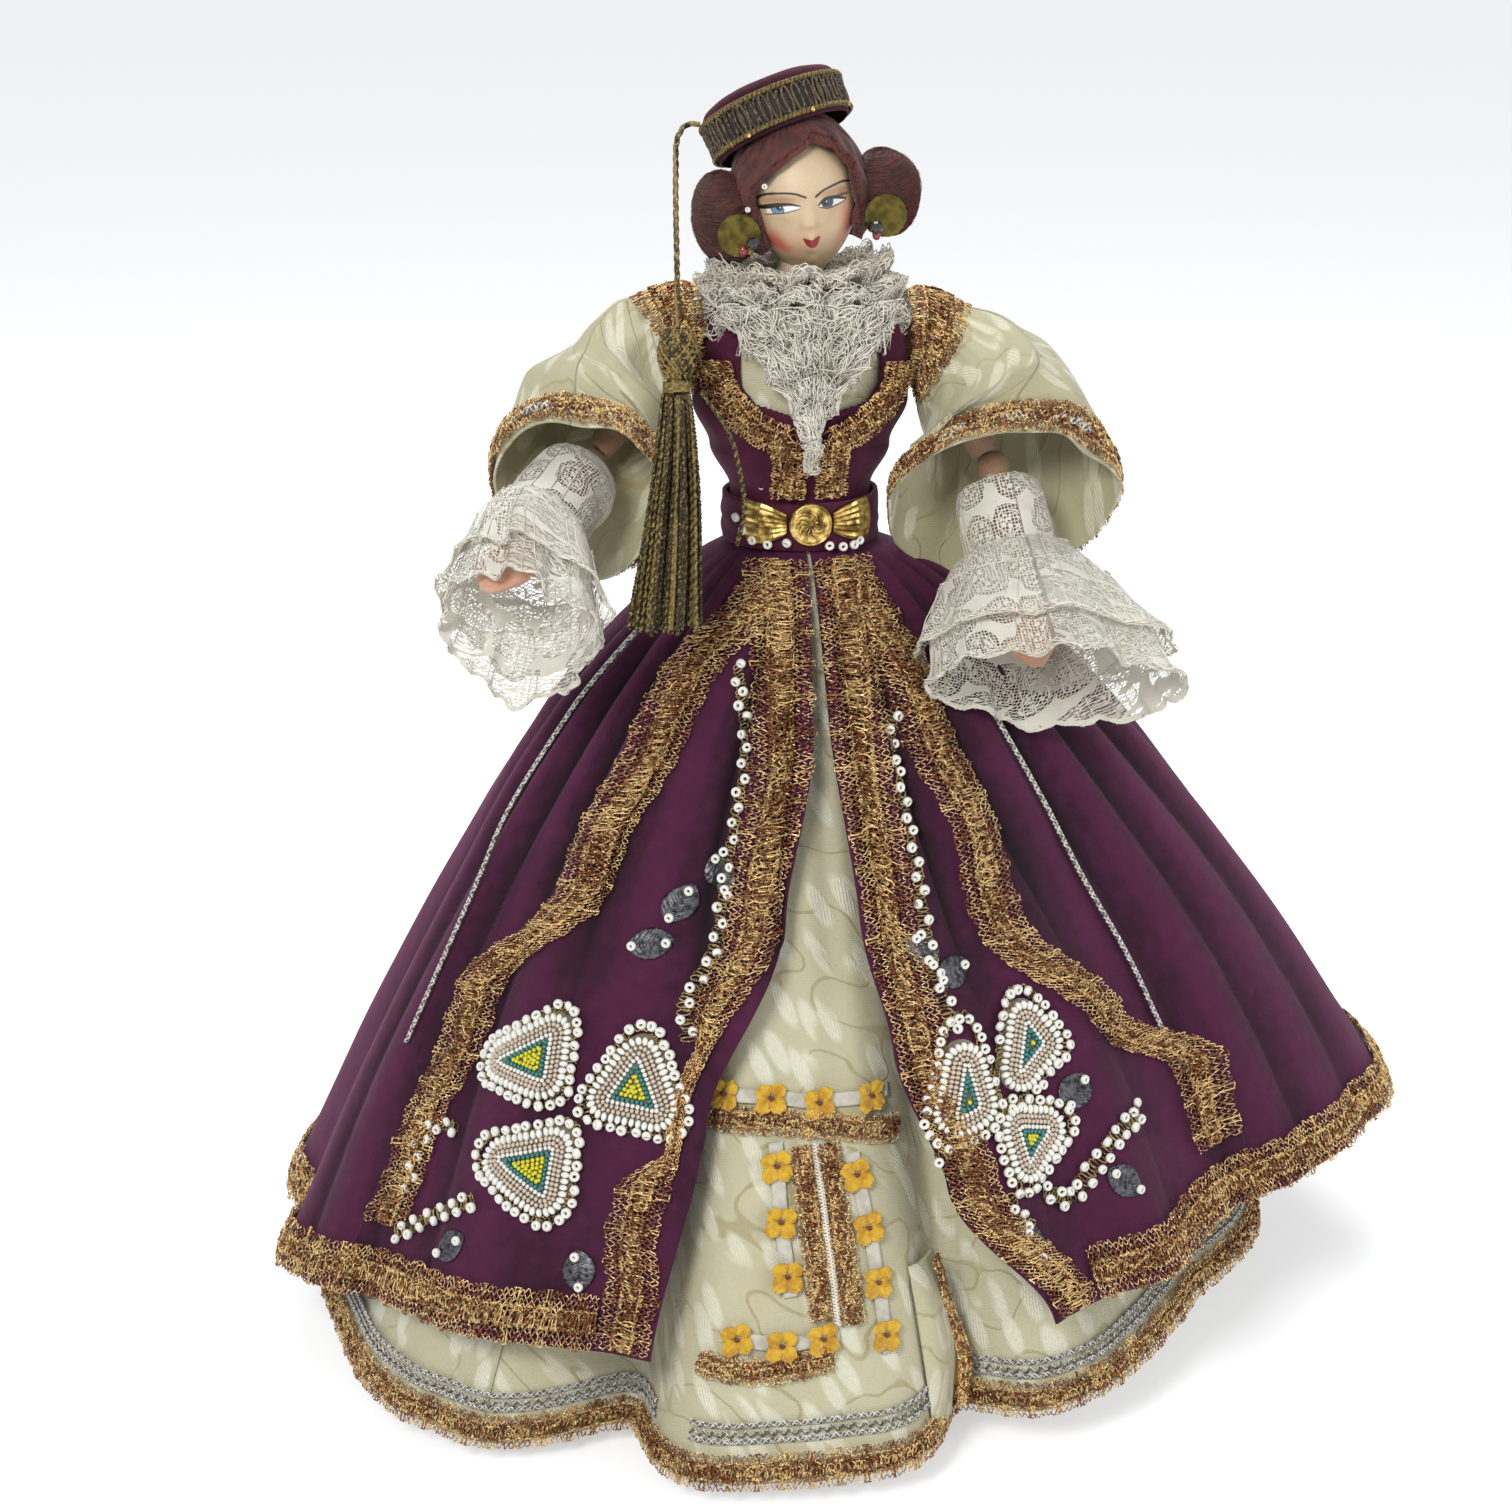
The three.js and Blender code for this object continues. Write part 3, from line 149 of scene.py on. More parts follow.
SIGNS = {"add": "ADD", "radd": "ADD", "sub": "SUBTRACT", "mul": "MULTIPLY", "rmul": "MULTIPLY",
         "truediv": "DIVIDE", "abs": "ABSOLUTE", "lt": "LESS_THAN", "gt": "GREATER_THAN", "or": "MAXIMUM"}
for sign, operation in SIGNS.items():
    setattr(Signal, f"__{sign}__", shown_by(operation))
Signal.__rsub__ = lambda self, other: (self * -1.0) + other


class Finish:
    """One material, or with an owner another data block that has a node tree, such as a world."""

    def __init__(self, name, owner=None):
        self.material = owner or bpy.data.materials.new(name)
        self.material.use_nodes = True
        self.tree = self.material.node_tree
        self.tree.nodes.clear()

    def add(self, kind, settings, inputs, output=0):
        node = self.tree.nodes.new("ShaderNode" + kind)
        for key, value in settings.items():
            setattr(node, key, value)
        for key, value in inputs.items():
            socket = node.inputs[key]
            if isinstance(value, Signal):
                self.tree.links.new(value.socket, socket)
            elif isinstance(value, (tuple, list)) and len(value) == 3 and socket.type == "RGBA":
                socket.default_value = (*value, 1)
            else:
                socket.default_value = value
        return Signal(self, node.outputs[output])

    def mix(self, share, first, second):
        """A colour between two colours."""
        return self.add("Mix", {"data_type": "RGBA"}, {0: share, 6: first, 7: second}, 2)

    def place(self):
        """The point on the piece, in millimetres."""
        point = self.add("TexCoord", {}, {}, "Object")
        return self.add("VectorMath", {"operation": "SCALE"}, {0: point, "Scale": 1000.0})

    def laid(self, part=None):
        """The point on the cloth as it was cut, in millimetres along and across, or one part of it."""
        point = self.add("Attribute", {"attribute_name": "flat"}, {}, "Vector")
        return self.add("SeparateXYZ", {}, {0: point}, part) if part else point

    def noise(self, place, size, detail=2.0, rough=0.5, output="Fac"):
        inputs = {"Vector": place, "Scale": 1 / size, "Detail": detail, "Roughness": rough}
        return self.add("TexNoise", {}, inputs, output)

    def cells(self, place, size, feature="F1", spread=1.0, flat=True):
        settings = {"feature": feature, "voronoi_dimensions": "2D" if flat else "3D"}
        inputs = {"Vector": place, "Scale": 1 / size, "Randomness": spread}
        return self.add("TexVoronoi", settings, inputs, "Distance")

    def wave(self, place, scale, distortion, bands="DIAGONAL"):
        """Soft stripes, for the twist of a thread or the lines of a weave."""
        inputs = {"Vector": place, "Scale": scale, "Distortion": distortion}
        return self.add("TexWave", {"bands_direction": bands}, inputs, "Fac")

    def bump(self, height, depth, strength=1.0):
        """A bump of the given depth in millimetres."""
        return self.add("Bump", {}, {"Height": height, "Distance": depth * MM, "Strength": strength})

    def surface(self, **sockets):
        """Ends the material in a Principled shader. Socket names have underscores for spaces."""
        inputs = {key.replace("_", " "): value for key, value in sockets.items()}
        shader = self.add("BsdfPrincipled", {}, inputs)
        self.add_output(shader)
        return self.material

    def add_output(self, shader, kind="Material"):
        end = self.tree.nodes.new("ShaderNodeOutput" + kind)
        self.tree.links.new(shader.socket, end.inputs["Surface"])


def shade(red, green, blue):
    """A colour as a paint chart gives it, 0 to 255, as the linear light that the shader wants."""
    return tuple((c / 255 / 12.92) if c / 255 <= 0.04045 else ((c / 255 + 0.055) / 1.055) ** 2.4
                 for c in (red, green, blue))


def toned(tone, share):
    """A colour dimmed or brightened by one share, or by a share for each of red, green and blue."""
    return tuple(float(c) for c in np.multiply(tone, share))

# %% World and floor
world = bpy.data.worlds.new("studio")
bpy.context.scene.world = world
studio = Finish("studio", world)


def seen_ray(finish):
    """1 for rays of the camera, in reflections and through glass, and 0 for light that falls on things."""
    ray = finish.add("LightPath", {}, {}, "Is Camera Ray")
    return ray | ray.out("Is Glossy Ray") | ray.out("Is Transmission Ray")


even = studio.add("Background", {}, {"Color": (0.93, 0.96, 1.0), "Strength": 0.42})
white = studio.add("Background", {}, {"Color": (1, 1, 1)})
studio.add_output(studio.add("MixShader", {}, {0: seen_ray(studio), 1: even, 2: white}), "World")

floor_mesh = bpy.data.meshes.new("floor")
floor_mesh.from_pydata([(-9, -9, 0), (9, -9, 0), (9, 9, 0), (-9, 9, 0)], [], [(0, 1, 2, 3)])
floor = bpy.data.objects.new("floor", floor_mesh)
bpy.context.scene.collection.objects.link(floor)
floor.location.z = -0.0006
floor_finish = Finish("studio_floor")
paper = floor_finish.add("BsdfDiffuse", {}, {"Color": (0.9, 0.9, 0.9)})
glow = floor_finish.add("Emission", {}, {"Color": (1, 1, 1), "Strength": 0.5})
lit = floor_finish.add("AddShader", {}, {0: paper, 1: glow})
floor_finish.add_output(floor_finish.add("MixShader", {}, {0: seen_ray(floor_finish), 1: paper, 2: lit}))
floor.data.materials.append(floor_finish.material)
print("studio ready")

# %% [markdown]
# Every piece is one mesh made from arrays of points. A cloth is a grid of points, a thread is a thin tube
# along a path, and beads are copies of one small shape. Each helper works on whole arrays at once, so
# thousands of threads or beads take no longer than a few.

# %% Mesh helpers
def piece(name, points, faces, finish, body, flat=None, paint=None):
    """A new mesh piece that rides on a body. faces is a list of index arrays, each of quads or triangles."""
    mesh = bpy.data.meshes.new(name)
    points = in_frame(points).reshape(-1, 3)
    faces = [np.asarray(f) for f in faces if len(f)]
    corners = np.concatenate([f.ravel() for f in faces])
    counts = np.concatenate([np.full(len(f), f.shape[1]) for f in faces])
    mesh.vertices.add(len(points))
    mesh.vertices.foreach_set("co", points.ravel())
    mesh.loops.add(len(corners))
    mesh.loops.foreach_set("vertex_index", corners)
    mesh.polygons.add(len(counts))
    mesh.polygons.foreach_set("loop_start", np.concatenate([[0], np.cumsum(counts)[:-1]]))
    mesh.polygons.foreach_set("use_smooth", np.ones(len(counts), bool))
    mesh.update(calc_edges=True)
    if flat is not None:
        lay = mesh.attributes.new("flat", "FLOAT_VECTOR", "POINT")
        lay.data.foreach_set("vector", np.asarray(flat, float).reshape(-1, 3).ravel())
    if paint is not None:
        coat = mesh.attributes.new("paint", "FLOAT_COLOR", "POINT")
        coat.data.foreach_set("color", np.asarray(paint, float).reshape(-1, 4).ravel())
    mesh.materials.append(finish)
    made = bpy.data.objects.new(name, mesh)
    bpy.context.scene.collection.objects.link(made)
    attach(made, body)
    return made


def grid_faces(rows, columns, loop=False):
    """Quads of a grid of points, stored row by row. A loop joins the last column to the first."""
    r, c = np.meshgrid(np.arange(rows - 1), np.arange(columns if loop else columns - 1), indexing="ij")
    right = (c + 1) % columns
    return np.stack([r * columns + c, r * columns + right, (r + 1) * columns + right, (r + 1) * columns + c],
                    -1).reshape(-1, 4)


def laid_flat(grid):
    """Millimetres across and along a grid of points, as if laid flat, and the share of its rows."""
    across = np.concatenate([np.zeros_like(grid[:, :1, 0]),
                             np.cumsum(np.linalg.norm(np.diff(grid, axis=1), axis=2), axis=1)], 1)
    down = np.concatenate([np.zeros_like(grid[:1, :, 0]),
                           np.cumsum(np.linalg.norm(np.diff(grid, axis=0), axis=2), axis=0)], 0)
    share = np.broadcast_to(np.linspace(0, 1, grid.shape[0])[:, None], across.shape)
    return np.stack([across, down, share], -1)


def area_of(grid):
    a, b = grid[1:, 1:] - grid[:-1, :-1], grid[1:, :-1] - grid[:-1, 1:]
    return np.linalg.norm(np.cross(a, b), axis=2).sum() / 2


def closed_up(grid):
    """A grid that goes round, with its first column again at the end."""
    return np.concatenate([grid, grid[:, :1]], 1)


def length_along(line):
    """Millimetres from the start of a line to each of its points."""
    return np.concatenate([[0], np.cumsum(np.linalg.norm(np.diff(line, axis=0), axis=1))])


def at_lengths(places, length, values):
    """The rows of values at places between the given lengths."""
    return np.stack([np.interp(places, length, column) for column in values.T], -1)


def round_row(count):
    """Even turns all the way round, as one row."""
    return np.linspace(0, 2 * np.pi, count + 1)[None, :-1]


def thicken(made, thick, offset=-1):
    """Gives a sheet its thickness in millimetres, inwards unless offset says otherwise."""
    skin = made.modifiers.new("thickness", "SOLIDIFY")
    skin.thickness = thick * MM
    skin.offset = offset


def declare(made, grid, held, rests_on, area=None, **more):
    """Prints the size a sheet was cut to, which is measured over its grid."""
    flat = laid_flat(grid)
    width, length = flat[:, -1, 0].max(), flat[-1, :, 1].max()
    area = area or min(area_of(grid), width * length)
    print(f"{made.name}: cut about {width:.0f} by {length:.0f} mm, {area / 100:.0f} square cm")


def capped(grid, first_tip=None, last_tip=None):
    """Points and faces of a tube, closed with a fan round a tip at its first row, its last row or both."""
    rows, columns = grid.shape[:2]
    here = np.arange(columns)
    after = (here + 1) % columns
    last = (rows - 1) * columns
    points, faces = list(grid.reshape(-1, 3)), [grid_faces(rows, columns, True)]
    for tip, edge in ((first_tip, (after, here)), (last_tip, (last + here, last + after))):
        if tip is not None:
            faces.append(np.stack([*edge, np.full(columns, len(points))], -1))
            points.append(tip)
    return np.array(points), faces


def cloth(name, grid, finish, body, thick=0.0, loop=False, flat=None, replaces=(), held=None, rests_on=()):
    """A sheet of cloth from a grid of points. With held, the size it was cut to is printed."""
    rows, columns = grid.shape[:2]
    faces = grid_faces(rows, columns, loop)
    made = piece(name, grid, [faces], finish, body, laid_flat(grid) if flat is None else flat)
    if thick:
        thicken(made, thick)
    if replaces:
        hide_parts(*replaces)
    if held:
        declare(made, closed_up(grid) if loop else grid, held, rests_on)
    return made


def unit(v):
    return v / np.maximum(np.linalg.norm(v, axis=-1, keepdims=True), 1e-9)


def pushed_out(grid, height, ways=(1, 1, 0)):
    """The grid, with each point pushed straight away from the doll's axis by a height of its own."""
    return grid + unit(grid * np.array(ways)) * np.asarray(height)[..., None]


def swollen(tube, centre, height):
    """A tube of points round a centre for each row, with each point pushed away from it."""
    return tube + unit(tube - centre[:, None]) * np.asarray(height)[..., None]


def grid_normals(grid):
    return unit(np.cross(np.gradient(grid, axis=1), np.gradient(grid, axis=0)))


def facing_out(grid, middle=(0, 0, 0), level=True):
    """The grid, with its columns turned round where its outer side would face the middle."""
    away = (grid - np.asarray(middle, float)) * ([1, 1, 0] if level else [1, 1, 1])
    return grid if (grid_normals(grid) * away).sum() > 0 else grid[:, ::-1]


def turned_out(grid):
    """The grid, facing away from its own middle."""
    return facing_out(grid, grid.mean((0, 1)), False)


def on_grid(grid, row, column, lift=0.0):
    """Points on a grid at fractional rows and columns, lifted off it by lift millimetres."""
    rows, columns = grid.shape[:2]
    row = np.clip(row, 0, rows - 1.001)
    column = np.clip(column, 0, columns - 1.001)
    r, c = row.astype(int), column.astype(int)
    fr, fc = (row - r)[..., None], (column - c)[..., None]
    def mixed(g):
        return ((g[r, c] * (1 - fr) + g[r + 1, c] * fr) * (1 - fc)
                + (g[r, c + 1] * (1 - fr) + g[r + 1, c + 1] * fr) * fc)
    return mixed(grid) + unit(mixed(grid_normals(grid))) * np.asarray(lift)[..., None]


def threads(name, paths, radius, finish, body, sides=4, loop=False):
    """Thin tubes along many paths of equal point counts: paths is (threads, points, 3)."""
    paths = np.asarray(paths, float)
    count, length = paths.shape[:2]
    if np.shape(radius) == (count,):
        radius = np.asarray(radius)[:, None]
    heading = unit(np.gradient(paths, axis=1))
    if loop:
        heading = unit(np.roll(paths, -1, 1) - np.roll(paths, 1, 1))
    guide = np.where(np.abs(heading[..., 2:]) > 0.8, [1.0, 0, 0], [0, 0, 1.0])
    side = unit(np.cross(heading, guide))
    up = np.cross(side, heading)
    angle = 2 * np.pi * np.arange(sides) / sides
    radius = np.broadcast_to(np.asarray(radius, float), (count, length))[..., None, None]
    ring = side[:, :, None] * np.cos(angle)[:, None] + up[:, :, None] * np.sin(angle)[:, None]
    points = paths[:, :, None] + ring * radius
    t, k, s = np.meshgrid(np.arange(count), np.arange(length if loop else length - 1), np.arange(sides),
                          indexing="ij")
    def index(k, s):
        return (t * length + k % length) * sides + s % sides
    quads = np.stack([index(k, s), index(k, s + 1), index(k + 1, s + 1), index(k + 1, s)], -1)
    faces = [quads.reshape(-1, 4)]
    if not loop:
        first = np.arange(count)[:, None] * length * sides + np.arange(sides)[::-1]
        last = first[:, ::-1] + (length - 1) * sides
        faces += [first, last]
    along = np.broadcast_to(np.arange(length)[None, :, None] * 1.0, (count, length, sides))
    which = np.broadcast_to(np.arange(count)[:, None, None] * 1.0, (count, length, sides))
    flat = np.stack([which, along, along * 0], -1)
    return piece(name, points, faces, finish, body, flat)


def ball_shape(segments=8, rings=6):
    """Points and faces of a unit ball."""
    up = np.pi * np.arange(1, rings) / rings
    around = 2 * np.pi * np.arange(segments) / segments
    body = np.stack([np.outer(np.sin(up), np.cos(around)), np.outer(np.sin(up), np.sin(around)),
                     np.outer(np.cos(up), np.ones(segments))], -1).reshape(-1, 3)
    points = np.concatenate([body, [[0, 0, 1], [0, 0, -1]]])
    quads = grid_faces(rings - 1, segments, True)[:, ::-1]
    ring = np.arange(segments)
    top = np.stack([np.full(segments, len(body)), ring, (ring + 1) % segments], -1)
    base = (rings - 2) * segments
    bottom = np.stack([np.full(segments, len(body) + 1), base + (ring + 1) % segments, base + ring], -1)
    return points, [quads, top, bottom]


def ring_shape(hole=0.34, segments=12, sides=8):
    """Points and faces of a bead: a fat ring of outer radius 1 whose hole runs along Z."""
    a = 2 * np.pi * np.arange(segments) / segments
    b = 2 * np.pi * np.arange(sides) / sides
    thick = (1 - hole) / 2
    r = hole + thick + thick * np.cos(b)
    points = np.stack([np.outer(np.cos(a), r), np.outer(np.sin(a), r),
                       np.broadcast_to(0.62 * np.sin(b), (segments, sides))], -1).reshape(-1, 3)
    s, k = np.meshgrid(np.arange(segments), np.arange(sides), indexing="ij")
    def index(s, k):
        return (s % segments) * sides + k % sides
    quads = np.stack([index(s, k), index(s + 1, k), index(s + 1, k + 1), index(s, k + 1)], -1).reshape(-1, 4)
    return points, [quads]


def scattered(name, shape, centres, axes, sizes, finish, body, guide=(0, 0, 1)):
    """Copies of a shape. axes gives each copy's own Z, and sizes its scale along X, Y and Z."""
    points, faces = shape
    centres = np.asarray(centres, float).reshape(-1, 3)
    z = unit(np.broadcast_to(np.asarray(axes, float), centres.shape))
    guide = np.broadcast_to(np.asarray(guide, float), centres.shape)
    x = np.cross(guide, z)
    x = unit(np.where(np.linalg.norm(x, axis=1, keepdims=True) < 1e-3, np.cross([1.0, 0.1, 0], z), x))
    y = np.cross(z, x)
    sizes = np.broadcast_to(np.asarray(sizes, float).reshape(-1, 1) if np.ndim(sizes) == 1 else sizes,
                            centres.shape)
    scaled = points[None] * sizes[:, None]
    spread = (scaled[..., :1] * x[:, None] + scaled[..., 1:2] * y[:, None] + scaled[..., 2:] * z[:, None]
              + centres[:, None])
    shift = np.arange(len(centres))[:, None, None] * len(points)
    many = [(f[None] + shift).reshape(-1, f.shape[1]) for f in faces]
    which = np.repeat(np.arange(len(centres)) * 3.17, len(points))
    flat = np.stack([which, which * 0, which * 0], -1)
    return piece(name, spread, many, finish, body, flat)


def lumps(points, size, seed):
    """A soft random height between about -1 and 1 for each point; size is the width of a lump in mm."""
    pick = np.random.default_rng(seed)
    ways = unit(pick.normal(size=(9, 3))) * (2 * np.pi / (size * pick.uniform(1.3, 3.0, (9, 1))))
    return np.sin(points @ ways.T + pick.uniform(0, 2 * np.pi, 9)).sum(-1) / 4


def mixed_step(pairs, x):
    """A value that eases from pair to pair as x grows."""
    knots, values = np.array(pairs, float).T
    i = np.clip(np.searchsorted(knots, x) - 1, 0, len(knots) - 2)
    t = np.clip((x - knots[i]) / (knots[i + 1] - knots[i]), 0, 1)
    return values[i] + (values[i + 1] - values[i]) * t * t * (3 - 2 * t)


def smooth_line(points, count):
    """count points along a smooth line through the given ones, in two or three values a point."""
    p = np.asarray(points, float)
    p = np.concatenate([[2 * p[0] - p[1]], p, [2 * p[-1] - p[-2]]])
    place = np.linspace(0, len(p) - 3, count)
    i = np.minimum(place.astype(int), len(p) - 4)
    t = (place - i)[:, None]
    p0, p1, p2, p3 = p[i], p[i + 1], p[i + 2], p[i + 3]
    d0, d1, d2 = (np.maximum(np.linalg.norm(b - a, axis=1, keepdims=True), 1e-6) ** 0.5
                  for a, b in ((p0, p1), (p1, p2), (p2, p3)))
    m1 = ((p1 - p0) / d0 - (p2 - p0) / (d0 + d1) + (p2 - p1) / d1) * d1
    m2 = ((p2 - p1) / d1 - (p3 - p1) / (d1 + d2) + (p3 - p2) / d2) * d1
    return (p1 + m1 * t + (-3 * p1 + 3 * p2 - 2 * m1 - m2) * t ** 2
            + (2 * p1 - 2 * p2 + m1 + m2) * t ** 3)


print("helpers ready")

# %% [markdown]
# The skirts hang as folded cones. A fold is a soft wave in the radius that grows towards the hem. The hem's
# own radius and height change round the doll, so eight values each, 45 degrees apart from the front
# towards her left, are joined by a smooth curve.

# %% Shape of the skirts
OVER = {
    "hem": (147, 145, 197, 182, 170, 160, 168, 152), "low": (45, 50, 62, 48, 36, 32, 28, 42),
    "waist": (21.9, 19.1),
    "folds": ((-14, 3, 6), (-30, -3, 5), (-46, 4, 7), (-64, -6, 6), (-79, 5, 7), (-93, -6, 6), (-107, 6, 8),
              (-124, -7, 7), (-141, 7, 8), (-159, -8, 7), (-176, 8, 8), (166, -8, 7), (149, 7, 8),
              (131, -8, 7),
              (112, 6, 9), (74, -5, 9), (57, -8, 8), (42, 4, 6), (31, -3, 5), (18, 3, 6)),
}
UNDER = {
    "hem": (146, 137, 152, 150, 150, 150, 155, 157), "low": (8, 20, 30, 16, 6, 5, 8, 6),
    "waist": (20.3, 17.5),
    "folds": ((-33, -34, 8), (15, -23, 6), (-60, 3, 7), (-80, -3, 8), (-100, 3, 8), (-124, -4, 9),
              (-150, 4, 10),
              (180, -4, 10), (150, 4, 10), (124, -4, 9), (100, 3, 8), (80, -3, 8), (58, -3, 7), (34, 3, 6)),
}


def round_doll(values, degrees):
    """A value that goes smoothly through eight given ones round the doll."""
    values = np.array(values, float)
    place = (np.asarray(degrees, float) % 360) / 45
    i = np.floor(place).astype(int)
    w = place - i
    x = [((i + k) % 8).astype(float) for k in (-1, 0, 1, 2)]
    y = [values[(i + k) % 8] for k in (-1, 0, 1, 2)]
    d = [np.maximum((x[k + 1] - x[k]) ** 2 + (y[k + 1] - y[k]) ** 2, 1e-9) ** 0.25 for k in range(3)]
    a = ((y[1] - y[0]) / d[0] - (y[2] - y[0]) / (d[0] + d[1]) + (y[2] - y[1]) / d[1]) * d[1]
    b = ((y[2] - y[1]) / d[1] - (y[3] - y[1]) / (d[1] + d[2]) + (y[3] - y[2]) / d[2]) * d[1]
    return y[1] + a * w + (-3 * y[1] + 3 * y[2] - 2 * a - b) * w ** 2 + (2 * y[1] - 2 * y[2] + a + b) * w ** 3


def skirt(kind, degrees, drop, lift=0.0):
    """Points on a skirt. drop is 0 at the waist seam and 1 at the hem."""
    degrees, drop = np.broadcast_arrays(np.asarray(degrees, float), np.asarray(drop, float))
    turn = np.radians(degrees)
    down = np.maximum(drop, 0)
    start = 1 / np.hypot(np.sin(turn) / kind["waist"][0], np.cos(turn) / kind["waist"][1])
    power = 0.82 - 0.14 * np.sin(turn) ** 2
    fold = sum(h * np.exp(-((((degrees - c + 180) % 360) - 180) / w) ** 2) for c, h, w in kind["folds"])
    radius = start + (round_doll(kind["hem"], degrees) - start) * down ** power + fold * down ** 1.1 + lift
    z = np.where(drop < 0, FLARE - drop * 7.7, FLARE + (round_doll(kind["low"], degrees) - FLARE) * down)
    return np.stack([radius * np.sin(turn), -radius * np.cos(turn), z], -1)


def radius_at(kind, degrees, drop):
    return np.hypot(*np.moveaxis(skirt(kind, degrees, drop), -1, 0)[:2])


def fall_of(kind, degrees):
    """Millimetres from the waist to the hem along the cloth."""
    line = skirt(kind, np.full(60, degrees), np.linspace(0, 1, 60))
    return np.linalg.norm(np.diff(line, axis=0), axis=1).sum()


def gathered(degrees, drop):
    """How high the overskirt's gathers stand, 0 in a valley and 1 on a crest, and how deep they are there."""
    degrees, drop = np.broadcast_arrays(np.asarray(degrees, float), np.asarray(drop, float))
    down, turn = np.clip(drop, 0, 1), np.radians(degrees)
    crest = np.abs(np.sin(turn * 13.5 + 1.1 * np.sin(turn * 5) + 0.7 * np.sin(5 * down + turn))) ** 0.75
    off_front = np.clip((np.abs((degrees + 180) % 360 - 180) - 48) / 18, 0, 1)
    low = np.interp(down, (0, 0.38, 0.6, 1), (1, 1, 0.3, 0.3))
    depth = np.clip(down / 0.2, 0, 1) ** 1.1 * (low + (0.8 - 0.35 * down - low) * off_front * (down > 0.3) *
                                                np.clip((down - 0.3) / 0.15, 0, 1))
    return crest, depth


def velvet_at(degrees, drop, lift=0.0):
    """Points on the overskirt's own cloth, with the gathers that spread from the waist."""
    degrees, drop = np.broadcast_arrays(np.asarray(degrees, float), np.asarray(drop, float))
    shape = skirt(OVER, degrees, drop, 0.6)
    down = np.clip(drop, 0, 1)
    turn = np.radians(degrees)
    fine = np.sin(turn * 38 + 2 * np.sin(turn * 7)) * down * np.exp(-6 * down) * 5
    crest, depth = gathered(degrees, drop)
    height = 0.9 * fine + 5.6 * crest * depth + lumps(shape, 26, 3) * 0.35 * down + lift
    return pushed_out(shape, height)


print("overskirt falls", round(fall_of(OVER, 0)), "mm in front and", round(fall_of(OVER, 180)), "mm behind")

# %% [markdown]
# The velvet has a short pile that looks dark face on and lighter where it turns away. A Principled shader
# gives that with its sheen. The sheen has one value all over, so it is set on the socket, and only the base
# colour, the roughness and the bump change over the cloth.

# %% Velvet finishes
def velvet(name, deep, open_tone, sheen_tint, sheen=0.55, folds=False):
    """Short pile. With folds, painted shade darkens its valleys and painted highlight lightens its crests, as
    far as the cloth's own third coordinate says.
    """
    f = Finish(name)
    point = f.place()
    nap = f.noise(point, 0.42, 3, 0.6)
    brushed = f.noise(point, 17, 3, 0.55)
    worn = f.noise(point, 4.5, 2, 0.5)
    colour = f.mix((brushed * 0.7 + worn * 0.5).between(0.4, 0.95), deep, open_tone)
    colour = f.mix(nap.between(0.35, 0.75) * 0.45, colour, toned(deep, 0.45))
    if folds:
        # Painted shade in the fold valleys and painted highlight on the fold crests.
        crest = f.laid("Z")
        colour = f.mix(crest.between(0.05, 0.85), toned(deep, 0.22), colour)
        colour = f.mix(crest.between(0.8, 1.0) * 0.35, colour, toned(open_tone, 1.5))
    normal = f.bump(nap + brushed * 0.8, 0.35, 0.8)
    return f.surface(Base_Color=colour, Roughness=0.86 - worn * 0.12, Sheen_Weight=sheen,
                     Sheen_Roughness=0.42, Sheen_Tint=(*sheen_tint, 1), Specular_IOR_Level=0.25,
                     Normal=normal)


plum_velvet = velvet("plum_velvet", shade(50, 12, 36), shade(78, 25, 58), shade(205, 138, 178), 0.28, True)
print(plum_velvet.name)

# %% [markdown]
# The overskirt is a wide back panel and two front panels that swing open over the underskirt. The front
# edges aren't straight: they follow these steps, as degrees against the drop from the waist.

# %% Velvet overskirt
OPENING = {"right": ((0, -2.5), (.2, -4), (.45, -11), (.7, -21.5), (1, -25)),
           "left": ((0, 1), (.2, 0.5), (.45, 3.5), (.62, 7), (.8, 12), (1, 23))}
SIDE_SEAM = {"right": ((0, -40), (.15, -53), (.4, -55), (.58, -69), (1, -70)),
             "left": ((0, 40), (.3, 38), (.5, 37), (.66, 52), (.78, 63), (1, 61))}
drops = np.concatenate([[-1, -0.6, -0.2], np.linspace(0, 1, 120)])


def velvet_panel(name, start, end, columns, nodes, rests_on, sink=0.0):
    """A skirt panel between two edges given in degrees at each drop."""
    share = np.linspace(0, 1, columns)
    degrees = start[:, None] + (end - start)[:, None] * share
    shape = velvet_at(degrees, drops[:, None], sink)
    crest, depth = gathered(degrees, drops[:, None])
    flat = laid_flat(shape)
    # The third coordinate holds the fold height, for the velvet's painted shade and painted highlight.
    flat[..., 2] = 1 - (1 - crest) * np.minimum(depth * 1.3, 1)
    out = facing_out(shape)
    if out[0, 0, 0] != shape[0, 0, 0]:
        flat = flat[:, ::-1]
    cloth(name, out, plum_velvet, "body", thick=1.0, flat=flat, replaces=nodes, held="gathered",
                 rests_on=rests_on)


for side, sign in (("right", -1), ("left", 1)):
    near, far = mixed_step(OPENING[side], drops), mixed_step(SIDE_SEAM[side], drops)
    velvet_panel(f"velvet_front_{side}", near, far, 130, [f"skirt_front_{side}"], ["belt", "brocade_front"])
left_seam = mixed_step(SIDE_SEAM["left"], drops) - 3
right_seam = 360 + mixed_step(SIDE_SEAM["right"], drops) + 3
velvet_panel("velvet_back", left_seam, right_seam, 480, ["skirt_back"], ["belt"], -1.5)

# %% [markdown]
# The sleeves and the underskirt are a cream figured silk. Its petals are woven in a long float that shines,
# its stems in gold thread, and its ground in a dull short weave. Two sets of stretched cells give petals
# that lean both ways. All is laid out in millimetres of the flat cloth, so the figure follows every fold.

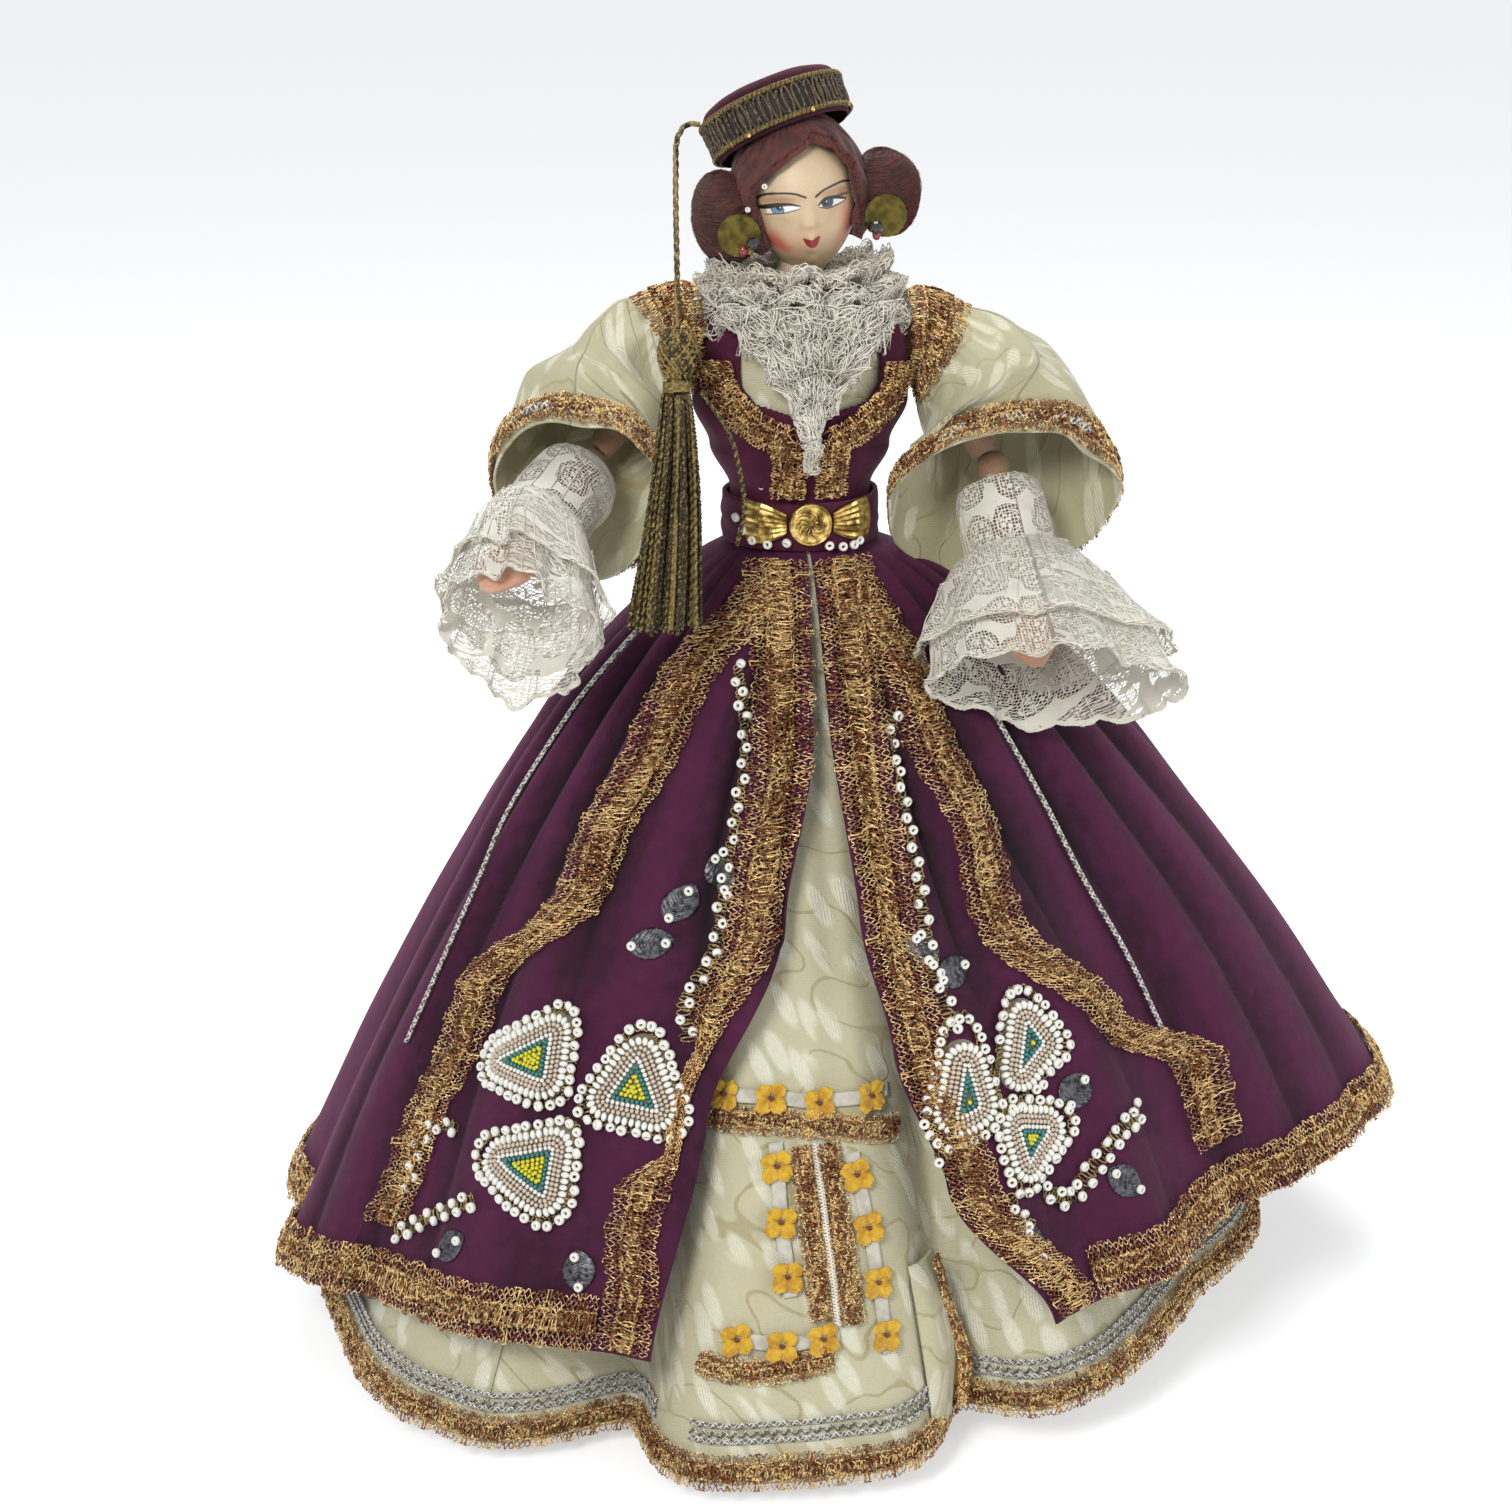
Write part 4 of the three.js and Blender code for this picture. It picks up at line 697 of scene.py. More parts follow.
# %% Cream brocade finish
def brocade(name, ground, float_tone, stem_tone):
    """A figured silk: long petals in two leanings, hatched stems between them, and a dull ground."""
    f = Finish(name)
    flat = f.laid()
    figure = None
    for turn, shift in ((0.6, 0.0), (-0.75, 5.7)):
        turned = f.add("Mapping", {}, {"Vector": flat, "Location": (shift, shift, 0),
                                       "Rotation": (0, 0, turn), "Scale": (1.0, 0.42, 1.0)})
        petal = 1 - f.cells(turned, 10.0, "F1", 0.85).between(0.2, 0.34)
        patch = f.noise(turned, 19, 1, 0.5).between(0.44, 0.5)
        rib = f.wave(turned, 0.4, 1.5, "X")
        petal = petal * patch * (0.65 + rib * 0.35)
        figure = petal if figure is None else figure | petal
    stem = 1 - abs(f.noise(flat, 24, 1.5, 0.4) - 0.5).between(0.005, 0.013)
    hatch = f.wave(flat, 0.75, 1.0)
    stem = stem * (0.35 + hatch * 0.65) * (1 - figure)
    weave = f.wave(flat, 0.55, 0.4, "Y")
    slub = f.noise(flat, 1.1, 3, 0.6)
    soil = f.noise(f.place(), 30, 3, 0.5)
    colour = f.mix(figure, ground, float_tone)
    colour = f.mix(stem * 0.6, colour, stem_tone)
    colour = f.mix(soil.between(0.45, 0.8) * 0.35, colour, toned(ground, (0.86, 0.78, 0.6)))
    colour = f.mix((1 - slub.between(0.3, 0.7)) * 0.18, colour, toned(ground, 0.66))
    normal = f.bump(figure * 1.2 + stem + weave * 0.28 + slub * 0.4, 0.25, 0.9)
    return f.surface(Base_Color=colour, Roughness=0.6 - figure * 0.26 - stem * 0.15, Sheen_Weight=0.25,
                     Sheen_Roughness=0.4, Normal=normal)


STEM = shade(176, 156, 84)
cream_brocade = brocade("cream_brocade", shade(198, 192, 160), shade(230, 227, 204), STEM)
print(cream_brocade.name)

# %% Brocade underskirt
UNDER_WIDTHS = {"front": (-46, 46), "left": (46, 180), "right": (180, 314)}
falls = np.concatenate([[-1, -0.5], np.linspace(0, 1, 110)])


def under_wave(shape, degrees, drop):
    """How far the soft silk stands off its plain cone: gathers at the top, rumples below."""
    down = np.clip(drop, 0, 1)
    gathers = 0.5 + 0.5 * np.sin(np.radians(degrees) * 30 + 2 * np.sin(np.radians(degrees) * 7))
    rumples = (0.6 + 0.6 * lumps(shape, 24, 5)) * 1.3 * down
    return rumples + gathers * 1.3 * np.clip(down / 0.2, 0, 1) * (1 - 0.6 * down)


for width, (start, end) in UNDER_WIDTHS.items():
    degrees = np.linspace(start + 0.06, end - 0.06, 230 if width == "front" else 150)[None]
    shape = skirt(UNDER, degrees, falls[:, None], 0.6)
    shape = pushed_out(shape, under_wave(shape, degrees, falls[:, None]))
    cloth(f"brocade_{width}", facing_out(shape), cream_brocade, "body", thick=0.9,
          replaces=[f"underskirt_{width}"], held="gathered", rests_on=["belt", "petticoat_cotton"])

# %% [markdown]
# Under the brocade is a plain cotton petticoat on a card cone. The cone stiffens the doll and is what she
# stands on. It is a solid of the frame with the right shape, so it only gets a better material.

# %% Petticoat and cone
def plain_cotton(name, tone):
    f = Finish(name)
    flat = f.laid()
    warp = f.wave(flat, 0.62, 0.5, "X")
    weft = f.wave(flat, 0.62, 0.5, "Y")
    soil = f.noise(f.place(), 25, 3, 0.6)
    colour = f.mix(soil.between(0.4, 0.8) * 0.35, tone, toned(tone, (0.86, 0.8, 0.66)))
    return f.surface(Base_Color=colour, Roughness=0.88, Sheen_Weight=0.15,
                     Normal=f.bump(warp * weft, 0.2, 0.7))


def card(name, tone):
    f = Finish(name)
    point = f.place()
    fibre = f.noise(point, 0.8, 4, 0.65)
    stain = f.noise(point, 35, 3, 0.6)
    colour = f.mix(stain.between(0.35, 0.75), tone, toned(tone, 0.72))
    colour = f.mix(fibre.between(0.5, 0.8) * 0.3, colour, toned(tone, 0.6))
    return f.surface(Base_Color=colour, Roughness=0.9 - fibre * 0.15, Normal=f.bump(fibre, 0.15, 0.6))


cotton_finish = plain_cotton("white_cotton", shade(232, 227, 212))
turn = np.linspace(0, 360, 361)[None]
drop = np.linspace(0, 1, 60)[:, None]
foot = 106 + 2.2 * np.sin(np.radians(turn) * 22) + 1.4 * np.sin(np.radians(turn) * 9 + 1)
radius = 17.6 + (foot - 17.6) * drop
shape = np.stack([radius * np.sin(np.radians(turn)), -radius * np.cos(np.radians(turn)),
                  244 - 237 * drop + 0 * turn], -1)[:, :-1]
cloth("petticoat_cotton", facing_out(shape), cotton_finish, "body", thick=0.7, loop=True,
      replaces=["petticoat"], held="gathered", rests_on=["skirt_cone"])


def finish_nodes(material, *names):
    """Solids of the frame that keep their shape get one material."""
    for name in names:
        node = bpy.data.objects[name]
        node.data.materials.clear()
        node.data.materials.append(material)


finish_nodes(card("stand_card", shade(186, 160, 122)), "skirt_cone")
print("card cone finished")

# %% [markdown]
# The gold lace is a stiff metallic lace sewn along the edges of the overskirt. It reads from afar as a dense
# band, and close up as wound threads: an open net along both edges, filled ovals and a rosette between. The
# net under the threads is a strip whose shader cuts holes with its alpha. The threads are real thin tubes,
# so that they catch the light one by one.

# %% Lace finishes
def metal_thread(name, bright, dark, roughness=0.34, metallic=0.45):
    f = Finish(name)
    twist = f.wave(f.place(), 0.9, 1.2)
    wear = f.noise(f.place(), 6, 4, 0.6)
    glint = f.noise(f.place(), 0.9, 2, 0.5)
    number = (f.laid("X") + 0.5).maths("FLOOR")
    own = f.add("TexWhiteNoise", {"noise_dimensions": "1D"}, {"W": number}, "Value")
    # The tone goes from dark to bright partly at random and partly with painted glints; the next line adds
    # painted glints brighter than the bright tone.
    colour = f.mix((wear * 0.15 + glint * 0.5 + own * 0.5).between(0.4, 0.72), dark, bright)
    colour = f.mix(glint.between(0.55, 0.66) * 0.8, colour, tuple(min(1, c * 1.5 + 0.05) for c in bright))
    colour = f.mix(twist * 0.35, colour, toned(dark, 0.45))
    return f.surface(Base_Color=colour, Metallic=metallic, Roughness=roughness + wear * 0.2,
                     Normal=f.bump(twist, 0.12, 0.8))


def net_finish(name, bright, dark):
    """A worked net: knots and bars round open holes, denser in patches, with open borders."""
    f = Finish(name)
    flat = f.laid()
    edge = f.cells(flat, 1.7, "DISTANCE_TO_EDGE", 0.75)
    clump = f.noise(flat, 5.78, 2, 0.5)
    wrapped = f.noise(flat, 0.374, 2, 0.6)
    width = clump * 0.34 + 0.08
    ragged = abs(f.laid("Z") - 0.5) + (clump - 0.5) * 0.22
    thread = (edge < width) * (ragged < 0.2)
    ridge = 1 - (edge / width).between(0.1, 1.0)
    tint = f.noise(f.place(), 9, 3, 0.6)
    # Painted light: each bar is lighter along its middle and darker at its sides, as a lit round thread.
    colour = f.mix(ridge, dark, bright)
    colour = f.mix(tint.between(0.45, 0.75) * 0.5, colour, dark)
    normal = f.bump(ridge + wrapped * 0.3, 0.35, 1.0)
    return f.surface(Base_Color=colour, Metallic=0.2, Roughness=0.42, Alpha=thread, Normal=normal)


GOLD, COPPER = shade(255, 216, 150), shade(146, 86, 52)
gold_thread = metal_thread("gold_thread", GOLD, COPPER, 0.26, 0.6)
# The net's copper-brown is darker than the threads over it, partly as painted shade under them.
gold_net = net_finish("gold_net", shade(156, 106, 64), shade(78, 46, 30))
silver_thread = metal_thread("silver_thread", shade(232, 229, 220), shade(118, 112, 104), 0.34, 0.3)


def white_lace_finish(name, tone, deep, pitch=11.0):
    """Machine lace: woven cloth with windows of fine six-sided net, a flower in each window."""
    f = Finish(name)
    flat = f.laid()
    edge = f.cells(flat, 1.1, "DISTANCE_TO_EDGE", 0.2)
    wobble = f.noise(flat, 5.0, 2, 0.5, "Color")
    bent = f.add("VectorMath", {"operation": "MULTIPLY_ADD"}, {0: wobble, 1: (3.0, 3.0, 0.0), 2: flat})
    window = f.cells(bent, pitch, "F1", 0.75)
    outline = (abs(window - 0.56) < 0.03) | (abs(window - 0.36) < 0.02)
    petals = (f.cells(bent, 1.7, "F1", 0.9) < 0.36) * (window < 0.3)
    cloth_part = window > 0.56
    hem = abs(f.laid("Z") - 0.5) > 0.475
    solid = cloth_part | petals | outline | hem
    thread = (edge < 0.12) | solid
    soil = f.noise(f.place(), 14, 3, 0.6)
    weave = f.wave(flat, 0.8, 1.0)
    colour = f.mix(soil.between(0.4, 0.8) * 0.6, tone, deep)
    colour = f.mix(cloth_part * weave * 0.22, colour, toned(deep, 0.6))
    colour = f.mix(outline * 0.5, colour, tone)
    normal = f.bump(solid * 0.4 + outline + petals + weave * 0.25, 0.22, 0.8)
    return f.surface(Base_Color=colour, Roughness=0.82, Sheen_Weight=0.2, Alpha=thread, Normal=normal)


white_net = white_lace_finish("white_net", shade(230, 226, 212), shade(200, 194, 176))
ruff_net = white_lace_finish("ruff_net", shade(242, 237, 224), shade(196, 188, 168), 6.0)


def cotton_thread(name, tone, deep):
    f = Finish(name)
    ply = f.wave(f.place(), 1.1, 1.0)
    soil = f.noise(f.place(), 12, 3, 0.6)
    colour = f.mix(soil.between(0.35, 0.75), tone, deep)
    return f.surface(Base_Color=f.mix(ply * 0.35, colour, deep), Roughness=0.82, Sheen_Weight=0.3,
                     Normal=f.bump(ply, 0.1, 0.7))


white_cotton = cotton_thread("white_lace_thread", shade(250, 245, 232), shade(222, 214, 194))
print("lace finishes made")

# %% Lace threads worked over a band
CURVE_POINTS = 28
NET_POINTS = 29


def fan(middle, reach, width):
    """A half round scallop, in shares of the repeat along and millimetres across."""
    a = np.linspace(0, np.pi, CURVE_POINTS)
    return np.stack([0.5 + 0.5 * width * np.cos(a), middle + reach * np.sin(a)], -1)


def rosette(middle, radius, petals, repeat):
    """A flower of petals, drawn in one line."""
    a = np.linspace(0, 2 * np.pi, CURVE_POINTS)
    r = radius * (0.62 + 0.38 * np.cos(petals * a))
    return np.stack([0.5 + r * np.cos(a) / repeat, middle + r * np.sin(a)], -1)


def looped(middle, reach, loops, phase=0.0):
    """A line with small loops, as a needle draws them."""
    a = np.linspace(0, 2 * np.pi * loops, CURVE_POINTS)
    return np.stack([a / (2 * np.pi * loops) + 0.55 / loops * np.sin(a + phase) / 1.4,
                     middle + reach * np.cos(a + phase)], -1)


def worked(name, band, repeat, curves, radius, finish, body, lift=0.45, seed=1, wander=0.2):
    """Threads of one motif, repeated along a band whose rows run across it and whose columns run along it."""
    radius = np.broadcast_to(radius, len(curves))
    lay = laid_flat(band)
    middle = lay[band.shape[0] // 2, :, 0]
    breadth = lay[:, band.shape[1] // 2, 1]
    count = max(1, int(round(middle[-1] / repeat)))
    step = middle[-1] / count
    pick = np.random.default_rng(seed)
    lines = []
    for k, curve in enumerate(curves):
        start = np.arange(count)[:, None] * step
        u = start + curve[None, :, 0] * step
        v = curve[None, :, 1] * breadth[-1] + 0 * u
        phase = pick.uniform(0, 6.28, (4, count, 1))
        t = np.linspace(0, 1, curve.shape[0])[None] * 6.28
        u = u + wander * np.sin(2 * t + phase[0])
        v = v + wander * np.sin(3 * t + phase[1])
        h = lift + 0.3 * np.sin(5 * t + phase[2]) + (0.5 if radius[k] > 0.28 else 0.12 * k % 0.3)
        column = np.interp(u, middle, np.arange(len(middle)))
        row = np.interp(v, breadth, np.arange(len(breadth)))
        lines.append(on_grid(band, row, column, h))
    return threads(name, np.concatenate(lines), np.repeat(radius, count), finish, body)


def zigzag(middle, reach, teeth, phase):
    """One thread of a net. Two neighbours with opposite phases close a row of diamond holes."""
    s = np.linspace(0, 1, NET_POINTS)
    scallop = (middle - 0.5) * 0.3 * (np.abs(np.sin(2 * np.pi * s)) - 0.5) * np.abs(middle - 0.5)
    return np.stack([s, middle + scallop + reach * np.cos(2 * np.pi * teeth * s + np.pi * phase)], -1)


def satin(start, end, low, high, lean, rise=0.0):
    """A filled oval: one thread laid to and fro, side by side."""
    s = np.linspace(0, 1, CURVE_POINTS)
    way = np.where(np.arange(CURVE_POINTS) % 2, 1.0, -1.0)
    half = (high - low) / 2 * np.sin(np.pi * np.clip(s, 0.06, 0.94)) ** 0.5
    across = (low + high) / 2 + rise * (s - 0.5) + way * half
    return np.stack([start + (end - start) * s + lean * way, across], -1)


def resampled(curve):
    """The same curve with as many points as a thread of the net has."""
    place = np.linspace(0, len(curve) - 1, NET_POINTS)
    return at_lengths(place, np.arange(len(curve)), curve)


def gold_motif(border_rows, first, spacing, teeth):
    """Curves and thread radii of one repeat: net along both edges, wound ovals and loops in the middle."""
    net = []
    for k in range(border_rows):
        at = first + spacing * k
        net += [zigzag(at, spacing * 0.5, teeth, k), zigzag(1 - at, spacing * 0.5, teeth, k)]
    edge = first + spacing * (border_rows - 0.5)
    middle = [satin(0.02, 0.47, edge + 0.03, 0.56, 0.02, -0.1),
              satin(0.53, 0.98, 0.44, 0.97 - edge, 0.02, 0.1), satin(0.3, 0.62, 0.6, 0.74, -0.02),
              satin(0.36, 0.66, 0.26, 0.39, -0.02), rosette(0.5, 2.0, 6, 10.5), looped(edge, 0.03, 6),
              looped(1 - edge, 0.03, 6), looped(0.5, 0.2, 3), looped(0.5, 0.12, 4, phase=2.0)]
    curves = [resampled(curve) for curve in net + middle]
    return curves, [0.2] * len(net) + [0.3] * 4 + [0.24] * (len(middle) - 4)


WIDE_LACE, NARROW_LACE = gold_motif(4, 0.07, 0.078, 6), gold_motif(2, 0.08, 0.12, 5)


def gold_lace(name, band, repeat=10.5, nodes=(), body="body", seed=1):
    """A band of gold lace: its net, and its threads over it."""
    band = facing_out(band)
    rows = band.shape[0]
    ease = np.sin(np.pi * np.linspace(0, 1, rows))[:, None]
    band = band + grid_normals(band) * (0.45 + 0.5 * lumps(band, 8, seed) + 0.4 * ease)[..., None]
    curves, radii = WIDE_LACE if area_of(band) > 13 * laid_flat(band)[rows // 2, -1, 0] else NARROW_LACE
    over = worked(f"{name}_threads", band, repeat, curves, radii, gold_thread, body, 0.5, seed)
    net = piece(f"{name}_net", band, [grid_faces(rows, band.shape[1])], gold_net, body, laid_flat(band))
    if nodes:
        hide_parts(*nodes)


LACE_STEP = 1.3  # millimetres from one column of a lace band to the next
LACE_ROWS = 13


def inside_edge(edge, sign, drop, distance):
    """Degrees of the places at a distance in millimetres inside an edge of the overskirt."""
    degrees = mixed_step(edge, drop)
    return degrees + sign * np.degrees(distance / np.maximum(radius_at(OVER, degrees, drop), 22))


def edge_band(edge, sign, width, start, end, lift, inset=((0, 0), (1, 0)), wave=0.0):
    """A strip inside an edge of the overskirt: sign says on which side of the edge the strip lies."""
    drop = np.linspace(start, end, int(fall_of(OVER, 0) * (end - start) / LACE_STEP))
    away = mixed_step(inset, drop) + wave * np.sin(drop * 31) * np.clip(drop * 4, 0, 1)
    width = mixed_step(width, drop) if np.ndim(width) else width
    return np.stack([velvet_at(inside_edge(edge, sign, drop, away + width * share), drop, lift)
                     for share in np.linspace(0, 1, LACE_ROWS)])


def hem_falls(kind, start, end, radius):
    """Even directions along a hem of about this radius, and how far the cloth falls at each of them."""
    count = int(abs(end - start) * np.pi / 180 * radius / LACE_STEP)
    degrees = np.linspace(start, end, count)
    known = np.arange(0, count, 8)
    return degrees, np.interp(np.arange(count), known, [fall_of(kind, d) for d in degrees[known]])


def hem_band(start, end, width, lift):
    """A strip along the overskirt's hem between two directions in degrees."""
    degrees, fall = hem_falls(OVER, start, end, 170)
    return np.stack([velvet_at(degrees, 1 - width * s / fall, lift) for s in np.linspace(0, 1, LACE_ROWS)])

# %% Gold lace on the overskirt
LACE_WIDTH = 18.0
# How far the lace stays inside the velvet's edge, in millimetres at each drop.
FRONT_INSET = {"right": ((0, 0), (.42, 0), (.6, 6), (.84, 6), (.93, 0), (1, 0)), "left": ((0, 0), (1, 0))}

# The lace is turned under for a stretch beside the right medallions, so less of its width shows there.
FRONT_WIDTH = {"right": ((0, 18), (.3, 16.5), (.54, 15), (.62, 5), (.74, 4.5), (.79, 17), (1, 18)),
               "left": ((0, 18), (.3, 15.5), (.8, 15), (1, 18))}


def lace_inner(side, drop, beyond):
    """Degrees of the places just past the inner edge of a front lace."""
    return inside_edge(OPENING[side], -1 if side == "right" else 1, drop,
                       mixed_step(FRONT_INSET[side], drop) + mixed_step(FRONT_WIDTH[side], drop) + beyond)


for side, sign in (("right", -1), ("left", 1)):
    opening = edge_band(OPENING[side], sign, FRONT_WIDTH[side], 0.01, 0.995, 0.8, FRONT_INSET[side])
    gold_lace(f"lace_opening_{side}", opening, nodes=[f"skirt_lace_{side}"], seed=11 + sign)
    seam = edge_band(SIDE_SEAM[side], -sign, LACE_WIDTH, 0.03, 0.9, 0.9, wave=1.3)
    gold_lace(f"lace_side_{side}", seam, seed=21 + sign)
    hem = hem_band(OPENING[side][-1][1] + sign * 7, SIDE_SEAM[side][-1][1], LACE_WIDTH, 1.0)
    gold_lace(f"lace_hem_{side}", hem, seed=31 + sign)
gold_lace("lace_hem_back", hem_band(60, 291, LACE_WIDTH, -0.7), nodes=["skirt_lace_back"], seed=41)

# %% [markdown]
# Under the clothes the doll is a stuffed cloth body. Her torso, neck and arms are padded muslin, so each is
# a softened copy of its solid: remeshed, smoothed a little and kept inside the solid's own skin.

# %% Stuffed body
muslin = plain_cotton("body_muslin", shade(222, 200, 172))
# The arms get a darker cotton than the body, as painted shade inside the sleeves.
arm_cotton_shaded = plain_cotton("arm_cotton_shaded", shade(178, 140, 114))


VOXEL = 1.6
SHRINK = 0.25


def stuffed(node, body, finish):
    """A padded copy of a solid, with rounded edges."""
    solid = bpy.data.objects[node]
    copy = bpy.data.objects.new(f"{node}_stuffed", solid.data.copy())
    bpy.context.scene.collection.objects.link(copy)
    bpy.context.view_layer.objects.active = copy
    remesh = copy.modifiers.new("remesh", "REMESH")
    remesh.mode = "VOXEL"
    remesh.voxel_size = VOXEL * MM
    soften = copy.modifiers.new("soften", "SMOOTH")
    soften.factor = 0.5
    soften.iterations = 4
    bpy.context.view_layer.update()
    evaluated = copy.evaluated_get(bpy.context.evaluated_depsgraph_get())
    mesh = bpy.data.meshes.new_from_object(evaluated)
    points = np.empty(len(mesh.vertices) * 3)
    normals = np.empty(len(mesh.vertices) * 3)
    mesh.vertices.foreach_get("co", points)
    mesh.vertices.foreach_get("normal", normals)
    points, normals = points.reshape(-1, 3), normals.reshape(-1, 3)
    points -= normals * (SHRINK + 0.15 * lumps(points / MM, 9, 4)[:, None]) * MM
    mesh.vertices.foreach_set("co", points.ravel())
    mesh.polygons.foreach_set("use_smooth", np.ones(len(mesh.polygons), bool))
    lay = mesh.attributes.new("flat", "FLOAT_VECTOR", "POINT")
    lay.data.foreach_set("vector", (points / MM).ravel())
    mesh.materials.clear()
    mesh.materials.append(finish)
    copy.modifiers.clear()
    copy.data = mesh
    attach(copy, body)
    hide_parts(node)


STUFFED = {"torso": "body", "neck": "body", "upper_arm_right": "arm_right", "upper_arm_left": "arm_left",
           "forearm_right": "forearm_right", "forearm_left": "forearm_left"}
for node, body in STUFFED.items():
    stuffed(node, body, arm_cotton_shaded if "arm" in node else muslin)
print("stuffed body made")

# %% [markdown]
# The bodice is a shell that follows the body a few millimetres off. The body is given by its half width and
# half depth at heights above the waist seam, so any layer on it is that outline plus an offset.

# %% Shape of the body
WAISTLINE = ((-12.7, 17.5, 14.5), (-3, 17.8, 15), (9, 18.5, 15.8), (22, 24.5, 19.5), (36, 30, 22),
             (50, 31.5, 20.5), (61, 31, 17), (67.5, 25, 13.5), (71, 14, 10.5))
SHOULDER = {"right": np.array([-34, 2, 58 + WAIST]), "left": np.array([36, 2, 54 + WAIST])}
ARMHOLE = 14.7


def body_width(up):
    return mixed_step([(u, a) for u, a, _ in WAISTLINE], up)


def body_depth(up):
    return mixed_step([(u, b) for u, _, b in WAISTLINE], up)


def on_body(x, up, off):
    """A point on the front of the body at x across and up above the waist, off its skin."""
    x, up, off = np.broadcast_arrays(np.asarray(x, float), np.asarray(up, float), np.asarray(off, float))
    share = np.minimum(np.abs(x) / (body_width(up) + off), 0.98)
    return np.stack([x, -(body_depth(up) + off) * np.sqrt(1 - share ** 2), WAIST + up], -1)


def shaped_shell(name, low, high, off, finish, keep, thick, node, rows=90, columns=240):
    """A layer round the body, with the faces left out where keep says no."""
    up = np.linspace(low, high, rows)[:, None]
    turn = round_row(columns)
    a, b = body_width(up) + off, body_depth(up) + off
    grid = np.stack([a * np.sin(turn), -b * np.cos(turn), WAIST + up + 0 * turn], -1)
    grid = pushed_out(grid, 0.25 * lumps(grid, 8, 6))
    faces = grid_faces(rows, columns, True)
    middle = grid.reshape(-1, 3)[faces].mean(1)
    faces = faces[keep(middle)]
    used, index = np.unique(faces, return_inverse=True)
    made = piece(name, grid.reshape(-1, 3)[used], [index.reshape(-1, 4)], finish, "body",
                 laid_flat(grid).reshape(-1, 3)[used])
    thicken(made, thick)
    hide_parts(node)
    p, q, r, s = np.moveaxis(grid.reshape(-1, 3)[faces], 1, 0)
    area = np.linalg.norm(np.cross(r - p, s - q), axis=1).sum() / 2
    declare(made, closed_up(grid), "stretched", ["torso_stuffed"], area)


def outside_armholes(points, extra=0.0):
    keep = np.ones(len(points), bool)
    for centre in SHOULDER.values():
        keep &= np.linalg.norm(points - centre, axis=1) > ARMHOLE + extra
    return keep


NECKLINE = ((-23, 80), (-21, 44), (-17, 39), (-7, 36), (0, 25), (7, 36), (18, 39), (22, 44), (24, 80))


def bodice_kept(points):
    x, up, front = points[:, 0], points[:, 2] - WAIST, points[:, 1] < 0
    across, height = np.array(NECKLINE, float)[1:-1].T
    edge = np.interp(x, across, height, left=90, right=90)
    return outside_armholes(points, -1.7) & ~(front & (up > edge))


shaped_shell("blouse_brocade", 24.5, 68.5, 1.4, cream_brocade, lambda p: outside_armholes(p, -1.3), 0.7,
             "blouse")
bodice_velvet = velvet("bodice_velvet", shade(68, 18, 42), shade(96, 32, 62), shade(205, 138, 170), 0.38)
shaped_shell("velvet_bodice", 0.2, 67.5, 3.4, bodice_velvet, bodice_kept, 1.1, "bodice", 130, 360)

# %% Neckline lace
NECK_ROUTE = ((-1, 9), (-1, 22), (-3, 31), (-12, 36), (-20, 43), (-23, 54), (-22, 63))
for side, sign in (("right", 1), ("left", -1)):
    route = smooth_line(NECK_ROUTE, 90)
    heading = unit(np.gradient(route, axis=0))
    rows = []
    for share in np.linspace(0, 1, 7):
        x = (route[:, 0] - heading[:, 1] * 10.2 * share - 0.4) * sign
        up = route[:, 1] + heading[:, 0] * 10.2 * share
        rows.append(on_body(x, up, 4.9))
    band = np.stack(rows)
    keep = np.linalg.norm(band - SHOULDER[side], axis=-1).min(0) > ARMHOLE - 1.0
    gold_lace(f"lace_neckline_{side}", band[:, keep], 6.2, [f"neckline_lace_{side}"], seed=61 + sign)

# %% [markdown]
# The belt is a velvet band with a gilt buckle in front: a disc between two shells. Small white beads are
# sewn round it. The metal parts are solids of the frame, so they keep their shape and get a finish of
# polished brass that is darker in its hollows.

# %% Belt and buckle
BELT_WIDE, BELT_DEEP, BELT_HALF_HIGH = 22, 19.3, 7.3
COIN_UP, RIM_RADIUS = 1.5, 6.15
turn = round_row(240)
up = np.linspace(-BELT_HALF_HIGH, BELT_HALF_HIGH, 16)[:, None]
bulge = 2.25 + 0.35 * np.cos(up / BELT_HALF_HIGH * np.pi / 2)
grid = np.stack([(BELT_WIDE + bulge) * np.sin(turn), -(BELT_DEEP + bulge) * np.cos(turn),
                 WAIST + up + 0 * turn], -1)
grid = pushed_out(grid, 0.3 * lumps(grid * [1, 1, 2.5], 7, 9))
cloth("velvet_belt", facing_out(grid, (0, 0, WAIST)), bodice_velvet, "body", thick=1.4, loop=True,
      replaces=["belt"], held="stretched", rests_on=["velvet_bodice"])


def brass(name, bright, dark, roughness=0.26, depth=0.14):
    f = Finish(name)
    point = f.place()
    leaf = f.cells(point, 2.3, "SMOOTH_F1", 1.0, flat=False)
    fine = f.noise(point, 0.7, 4, 0.65)
    tarnish = f.noise(point, 3.2, 3, 0.6)
    shade_in = (tarnish + leaf * 0.7).between(0.55, 1.05)
    colour = f.mix(shade_in, bright, dark)
    return f.surface(Base_Color=colour, Metallic=1.0, Roughness=roughness + shade_in * 0.3,
                     Normal=f.bump(fine * 0.5 - leaf, depth, 0.9))


